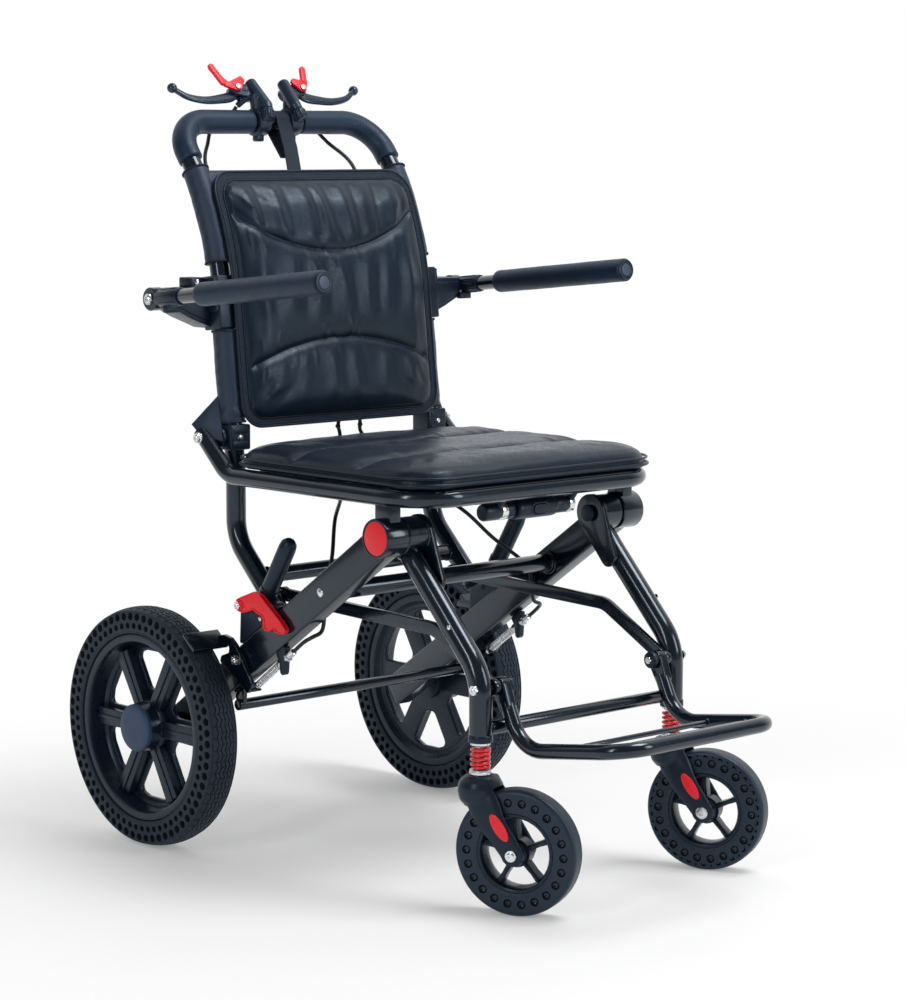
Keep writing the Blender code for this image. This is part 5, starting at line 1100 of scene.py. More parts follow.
def slab_faces(columns, rows):
    """The faces of a closed slab: a lower and an upper grid of points, row by row, and its rim."""
    n, m = columns + 1, (columns + 1) * (rows + 1)
    faces = []
    for j in range(rows):
        for i in range(columns):
            a = j * n + i
            faces.append((a, a + n, a + n + 1, a + 1))
            faces.append((m + a, m + a + 1, m + a + n + 1, m + a + n))
    ring = [j * n for j in range(rows + 1)] + [rows * n + i for i in range(1, n)]
    ring += [j * n + columns for j in range(rows - 1, -1, -1)] + [i for i in range(columns - 1, 0, -1)]
    return faces + [(a, m + a, m + b, b) for a, b in zip(ring, ring[1:] + ring[:1])]


def pad_form(half_width, low, high, corner_r, rise_of, cell=0.005):
    """A flat pad in local (x, v, h): a grid with round corners, its rise, and a flat underside."""
    centre, half_length = (low + high) / 2, (high - low) / 2
    columns, rows = round(2 * half_width / cell), round(2 * half_length / cell)
    points = []
    for level in range(2):
        for j in range(rows + 1):
            for i in range(columns + 1):
                x = half_width * (2 * i / columns - 1)
                v = half_length * (2 * j / rows - 1)
                cx, cv = half_width - corner_r, half_length - corner_r
                dx, dv = abs(x) - cx, abs(v) - cv
                inside = min(half_width - abs(x), half_length - abs(v))
                if dx > 0 and dv > 0:
                    reach, length = max(dx, dv), math.hypot(dx, dv)
                    x = math.copysign(cx + dx * reach / length, x)
                    v = math.copysign(cv + dv * reach / length, v)
                    inside = corner_r - reach
                points.append((x, v + centre, 0.0 if level == 0 else rise_of(inside, x)))
    return np.array(points), slab_faces(columns, rows)


def crease_field(creases, x, v):
    """Soft folds: each is a ridge at (x, v) that runs a length along a direction."""
    total = np.zeros_like(x)
    for cx, cv, lean, length, width, height in creases:
        sin, cos = math.sin(lean), math.cos(lean)
        along = (x - cx) * sin + (v - cv) * cos
        across = (x - cx) * cos - (v - cv) * sin + 0.0025 * np.sin(along / 0.021 + cx * 40)
        total += height * np.exp(-(across / width) ** 2) * np.exp(-(along / (length / 2)) ** 4)
    return total


def rough_field(points, scale, depth):
    """Low waves over a surface, from noise at each point."""
    return np.array([noise.noise(Vector(p) * scale) for p in points]) * depth


def channel(distance, depth, half):
    """A sewn channel's drop at a distance from its seam, and the fine line of the seam itself."""
    d, line = np.abs(distance), 0.0003
    return -depth * np.exp(-(d / half) ** 1.05) - line * np.exp(-(d / 0.0012) ** 2)


def outline_run(half_width, low, high, corner_r, count):
    """Even (x, v) points round a rectangle with round corners."""
    cx, lv, hv = half_width - corner_r, low + corner_r, high - corner_r
    dense = []
    for (ax, av), start in (((cx, lv), -90), ((cx, hv), 0), ((-cx, hv), 90), ((-cx, lv), 180)):
        dense += arc((ax, av), corner_r, start, start + 90, 24)
    dense.append(dense[0])
    runs = [0.0]
    for p, q in zip(dense, dense[1:]):
        runs.append(runs[-1] + math.hypot(q[0] - p[0], q[1] - p[1]))
    goal = np.linspace(0, runs[-1], count + 1)[:-1]
    return list(zip(np.interp(goal, runs, [p[0] for p in dense]),
                    np.interp(goal, runs, [p[1] for p in dense])))


def stitches(run, radius):
    """Short thread stitches along a closed run of points, each sunk at its ends."""
    parts, every, share = [], 2, 0.62
    for i in range(0, len(run) - 1, every):
        a, b = Vector(run[i]), Vector(run[(i + every) % len(run)])
        p, q = a.lerp(b, (1 - share) / 2), a.lerp(b, (1 + share) / 2)
        parts.append(sweep([p, p.lerp(q, 0.12), p.lerp(q, 0.5), p.lerp(q, 0.88), q], radius, 6,
                           lambda t, k: 0.35 + 0.65 * math.sin(math.pi * min(max(t, 0.08), 0.92)) ** 0.5))
    return merged(parts)


# Seat
def seat_seams(x):
    return -0.098 + 0.010 * (x / 0.2) ** 2, 0.040 - 0.010 * (x / 0.2) ** 2


def seat_pad():
    low, high, half_width, corner = SEAT_FRONT_Y - 0.008, 0.156, RAIL_X + 0.005, 0.055
    base = SEAT_Z + RAIL_R + 0.0005

    def rise(inside, x):
        share = min(1.0, inside / 0.038)
        return 0.0100 + 0.0185 * math.sqrt(1 - (1 - share) ** 2) + 0.0015 * (1 - (x / half_width) ** 2)

    points, faces = puffed(pad_form(half_width - 0.0020, low + 0.0020, high - 0.0020, corner, rise))
    x, v, h = points[:, 0], points[:, 1], points[:, 2]
    inside = np.minimum(half_width - np.abs(x), np.minimum(v - low, high - v))
    top = np.clip((h - 0.010) / 0.010, 0, 1)
    drop = np.zeros_like(h)
    for seam, middle in enumerate(seat_seams(x)):
        pucker = 1 + 0.08 * np.sin(x / 0.0075 + 2.1 * np.sin(x / 0.031 + seam))
        drop += channel(v - middle, 0.0064, 0.0095) * pucker * np.clip(inside / 0.016, 0, 1)
    creases = []
    for k in range(26):
        seam = k % 2
        cx = -0.185 + 0.37 * RNG.random()
        cv = seat_seams(cx)[seam] + RNG.choice((-1, 1)) * (0.014 + 0.012 * RNG.random())
        creases.append((cx, cv, 0.5 * (RNG.random() - 0.5), 0.022 + 0.026 * RNG.random(),
                        0.004 + 0.004 * RNG.random(), 0.00045 + 0.0005 * RNG.random()))
    for k in range(7):
        creases.append((-0.18 + 0.06 * k + 0.02 * RNG.random(), -0.150 + 0.03 * RNG.random(),
                        0.9 * (RNG.random() - 0.5), 0.05, 0.011, 0.0008))
    drop += crease_field(creases, x, v) * top + rough_field(points, 14.0, 0.0014) * top
    drop += rough_field(points, 40.0, 0.0005) * top
    points[:, 2] = np.maximum(h + drop * top, 0.0)
    pad = (points + [0, 0, base], faces)
    cushion = piece("seat_pad", "chassis", LEATHER, [pad], ["seat_cushion"], 80)
    parts = []
    for count, out, z, radius in ((260, 0.0012, 0.0048, 0.0021), (260, 0.0004, 0.0125, 0.0016)):
        run = outline_run(half_width - 0.0010 + out, low + 0.0010 - out, high - 0.0010 + out,
                          corner, count)
        parts.append(sweep([Vector((px, py, base + z)) for px, py in run], radius, 12, closed=True))
    piece("seat_piping", "chassis", PIPING, parts, angle=60)
    sheet = pad_form(RAIL_X - 0.0085, SEAT_FRONT_Y + 0.0085, 0.135, SEAT_CORNER_R - 0.0085,
                     lambda inside, x: 0.0018, 0.008)
    sheet[0][:, 2] += SEAT_Z + 0.0086 - 0.0030 * (1 - (sheet[0][:, 0] / 0.1915) ** 2)
    sling = piece("seat_sheet", "chassis", CLOTH, [sheet], ["seat_sling"], 60)
    tabs = [block((s * 0.170, y - 0.011, SEAT_Z + 0.0040), (s * 0.1925, y + 0.011, SEAT_Z + 0.0058), 0.0006)
            for s in SIDES for y in (-0.11, -0.01, 0.09)]
    piece("sling_tabs", "chassis", WEBBING, tabs)


# Backrest
LINK_IN, LINK_OUT = 0.1400, 0.1478
KNEE_LINE = (Vector((TUBE_Y, BEND_Z)) - BACK_LOW).normalized()
LINK_REAR = BACK_LOW + KNEE_LINE * 0.0192
BACK_CROSS = BACK_LOW + KNEE_LINE * 0.0510
SLEEVE_R = 0.0162


def back_tube():
    half = rounded([Vector((-TUBE_X, *BACK_LOW)), Vector((-TUBE_X, TUBE_Y, BEND_Z)),
                    Vector((-TUBE_X, TUBE_Y, KNEE_Z))], 0.060)
    half += back_run(-TUBE_X, KNEE_Z, 0.850)[1:]
    half += rounded([Vector((-TUBE_X, back_y(0.850), 0.850)), Vector((-TUBE_X, HANDLE_Y, HANDLE_Z)),
                     Vector((0, HANDLE_Y, HANDLE_Z))], HANDLE_R)[1:-1]
    path = half + [Vector((0, HANDLE_Y, HANDLE_Z))] + [Vector((-p.x, p.y, p.z)) for p in half[::-1]]
    parts = [sweep(path, TUBE_R, 36, up=(0, 1, 0))]
    for s in SIDES:
        parts.append(x_rod(s * (LINK_OUT + 0.0004), s * TUBE_X, LINK_REAR, 0.0075, 32))
    piece("back_tube", "backrest", PAINT, parts, ["backrest_frame"])
    end = TUBE_X - TUBE_R - 0.0003
    bar = [x_rod(-end, end, BACK_CROSS, 0.010, 36)]
    for s in SIDES:
        bar.append(cross_bead(s * (end - 0.0008), BACK_CROSS, 0.0102, 0.0012, 20, 40))
    piece("back_bar", "backrest", PAINT, bar, ["back_cross_tube"])
    caps = []
    down = Vector((0, *(-KNEE_LINE)))
    for s in SIDES:
        low = Vector((s * TUBE_X, *BACK_LOW))
        caps.append(rod(low - down * 0.0006, low + down * 0.0020, 0.0124, 32, 0.0010))
    piece("tube_caps", "backrest", PLASTIC, caps)


def handle_foam(side):
    path = rounded([Vector((side * TUBE_X, back_y(FOAM_LOW_Z), FOAM_LOW_Z)),
                    Vector((side * TUBE_X, HANDLE_Y, HANDLE_Z)),
                    Vector((side * 0.040, HANDLE_Y, HANDLE_Z))], HANDLE_R, math.radians(1.6))
    long_run = []
    for a, b in zip(path, path[1:]):
        count = max(1, round((b - a).length / 0.0010))
        long_run += [a.lerp(b, i / count) for i in range(count)]
    long_run.append(path[-1])
    total = sum((b - a).length for a, b in zip(long_run, long_run[1:]))

    def swell(t, angle):
        ends = min(t, 1 - t) * total
        r = 1 - 0.10 * max(0.0, 1 - ends / 0.0022) ** 2
        inner = max(0.0, math.cos(angle - side * math.pi / 2))
        bend = math.exp(-((t - 0.325) / 0.17) ** 4)
        if side > 0:
            fold = 0.5 + 0.5 * math.sin(t * total / 0.00072 + angle)
            r -= 0.040 * bend * (0.35 + 0.65 * inner) * fold ** 2
        else:
            r -= 0.13 * math.exp(-((t - 0.33) / 0.012) ** 2) * inner ** 2
            r -= 0.06 * math.exp(-((t - 0.26) / 0.009) ** 2) * inner ** 3
        return r + 0.006 * math.sin(9 * t + 2 * angle + side)

    foam = sweep(long_run, 0.0155, 48, swell, up=(0, 1, 0))
    piece(f"handle_foam_{NAME[side]}", "backrest", FOAM, [foam], [f"handlebar_foam_{NAME[side]}"], 50)


def back_map(points, away):
    """Local (x, v, h) points laid on the backrest tube's curve, h in front of its middle."""
    return np.array([(x, back_y(v) - (away + h) * math.hypot(1, slope_at(v, 0.01)), v) for x, v, h in points])


def back_seams(x):
    return 0.640 - 0.036 * (x / 0.155) ** 2, 0.7505 + 0.050 * (x / 0.155) ** 2


def back_pad():
    low, high, half_width, corner = 0.532, 0.851, 0.165, 0.030
    edge = 0.0100

    def rise(inside, x):
        share = min(1.0, inside / 0.036)
        return 0.0050 + 0.0108 * math.sqrt(1 - (1 - share) ** 2) + 0.0012 * (1 - (x / half_width) ** 2)

    points, faces = puffed(pad_form(half_width - edge, low + edge, high - edge, corner - 0.006, rise))
    x, v, h = points[:, 0], points[:, 1], points[:, 2]
    inside = np.minimum(half_width - edge - np.abs(x), np.minimum(v - low - edge, high - edge - v))
    top = np.clip((h - 0.005) / 0.006, 0, 1)
    drop = np.zeros_like(h)
    for k, seam in enumerate(back_seams(x)):
        pucker = 1 + 0.05 * np.sin(x / 0.0085 + 1.9 * np.sin(x / 0.027 + k))
        drop += channel(v - seam, 0.0068, 0.0066) * pucker * np.clip(inside / 0.014, 0, 1)
    creases = []
    for k, cx in enumerate((-0.124, -0.081, -0.036, -0.012, 0.031, 0.066, 0.112)):
        lean = cx * 0.9 + 0.10 * (RNG.random() - 0.5)
        creases.append((cx, 0.812 + 0.008 * RNG.random(), lean, 0.085 + 0.02 * RNG.random(),
                        0.0090 + 0.004 * RNG.random(), 0.0014 + 0.0020 * RNG.random()))
        creases.append((cx + 0.017, 0.808, lean, 0.07, 0.0070, -0.0008 - 0.0006 * RNG.random()))
    for k in range(7):
        cx = -0.125 + 0.042 * k + 0.014 * (RNG.random() - 0.5)
        creases.append((cx, 0.715 - 0.012 * RNG.random(), 0.16 * (RNG.random() - 0.5), 0.072, 0.0095,
                        0.0012 + 0.0010 * RNG.random()))
        creases.append((cx + 0.02, 0.700, 0.0, 0.06, 0.008, -0.0007))
    for k in range(6):
        cx = -0.110 + 0.044 * k + 0.012 * (RNG.random() - 0.5)
        creases.append((cx, 0.596 - 0.010 * RNG.random(), -cx * 1.2, 0.060, 0.0100,
                        0.0009 + 0.0011 * RNG.random()))
    for k in range(30):
        cx = -0.148 + 0.296 * RNG.random()
        side = RNG.choice((-1, 1))
        seam = back_seams(cx)[1 - k % 2]
        creases.append((cx, seam + side * (0.010 + 0.008 * RNG.random()), 0.5 * (RNG.random() - 0.5),
                        0.018 + 0.02 * RNG.random(), 0.0028 + 0.002 * RNG.random(),
                        0.0003 + 0.0003 * RNG.random()))
    drop += crease_field(creases, x, v) * np.clip(inside / 0.012, 0, 1)
    drop += rough_field(points, 13.0, 0.0010) + rough_field(points, 46.0, 0.0002)
    points[:, 2] = np.maximum(h + drop * top, 0.0)
    away = SLEEVE_R + 0.0010
    pad = piece("back_pad", "backrest", LEATHER, [(back_map(points, away), faces)], ["back_cushion"], 80)

    def laid(run, h):
        return [Vector(p) for p in back_map(np.array([(px, pv, h) for px, pv in run]), away)]

    count = 300
    outer, inner = (outline_run(half_width - by, low + by, high - by, corner - by * 0.6, count)
                    for by in (0.0012, 0.0125))
    rings = [laid(outer, 0.0), laid(outer, 0.0034), laid(
        [((a[0] + b[0]) / 2, (a[1] + b[1]) / 2) for a, b in zip(outer, inner)], 0.0048), laid(inner, 0.0044),
        laid(inner, 0.0)]
    border = (np.array([tuple(p) for ring in rings for p in ring]), walls(len(rings), count, True))
    piece("pad_border", "backrest", MESH, [border], angle=60)
    piping = sweep(laid(outline_run(half_width - 0.0008, low + 0.0008, high - 0.0008, corner, count), 0.0034),
                   0.0017, 12, closed=True)
    inner_piping = sweep(laid(outline_run(half_width - 0.0112, low + 0.0112, high - 0.0112, corner - 0.006,
                                          count), 0.0052), 0.0011, 10, closed=True)
    piece("pad_piping", "backrest", PIPING, [piping, inner_piping], angle=60)
    runs = [laid(outline_run(half_width - by, low + by, high - by, corner - by * 0.6, 480), h)
            for by, h in ((0.0040, 0.0046), (0.0086, 0.0051))]
    piece("pad_thread", "backrest", THREAD, [stitches(run, 0.00042) for run in runs])


def back_cover():
    """The cloth sleeves on the tube and the sheet behind the pad."""
    parts = []
    for s in SIDES:
        for low, high in ((0.5375, 0.6545), (0.737, 0.852)):
            run = back_run(s * TUBE_X, low, high, 0.0016)
            length = high - low

            def swell(t, angle, s=s, low=low, length=length):
                z = low + t * length
                outside = max(0.0, math.cos(angle - (math.pi if s < 0 else 0.0)))
                r = 1.0 + 0.020 * math.sin(z / 0.0105 + 1.3 * math.sin(angle)) * (0.3 + 0.7 * outside)
                wrinkle = noise.noise(Vector((2.2 * math.cos(angle), 2.2 * math.sin(angle), z * 95 + s * 7)))
                low_end = math.exp(-((z - 0.546) / 0.024) ** 2)
                r += wrinkle * (0.018 + 0.060 * low_end)
                r += 0.05 * outside ** 6 * (0.6 + 0.4 * math.sin(z / 0.0028))
                ends = min(t, 1 - t) * length
                return r - 0.08 * max(0.0, 1 - ends / 0.0024) ** 2

            parts.append(sweep(run, SLEEVE_R, 56, swell, up=(1, 0, 0)))
    sheet = []
    for high_part, (low, high, half) in enumerate(((0.545, 0.650, 0.160), (0.646, 0.739, 0.1455),
                                                   (0.735, 0.852, 0.160))):
        flat = pad_form(half, low, high, 0.003, lambda inside, x: 0.0038, 0.006)
        points = flat[0]
        wave = rough_field(points, 26.0, 0.0012)
        points[:, 2] += np.where(points[:, 2] > 0.001, 0.0, 1.0) * wave
        sheet.append((back_map(points, 0.0112), flat[1]))
    cover = piece("back_cover", "backrest", CLOTH, parts + sheet, ["back_upholstery"], 70)
    hems = []
    for s in SIDES:
        for z in (0.5390, 0.8508, 0.6530, 0.7382):
            tilt = Matrix.Translation((s * TUBE_X, back_y(z), z)) @ Matrix.Rotation(
                -math.atan(slope_at(z)), 4, "X")
            ring = [tilt @ Vector((0.0164 * math.cos(a), 0.0164 * math.sin(a), 0.0)) for a in angles(64)]
            hems.append(weld_bead(ring, 0.0014, 21, 0.25))
    piece("sleeve_hems", "backrest", WEBBING, hems, angle=60)


def hinge_flap(side):
    """The stiff three-cornered flap of cloth over the backrest hinge."""
    s = side
    top = Vector((s * 0.1800, back_y(0.572) + 0.006, 0.572))
    tip = Vector((s * 0.2060, 0.2160, 0.5360))
    heel = tip + Vector((-s * 0.003, -0.014, -0.0120))
    front = Vector((s * 0.1905, 0.1740, 0.5170))
    mid = (top + tip + heel + front) / 4
    out = (tip - top).cross(front - top).normalized()
    if out.x * s < 0:
        out = -out
    count, points = 18, []
    for level in (1, -1):
        for i in range(count + 1):
            for j in range(count + 1):
                u, w = i / count, j / count
                near = top.lerp(front, w)
                far = tip.lerp(heel, w)
                at = near.lerp(far, u)
                belly = math.sin(math.pi * u) * math.sin(math.pi * min(1.0, w + 0.15))
                points.append(at + out * (0.0010 * level + 0.0030 * belly))
    piece(f"flap_{NAME[side]}", "backrest", CLOTH, [(np.array([tuple(p) for p in points]),
                                                     slab_faces(count, count))], angle=70)
    edge = sweep([top + (mid - top) * 0.02, tip + (mid - tip) * 0.02, heel + (mid - heel) * 0.02,
                  front + (mid - front) * 0.02], 0.0013, 10)
    piece(f"flap_edge_{NAME[side]}", "backrest", WEBBING, [edge], angle=60)


def top_strap():
    """The strap sewn to the panel's top and looped over the bar."""
    bar = Vector((HANDLE_Y, HANDLE_Z))
    low_front = Vector((back_y(0.846) - 0.0150, 0.846))
    low_rear = low_front.lerp(bar, 0.36) + Vector((0.0022, -0.0030))
    loop = [low_front]
    for a in range(170, -21, -10):
        t = math.radians(a + 6)
        loop.append(bar + Vector((-math.cos(math.pi - t), math.sin(t))) * 0.0142)
    loop.append(low_rear)
    middle = rounded([(0, *low_front), (0, *(low_front * 0.5 + loop[1] * 0.5)), (0, *loop[1])], 0.0)
    path = middle + [Vector((0, *p)) for p in loop[2:]]
    points = []
    thick, half = 0.0007, 0.0112
    for i, at in enumerate(path):
        normal = Vector((1, 0, 0)).cross(tangent(path, i)).normalized()
        for sx, sn in ((-1, -1), (1, -1), (1, 1), (-1, 1)):
            drift = 0.004 - 0.022 * min(1.0, max(0.0, (bar.y - 0.010 - at.z) / 0.057))
            points.append(at + Vector((drift + sx * half, 0, 0)) + normal * sn * thick)
    faces = walls(len(path), 4)
    strap = piece("top_strap", "backrest", WEBBING, [(np.array([tuple(p) for p in points]), faces)], angle=30)


seat_pad()
back_tube()
back_pad()
back_cover()
top_strap()
for SIDE in SIDES:
    handle_foam(SIDE)
    hinge_flap(SIDE)


# Front legs, links and footrest
def ribbon(line, half):
    """The outline of a flat bar with round ends along a line of (y, z) points."""
    line = [Vector(p) for p in line]
    left, right = [], []
    for i, at in enumerate(line):
        along = tangent(line, i)
        across = Vector((-along.y, along.x)) * half
        left.append(tuple(at + across))
        right.append(tuple(at - across))
    first, last = (line[0] - line[1]).normalized(), (line[-1] - line[-2]).normalized()

    def cap(at, way):
        base = math.atan2(way.y, way.x)
        return [(at.x + half * math.cos(base + t), at.y + half * math.sin(base + t))
                for t in [math.radians(70 - 20 * k) for k in range(8)]]

    return left + cap(line[-1], last) + right[::-1] + cap(line[0], first)


def front_legs():
    start = HUB + Vector((0.005, -0.0148))
    parts, silver, black = [], [], []
    for s in SIDES:
        corners = [Vector((s * LEG_X, *start)), Vector((s * LEG_X, LEG_Y, 0.277)),
                   Vector((s * LEG_X, LEG_Y, 0.2004))]
        parts.append(sweep(rounded(corners, [0.065]), LEG_R, 36, up=(1, 0, 0)))
        parts.append(lathe([(0, 0), (0.0210, 0), (0.0220, 0.0010), (0.0220, 0.0306), (0.0210, 0.0316),
                            (0, 0.0316)], 56, outwards(s, 0.1472, HUB)))
        parts.append(plate(hull_outline(HUB, 0.0235, (-0.172, 0.376), 0.012, 28), s * 0.1420, s * 0.1482,
                           0.0009, 3))
        parts.append(bead((s * 0.1488, *HUB), (1, 0, 0), 0.0222, 0.0012, 24))
        parts.append(bead((s * LEG_X, *(start + Vector((-0.0052, -0.0070)))), (0, -0.58, -0.81), 0.0140,
                          0.0012, 18))
        parts.append(x_rod(s * 0.1180, s * LEG_X, LINK_AXIS, 0.004, 20))
        parts.append(bead((s * (LEG_X - LEG_R + 0.0004), -0.265, 0.214), (1, 0, 0), 0.0082, 0.0011, 16))
        black.append(lathe([(0, 0), (0.0080, 0), (0.0100, 0.0012), (0.0105, 0.0026), (0.0105, 0.0056),
                            (0.0096, 0.0070), (0, 0.0070)], 40, outwards(s, 0.1177, LINK_AXIS)))
        black.append(lathe([(0.0114, 0), (0.0142, 0), (0.0145, 0.0010), (0.0145, 0.0070), (0.0139, 0.0084),
                            (0.0130, 0.0088)], 48, Matrix.Translation((s * LEG_X, LEG_Y, 0.1996))))
        silver += hexagon((s * (LEG_X + LEG_R - 0.0008), *LINK_AXIS), (s, 0, 0), 0.0064, 0.0032, 0.0012)
        silver.append(lathe([(0, 0), (0.0070, 0), (0.0088, 0.0006), (0.0118, 0.0022), (0.0118, 0.0050),
                             (0.0104, 0.0059), (0, 0.0059)], 40,
                            Matrix.Translation((s * LEG_X, LEG_Y, 0.1945))))
        silver += hexagon((s * 0.1176, *LINK_AXIS), (-s, 0, 0), 0.0046, 0.0026, 0.0010)
        silver += hexagon((s * 0.1418, *HUB), (-s, 0, 0), 0.0042, 0.0026, 0.0010)
        silver.append(screw_head((s * (LEG_X + LEG_R - 0.0004), -0.2245, 0.3300), (s, 0, 0), 0.0030, 0.0006,
                                 0.0016, 0.0012, 0.0013, 20))
    parts.append(x_rod(-LEG_X, LEG_X, (-0.265, 0.214), 0.008, 36))
    piece("leg_tubes", "front_legs", PAINT, parts, ["front_leg_frame"])
    piece("leg_nuts", "front_legs", STEEL, silver)
    piece("leg_knobs", "front_legs", PLASTIC, black)


def fold_link(side):
    bend = Vector((-0.167, 0.318))
    line = rounded([LINK_AXIS.to_3d(), bend.to_3d(), LINK_REAR.to_3d()], [0.040])
    line = [p.xy for p in line]
    bar = plate(ribbon(line, 0.008), side * LINK_IN, side * LINK_OUT, 0.0012, 3)
    ends = [x_rod(side * (LINK_IN - 0.0002), side * (LINK_OUT + 0.0002), at, 0.0096, 36, 0.0010)
            for at in (LINK_AXIS, LINK_REAR)]
    piece(f"link_{NAME[side]}", "fold_links", PAINT, [bar, *ends], [f"fold_link_{NAME[side]}"])
    nut = hexagon((side * (LINK_IN - 0.0001), *LINK_REAR), (-side, 0, 0), 0.0062, 0.0034, 0.0012)
    piece(f"link_nut_{NAME[side]}", "fold_links", STEEL, nut)


def footrest():
    low, front = Vector((-0.302, 0.190)), Vector((-0.465, 0.2136))
    start = LINK_AXIS + (low - LINK_AXIS).normalized() * 0.020
    half = [Vector((-FOOT_X, *p)) for p in (start, low, front)]
    corners = half + [Vector((-p.x, p.y, p.z)) for p in half[::-1]]
    parts = [sweep(rounded(corners, [0.045, 0.040, 0.040, 0.045]), FOOT_R, 36, up=(1, 0, 0.001))]
    for s in SIDES:
        eye = hull_outline(LINK_AXIS, 0.0110, start + (low - start).normalized() * 0.004, 0.0088, 26)
        parts.append(plate([eye, circle(LINK_AXIS, PIN_HOLE_R)], s * 0.1256, s * 0.1386, 0.0016, 3))
    for y in (-0.360, -0.420):
        z = low.y + (y - low.x) / (front.x - low.x) * (front.y - low.y)
        parts.append(x_rod(-FOOT_X, FOOT_X, (y, z), 0.0032, 20))
        for s in SIDES:
            parts.append(bead((s * (FOOT_X - FOOT_R + 0.0008), y, z), (1, 0, 0), 0.0034, 0.0009, 12))
    piece("foot_loop", "footrest", PAINT, parts, ["footrest"])


# Casters
def cut_away(part, cutter, voxel, rounds):
    """The part less the cutter, melted soft again along the cut."""
    obj, tool = plain_object(part), plain_object(cutter)
    minus = obj.modifiers.new("minus", "BOOLEAN")
    minus.operation, minus.object, minus.solver = "DIFFERENCE", tool, "EXACT"
    made = melted(obj, voxel, rounds)
    bpy.data.objects.remove(tool)
    return made


def rounded_square(angle, power):
    """The point of a rounded square of half size 1 that lies at an angle."""
    cos, sin = math.cos(angle), math.sin(angle)
    bulge = (abs(cos) ** power + abs(sin) ** power) ** (-1 / power)
    return cos * bulge, sin * bulge


def loft(stations):
    """A closed form through (centre, half size across, half size deep) stations on a smooth line."""
    sides, across = 28, Vector((1, 0, 0))
    centres = [Vector(c) for c, _, _ in stations]
    path, sizes = [], []
    for i in range((len(centres) - 1) * 4 + 1):
        k, t = min(i // 4, len(centres) - 2), i / 4 - min(i // 4, len(centres) - 2)
        a, b = centres[max(k - 1, 0)], centres[k]
        c, d = centres[k + 1], centres[min(k + 2, len(centres) - 1)]
        path.append(curve_at(a, b, c, d, t))
        sizes.append([stations[k][n] + t * (stations[k + 1][n] - stations[k][n]) for n in (1, 2)])
    points = []
    for at, along, size in zip(path, [tangent(path, i) for i in range(len(path))], sizes):
        one = (across - along * along.dot(across)).normalized()
        two = along.cross(one)
        for angle in angles(sides):
            wide, deep = rounded_square(angle, 2.6)
            points.append(at + one * (size[0] * wide) + two * (size[1] * deep))
    return np.array([tuple(p) for p in points]), walls(len(path), sides)


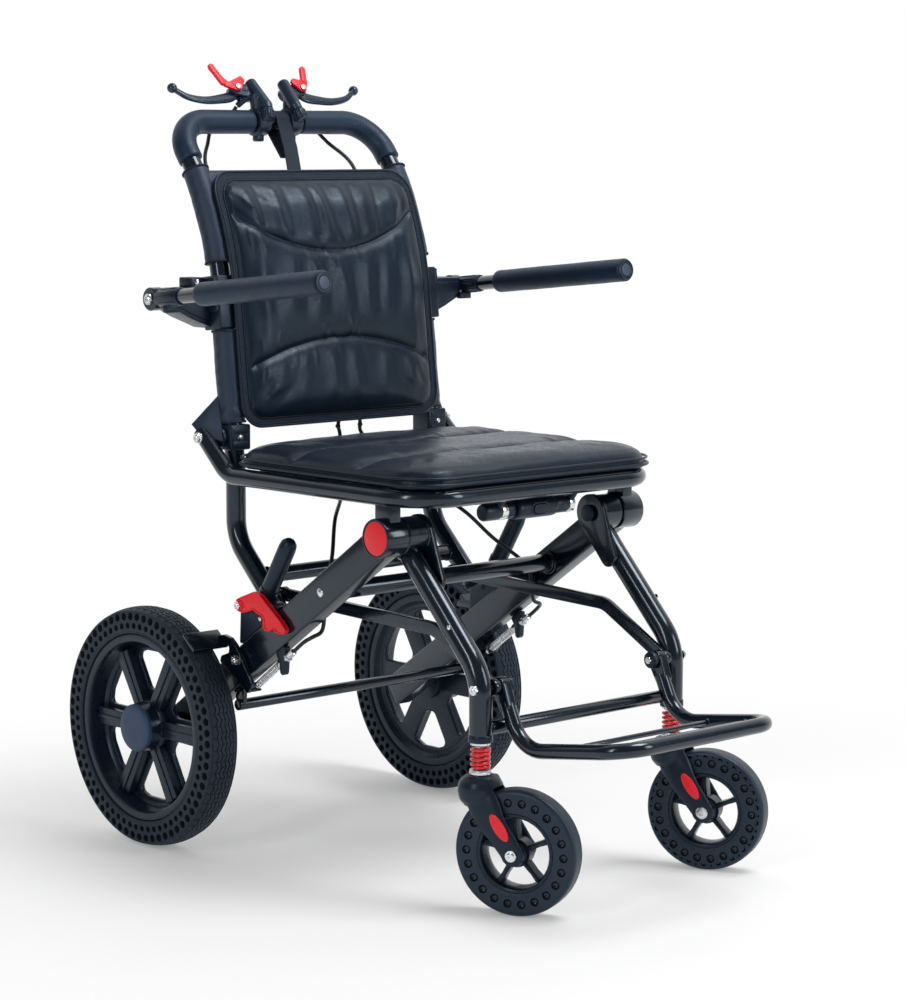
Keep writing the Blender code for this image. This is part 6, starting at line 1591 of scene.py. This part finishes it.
def caster(side):
    name = NAME[side]
    frame3 = Matrix.Translation((side * LEG_X, LEG_Y, 0)) @ Matrix.Rotation(CASTER_TURN, 4, "Z")
    centre = Vector((side * LEG_X, LEG_Y, 0))
    top = FORK_TOP_Z
    profile = [(0, top + 0.0003), (0.0118, top + 0.0003), (0.0130, top + 0.0009), (0.0131, top + 0.0030),
               (0.0122, top + 0.0036), (0.0122, top + 0.0042), (0.0128, top + 0.0048), (0.0126, 0.1678),
               (0.0114, 0.1680), (0.0062, 0.1682), (0.0062, 0.2080), (0, 0.2080)]
    pin = rod(centre + Vector((0, 0, 0.1420)), centre + Vector((0, 0, 0.1640)), 0.005, 24)
    piece(f"stem_{name}", f"caster_stem_{name}", STEEL,
          [lathe(profile, 48, Matrix.Translation(centre)), pin], [f"caster_stem_{name}"])
    low, high = 0.1706, 0.1920
    coil = sweep(helix(centre + Vector((0, 0, low)), centre + Vector((0, 0, high)), 0.0100, 4.5, 28, 0.6),
                 0.0021, 16)
    spring = piece(f"spring_{name}", "front_legs", RED_COAT, [coil], [f"caster_spring_{name}"],
                   60)
    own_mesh(spring)
    crown = lathe([(0, top), (0.0158, top), (0.0170, top - 0.0008), (0.0196, top - 0.0022),
                   (0.0242, top - 0.0068), (0.0264, top - 0.0130), (0.0266, top - 0.0190),
                   (0.0246, top - 0.0290), (0.0180, top - 0.0370), (0, top - 0.0390)], 56)
    body = [crown]
    for w in SIDES:
        body.append(loft([((w * 0.004, 0.000, 0.1520), 0.0170, 0.0210),
                          ((w * 0.008, -0.005, 0.1400), 0.0150, 0.0220),
                          ((w * 0.0150, -0.013, 0.1260), 0.0095, 0.0200),
                          ((w * 0.0200, -0.0225, 0.1100), 0.0050, 0.0172),
                          ((w * 0.0207, -0.0330, 0.0960), 0.0043, 0.0150),
                          ((w * 0.0208, -0.0450, 0.0790), 0.0041, 0.0138)]))
        body.append(rod((w * 0.0167, -TRAIL, CASTER_R), (w * 0.0248, -TRAIL, CASTER_R), 0.0136, 40, 0.0014))
    wheel_space = rod((-0.0167, -TRAIL, CASTER_R), (0.0167, -TRAIL, CASTER_R), 0.0786, 96, 0.0004)
    fork = cut_away(fused(body, 0.0012, 10), wheel_space, 0.0010, 3)
    piece(f"fork_{name}", f"caster_fork_{name}", PLASTIC, [move(fork, frame3)], [f"caster_fork_{name}"], 60)
    ovals, metal = [], []
    lean = math.atan2(0.1260 - 0.0790, -0.013 + 0.045)
    for w in SIDES:
        at = Matrix.Translation((w * 0.0240, -0.0325, 0.1060)) @ SIDE_VIEW @ Matrix.Rotation(lean, 4, "Z")
        oval = [(0.0180 * math.cos(a), 0.0068 * math.sin(a)) for a in angles(48)]
        inner, outer = (0.0006, 0.0024) if w > 0 else (-0.0018, 0.0)
        ovals.append(move(prism(oval, inner, outer, at, 0.0006, 3), frame3))
        on = frame3 @ Vector((w * 0.0249, -TRAIL, CASTER_R))
        way = frame3.to_3x3() @ Vector((w, 0, 0))
        metal += hexagon(on, way, 0.0076, 0.0030, 0.0012) if side < 0 else \
            [lathe([(0.0076, 0), (0.0076, 0.0018), (0.0066, 0.0028), (0.0030, 0.0030), (0.0026, 0.0020),
                    (0, 0.0020)], 36, at_along(on, way))]
    axle = [frame3 @ Vector((w * 0.0262, -TRAIL, CASTER_R)) for w in SIDES]
    metal.append(rod(axle[0], axle[1], 0.0049, 24))
    piece(f"fork_badge_{name}", f"caster_fork_{name}", RED, ovals)
    piece(f"fork_nuts_{name}", f"caster_fork_{name}", STEEL, metal)
    hub_at = frame3 @ Vector((0, -TRAIL, CASTER_R))
    matrix = at_along(hub_at, frame3.to_3x3() @ Vector((1, 0, 0)))
    pit = [(0.96, 0.0005), (0.90, 0.0016), (0.72, 0.0030), (0.45, 0.0039), (0.15, 0.0042)]
    skin, pits = pitted_ring([(0.0485, 0.0695, 0.0598, 0.0052, 0.0)], 22, lambda r: 0.0142, pit, 6, 24)
    tread = lathe([(0.0695, 0.0142), (0.0712, 0.0139), (0.0727, 0.0130), (0.0738, 0.0114), (0.0744, 0.0090),
                   (0.0745, 0.0060), (0.0745, 0.0)], 220)
    inner = lathe([(0.0466, 0.0), (0.0466, 0.0128), (0.0470, 0.0138), (0.0485, 0.0142)], 220)
    piece(f"caster_tyre_{name}", f"caster_wheel_{name}", CASTER_RUBBER,
          [move(merged(both_faces(skin + [tread, inner])), matrix)], [f"caster_wheel_{name}"], 40, 0.00002)
    piece(f"caster_dimples_{name}", f"caster_wheel_{name}", DIMPLE, [move(merged(both_faces(pits)), matrix)],
          angle=80, weld=0.00001)
    rim = lathe([(0.0470, 0.0130), (0.0462, 0.0142), (0.0440, 0.0144), (0.0428, 0.0138), (0.0412, 0.0110),
                 (0.0404, 0.0060), (0.0402, 0.0), (0.0404, -0.0060), (0.0412, -0.0110), (0.0428, -0.0138),
                 (0.0440, -0.0144), (0.0462, -0.0142), (0.0470, -0.0130)], 120, ring=True)
    parts = [rim, lathe([(0.0052, -0.0158), (0.0120, -0.0158), (0.0138, -0.0150), (0.0144, -0.0120),
                         (0.0168, -0.0090), (0.0168, 0.0090), (0.0144, 0.0120), (0.0138, 0.0150),
                         (0.0120, 0.0158), (0.0052, 0.0158)], 64, ring=True)]
    for i in range(5):
        turn = Matrix.Rotation(TAU * i / 5 + 0.22, 4, "Z")
        parts.append(prism([(0.0150, -0.0034), (0.0300, -0.0027), (0.0412, -0.0036), (0.0412, 0.0036),
                            (0.0300, 0.0027), (0.0150, 0.0034)], -0.0080, 0.0080, turn, 0.0010, 3))
        parts.append(prism([(0.0150, -0.0012), (0.0408, -0.0012), (0.0408, 0.0012), (0.0150, 0.0012)],
                           -0.0104, 0.0104, turn, 0.0006, 2))
    piece(f"caster_rim_{name}", f"caster_wheel_{name}", RIM_PLASTIC, [move(merged(parts), matrix)], angle=32)


# Armrests, brackets and hinges
def armrest(side):
    name, x = NAME[side], side * ARM_X
    forward = (ARM_FRONT - ARM_PIVOT).normalized()

    def on_arm(at):
        return Vector((x, at.x, at.y))

    def along_arm(d):
        return on_arm(ARM_PIVOT + forward * d)

    front3 = Vector((0, forward.x, forward.y))
    across, up3 = Vector((side, 0, 0)), Vector((side, 0, 0)).cross(front3)
    sleeve = [rod(along_arm(0.0130), along_arm(0.0560), 0.0112, 36, 0.0012)]
    for angle in angles(10):
        out = (across * math.cos(angle) + up3 * math.sin(angle)) * 0.0108
        sleeve.append(rod(along_arm(0.0190) + out, along_arm(0.0500) + out, 0.0014, 10, 0.0005))
    piece(f"arm_sleeve_{name}", f"armrest_{name}", PLASTIC, sleeve)
    eye = lathe([(0.0053, -0.0078), (0.0135, -0.0078), (0.0145, -0.0068), (0.0145, 0.0068),
                 (0.0135, 0.0078), (0.0053, 0.0078)], 48, outwards(side, ARM_X, ARM_PIVOT), ring=True)
    bar = rod(along_arm(0.0095), on_arm(ARM_FRONT + forward * 0.001), ARM_R, 36)
    piece(f"arm_tube_{name}", f"armrest_{name}", PAINT, [bar, eye], [f"armrest_tube_{name}"])
    rear = ARM_PIVOT + forward * ((ARM_PIVOT.x - FOAM_REAR_Y) / -forward.x)
    length = (ARM_FRONT - rear).length
    run = [0.0, 0.0006, 0.0018, 0.0036, 0.0062, 0.0090]
    grow = [0.700, 0.800, 0.885, 0.945, 0.985, 1.0] if side < 0 else [0.86, 0.94, 0.98, 1.0, 1.0, 1.0]
    run += [0.009 + (length - 0.0105) * k / 60 for k in range(1, 61)]
    grow += [1.0] * 60
    run += [length - 0.0010, length - 0.0004, length]
    grow += [0.995, 0.975, 0.93]
    points = [on_arm(rear + forward * d) for d in run]

    def swell(t, angle):
        d = t * run[-1]
        g = np.interp(d, run, grow)
        return g * (1 + 0.006 * math.sin(d * 60 + 2 * angle) + 0.004 * math.sin(d * 150 + angle))

    foam = sweep(points, 0.0148, 48, swell, up=(1, 0, 0))
    piece(f"arm_foam_{name}", f"armrest_{name}", FOAM, [foam], [f"armrest_foam_{name}"], 60)
    cap_at = at_along(on_arm(ARM_FRONT + forward * 0.0003), front3)
    ring = lathe([(0.0082, 0), (0.0126, 0), (0.0130, 0.0006), (0.0126, 0.0016), (0.0102, 0.0022),
                  (0.0084, 0.0018), (0.0082, 0.0010)], 56, cap_at, ring=True)
    piece(f"arm_cap_{name}", f"armrest_{name}", PLASTIC, [ring])
    disc = lathe([(0, 0.0021), (0.0064, 0.0021), (0.0078, 0.0018), (0.0083, 0.0010), (0.0083, 0.0)], 56,
                 cap_at)
    piece(f"arm_disc_{name}", f"armrest_{name}", CAP_DISC, [disc])


def arm_bracket(side):
    s, name = side, NAME[side]
    low, high = 0.655, 0.722
    middle, half = (low + high) / 2, (high - low) / 2
    slope = math.atan2(back_y(high) - back_y(low), high - low)
    frame3 = Matrix.Translation((0, back_y(middle), middle)) @ Matrix.Rotation(-slope, 4, "X")
    parts = [block((s * 0.1505, -0.0150, -half), (s * 0.1850, 0.0185, half), 0.0022, frame3),
             block((s * 0.1835, -0.0135, -half + 0.022), (s * 0.1885, 0.0170, half - 0.002), 0.0012, frame3)]
    arm_end = ARM_X - 0.0105
    into_page = Matrix.Translation((0, ARM_PIVOT.x, 0)) @ Matrix.Rotation(math.radians(90), 4, "X")
    reach = [(0.1800, 0.7080), (arm_end, 0.7070), (arm_end, 0.6830), (0.2150, 0.6700), (0.1800, 0.6560)]
    parts.append(prism([(s * x, z) for x, z in reach], -0.0145, 0.0260, into_page, 0.0014, 3))
    ridge = [(0.1850, 0.7020), (arm_end - 0.0040, 0.7012), (arm_end - 0.0040, 0.6862), (0.2140, 0.6752),
             (0.1850, 0.6640)]
    parts.append(prism([(s * x, z) for x, z in ridge], 0.0250, 0.0274, into_page, 0.0008, 2))
    for k in range(3):
        parts.append(block((s * 0.2165, 0.2038 - 0.0012, 0.6890 + 0.0052 * k),
                           (s * (arm_end - 0.0050), 0.2038 + 0.0002, 0.6916 + 0.0052 * k), 0.0006))
    parts.append(block((s * 0.1870, 0.2130, 0.7070), (s * 0.2080, 0.2380, 0.7200), 0.0018))
    rise = (ARM_FRONT.y - ARM_PIVOT.y) / (ARM_PIVOT.x - ARM_FRONT.x)
    rest_z = ARM_PIVOT.y + (ARM_PIVOT.x - 0.203) * rise - ARM_R / math.cos(math.atan(rise))
    parts.append(block((s * (arm_end - 0.004), 0.1990, rest_z - 0.0090),
                       (s * (ARM_X + 0.005), 0.2070, rest_z - 0.0006), 0.0008))
    parts.append(x_rod(s * (arm_end - 0.005), s * (ARM_X - 0.0081), ARM_PIVOT, 0.0090, 32))
    parts.append(x_rod(s * (arm_end - 0.005), s * (ARM_X + 0.0090), ARM_PIVOT, 0.005, 24))
    piece(f"arm_clamp_{name}", "backrest", PLASTIC, parts, [f"armrest_bracket_{name}"])
    bolts = hexagon((s * (ARM_X + 0.0081), *ARM_PIVOT), (s, 0, 0), 0.0080, 0.0030, 0.0016)
    bolts.append(screw_head((s * 0.1975, 0.2133, 0.7135), (0, -1, 0), 0.0044, 0.0010, 0.0030, 0.0020, 0.0023))
    screw = screw_head((s * 0.1884, 0.0020, 0.012), (s, 0, 0), 0.0036, 0.0008, 0.0020, 0.0014, 0.0015)
    bolts.append(move(screw, frame3))
    piece(f"arm_bolts_{name}", "backrest", STEEL, bolts)


def back_hinge(side):
    s, name = side, NAME[side]
    low, high = HINGE.y - 0.016, HINGE.y + 0.016
    mid_y = back_y(HINGE.y)
    parts = [block((s * 0.1505, mid_y - 0.0160, low), (s * 0.1825, mid_y + 0.0160, high), 0.0024),
             plate(hull_outline(HINGE, 0.0112, HINGE + Vector((-0.012, 0.0)), 0.0132, 26), s * 0.1815,
                   s * 0.1885, 0.0010, 3)]
    for dz in (-0.0085, 0.0085):
        parts.append(block((s * 0.1560, mid_y - 0.0168, HINGE.y + dz - 0.0035),
                           (s * 0.1790, mid_y - 0.0150, HINGE.y + dz + 0.0035), 0.0006))
    piece(f"hinge_{name}", "backrest", PLASTIC, parts, [f"back_hinge_{name}"])
    screw = screw_head((s * 0.1675, mid_y - 0.0160, HINGE.y), (0, -1, 0), 0.0036, 0.0008, 0.0020, 0.0016,
                       0.0017)
    piece(f"hinge_bolts_{name}", "backrest", STEEL, [screw])


# Brake levers
TOGGLE_LOW, TOGGLE_HIGH = -0.0122, -0.0080


def lever_frame(side):
    """Local X runs outwards, local Y the way the lever is squeezed, local Z along the pin."""
    down = LEVER_AXIS.cross(Vector((1, 0, 0)))
    along = LEVER_AXIS * side
    return Matrix.Translation((side * LEVER_PIVOT[0], *LEVER_PIVOT[1:])) @ Matrix((
        (side, 0, 0, 0), (0, down.y, along.y, 0), (0, down.z, along.z, 0), (0, 0, 0, 1)))


def lever_slab(side, outline, low, high, bevel=0.001):
    low, high = sorted((side * low, side * high))
    return prism(outline, low, high, lever_frame(side), bevel, 3)


def lever_pin(side, low, high, radius):
    made = lever_frame(side)
    return rod(made @ Vector((0, 0, side * low)), made @ Vector((0, 0, side * high)), radius, 28, 0.0004)


def perch(side):
    s, name = side, NAME[side]
    bar = Vector((HANDLE_Y, HANDLE_Z))

    def at(x, back, up):
        return Vector((s * x, HANDLE_Y + back, HANDLE_Z + up))

    clamp = lathe([(TUBE_R + 0.0004, 0), (0.0172, 0), (0.0180, 0.0010), (0.0180, 0.0175), (0.0172, 0.0185),
                   (TUBE_R + 0.0004, 0.0185)], 56, outwards(s, 0.0175, bar), ring=True)
    solid = [x_rod(s * 0.0178, s * 0.0357, bar, 0.0176, 40),
             rod(at(0.0265, 0, 0.0130), at(0.0290, 0.0017, 0.0360), 0.0095, 28),
             rod(at(0.0240, -0.0168, 0.0180), at(0.0280, 0.0172, 0.0520), 0.0082, 28, 0.0030),
             lever_slab(s, hull_outline((-0.0220, 0.0030), 0.0100, (0, 0), 0.0080), -0.0076, 0.0066),
             rod(at(0.0340, 0.0072, 0.0350), (s * 0.0495, FERRULE_END.y - 0.0002, FERRULE_END.z + 0.0007),
                 0.0042, 24)]
    slot_half = 0.0034
    cutter = lever_slab(s, hull_outline((0.001, 0), 0.0122, (0.030, 0.012), 0.0140), -slot_half, slot_half,
                        0.0002)
    body = cut_away(fused(solid, 0.0008, 5), cutter, 0.0007, 2)
    bore = x_rod(s * 0.0150, s * 0.0400, bar, TUBE_R + 0.0003, 48)
    body = cut_away(body, bore, 0.0007, 1)
    tab = block(at(0.0205, -0.0055, -0.0252), at(0.0330, 0.0055, -0.0150), 0.0024)
    pin = lever_pin(s, TOGGLE_LOW - 0.0010, 0.0064, 0.0024)
    piece(f"perch_{name}", "backrest", PERCH, [body, clamp, tab, pin], [f"brake_perch_{name}"], 60)
    way = (at(0.0285, -0.0248, 0.0020) - at(0.0240, -0.0148, 0.0210)).normalized()
    start = at(0.0240, -0.0140, 0.0225)
    barrel = [lathe([(0, 0), (0.0064, 0), (0.0074, 0.0008), (0.0074, 0.0060), (0.0064, 0.0070),
                     (0.0076, 0.0078), (0.0082, 0.0088), (0.0082, 0.0200), (0.0074, 0.0216), (0.0052, 0.0220),
                     (0.0048, 0.0212), (0, 0.0208)], 40, at_along(start, way))]
    base = start + way * 0.0105
    turn = frame_along(way).to_3x3()
    for angle in angles(18):
        out = base + turn @ Vector((math.cos(angle), math.sin(angle), 0)) * 0.0082
        barrel.append(rod(out, out + way * 0.0098, 0.0008, 8, 0.0002))
    piece(f"barrel_{name}", "backrest", PERCH, barrel)
    ridges = []
    for dy in (-0.0038, 0.0038):
        outline = [(-0.0275, dy - 0.0010), (-0.0090, dy - 0.0040), (-0.0085, dy - 0.0015),
                   (-0.0270, dy + 0.0018)]
        ridges.append(lever_slab(s, round_outline(outline, 0.001), -0.0084, -0.0070, 0.0004))
    screws = [lever_pin(s, TOGGLE_LOW - 0.0022, TOGGLE_LOW - 0.0004, 0.0042),
              lever_pin(s, 0.0064, 0.0080, 0.0038)]
    piece(f"perch_ribs_{name}", "backrest", PERCH, ridges)
    piece(f"perch_pins_{name}", "backrest", STEEL, screws)


def brake_lever(side):
    name = NAME[side]
    line = [(0.0, 0.0), (0.008, 0.0075), (0.024, 0.0112), (0.052, 0.0136), (0.078, 0.0090), (0.0945, -0.0012)]
    widths = [0.0076, 0.0070, 0.0058, 0.0050, 0.0043, 0.0034]
    path = smooth([Vector((*p, 0)) for p in line], 0.003)
    count, sides = len(path), 28
    points = []
    for i, at in enumerate(path):
        along = tangent(path, i)
        across = Vector((-along.y, along.x, 0))
        wide = np.interp(i / (count - 1) * 5, range(6), widths)
        for angle in angles(sides):
            cos, sin = rounded_square(angle, 3)
            points.append(at + across * (wide * cos) + Vector((0, 0, 0.0030 * sin)))
    frame3 = lever_frame(side)
    blade = move((np.array([tuple(p) for p in points]), walls(count, sides)), frame3)
    knob = ball((0.0980, -0.0040, 0), 0.0066, frame3)
    parts = [blade, knob, lever_pin(side, -0.0030, 0.0030, 0.0080)]
    piece(f"lever_{name}", f"brake_lever_{name}", LEVER, parts, [f"brake_lever_{name}"], 50)


TOGGLES = {
    -1: [(-0.0156, -0.0105), (-0.0107, -0.0173), (0.0060, -0.0105), (0.0125, -0.0075), (0.0185, -0.0130),
         (0.0300, -0.0345), (0.0365, -0.0290), (0.0245, -0.0065), (0.0200, -0.0010), (0.0100, 0.0020),
         (0.0030, 0.0048), (-0.0045, 0.0040)],
    1: [(-0.0165, -0.0090), (-0.0120, -0.0150), (-0.0020, -0.0125), (0.0035, -0.0150), (0.0080, -0.0310),
        (0.0150, -0.0300), (0.0120, -0.0110), (0.0085, -0.0020), (0.0040, 0.0046), (-0.0040, 0.0046)],
}
ARMS = {-1: ((0.0225, -0.0068), (0.0322, -0.0300)), 1: ((0.0062, -0.0115), (0.0112, -0.0285))}


def toggle(side):
    name = NAME[side]
    outline = round_outline(TOGGLES[side], 0.003)
    arm, tip = ARMS[side]
    parts = [lever_slab(side, outline, TOGGLE_LOW, TOGGLE_HIGH),
             lever_slab(side, hull_outline(arm, 0.0042, tip, 0.0040), TOGGLE_LOW - 0.0014,
                        TOGGLE_HIGH - 0.0004, 0.0012)]
    piece(f"toggle_{name}", f"parking_toggle_{name}", RED, parts, [f"parking_toggle_{name}"], 40)


front_legs()
footrest()
for SIDE in SIDES:
    fold_link(SIDE)
    caster(SIDE)
    armrest(SIDE)
    arm_bracket(SIDE)
    back_hinge(SIDE)
    perch(SIDE)
    brake_lever(SIDE)
    toggle(SIDE)


# Camera, light and floor
def camera():
    data = bpy.data.cameras.new("camera")
    data.lens = 105.95
    data.sensor_width = 36.0
    data.clip_end = 60.0
    obj = bpy.data.objects.new("camera", data)
    bpy.context.scene.collection.objects.link(obj)
    azimuth, elevation, roll = math.radians(-42.87), math.radians(7.06), math.radians(0.12)
    back = Vector((math.sin(azimuth) * math.cos(elevation), -math.cos(azimuth) * math.cos(elevation),
                   math.sin(elevation)))
    turn = (-back).to_track_quat("-Z", "Y").to_matrix().to_4x4()
    obj.matrix_world = Matrix.Translation((-2.4628, -2.6626, 0.8962)) @ turn @ Matrix.Rotation(roll, 4, "Z")
    bpy.context.scene.camera = obj


def lamp(name, at, aim, size, power):
    data = bpy.data.lights.new(name, "AREA")
    data.shape = "RECTANGLE"
    data.size, data.size_y = size
    data.energy = power
    obj = bpy.data.objects.new(name, data)
    at, aim = Vector(at), Vector(aim)
    obj.matrix_world = Matrix.Translation(at) @ (aim - at).to_track_quat("-Z", "Y").to_matrix().to_4x4()
    bpy.context.scene.collection.objects.link(obj)


def rays(tree, *kinds):
    """1 for a ray of any of the kinds, and 0 for the others."""
    path = tree.nodes.new("ShaderNodeLightPath")
    value = path.outputs[kinds[0]]
    for kind in kinds[1:]:
        value = math_node(tree, "MAXIMUM", value, path.outputs[kind])
    return value


def studio():
    """A white cyclorama behind the chair, a darker room in front of it and three soft lamps."""
    world = bpy.data.worlds.new("studio")
    world.use_nodes = True
    tree = world.node_tree
    sky = tree.nodes["Background"]
    way = add(tree, "ShaderNodeVectorMath", {0: tree.nodes.new("ShaderNodeTexCoord").outputs["Generated"],
                                             1: (0.62, 0.67, 0.41)}, operation="DOT_PRODUCT").outputs["Value"]
    behind = add(tree, "ShaderNodeMapRange", {0: way, 1: 0.22, 2: 0.85, 3: 0.0, 4: 1.0},
                 interpolation_type="SMOOTHSTEP").outputs[0]
    sky.inputs["Color"].default_value = (1, 1, 1, 1)
    tree.links.new(math_node(tree, "MULTIPLY_ADD", behind, 0.70, 0.20), sky.inputs["Strength"])
    white = add(tree, "ShaderNodeBackground", {"Color": (1, 1, 1, 1), "Strength": 1.0})
    mirror = math_node(tree, "MULTIPLY", rays(tree, "Is Glossy Ray", "Is Transmission Ray"), behind)
    seen = math_node(tree, "MAXIMUM", rays(tree, "Is Camera Ray"), mirror)
    mix = add(tree, "ShaderNodeMixShader", {0: seen, 1: sky.outputs[0], 2: white.outputs[0]})
    tree.links.new(mix.outputs[0], tree.nodes["World Output"].inputs["Surface"])
    bpy.context.scene.world = world
    bpy.context.scene.view_settings.view_transform = "Standard"
    size = 14.0
    floor = bpy.data.meshes.new("floor")
    floor.from_pydata([(-size, -size, 0), (size, -size, 0), (size, size, 0), (-size, size, 0)], [],
                      [(0, 1, 2, 3)])
    floor_obj = bpy.data.objects.new("floor", floor)
    bpy.context.scene.collection.objects.link(floor_obj)
    mat, tree, shader, coords = nodes_of("pale_floor", (0.93, 0.93, 0.93), 0.7,
                                         Specular_Tint=(1, 1, 1, 1))
    cloud = clouds(tree, coords, 3.0, 4.0)
    tree.links.new(ramp(tree, cloud, (0.92, 0.92, 0.92), (0.94, 0.94, 0.94), (0.3, 0.7)),
                   shader.inputs["Base Color"])
    away = add(tree, "ShaderNodeVectorMath", {0: coords, 1: (0.05, -0.1, 0.0)}, operation="DISTANCE")
    far = add(tree, "ShaderNodeMapRange", {0: away.outputs["Value"], 1: 0.40, 2: 1.25, 3: 0.24, 4: 1.0},
              interpolation_type="SMOOTHSTEP").outputs[0]
    seen = rays(tree, "Is Camera Ray", "Is Glossy Ray", "Is Transmission Ray")
    glow = add(tree, "ShaderNodeEmission", {"Color": (1, 1, 1, 1), "Strength": 1.0})
    mix = add(tree, "ShaderNodeMixShader", {0: math_node(tree, "MULTIPLY", far, seen),
                                            1: shader.outputs[0], 2: glow.outputs[0]})
    tree.links.new(mix.outputs[0], tree.nodes["Material Output"].inputs["Surface"])
    floor_obj.data.materials.append(mat)
    lamp("key", (0.7, -1.0, 2.9), (0, 0, 0.45), (1.2, 1.2), 52)
    lamp("strip", (-2.7, -0.7, 1.6), (0, 0, 0.5), (0.35, 1.6), 19)
    lamp("fill", (1.3, -2.8, 1.5), (0, 0, 0.45), (0.9, 1.4), 26)


camera()
studio()
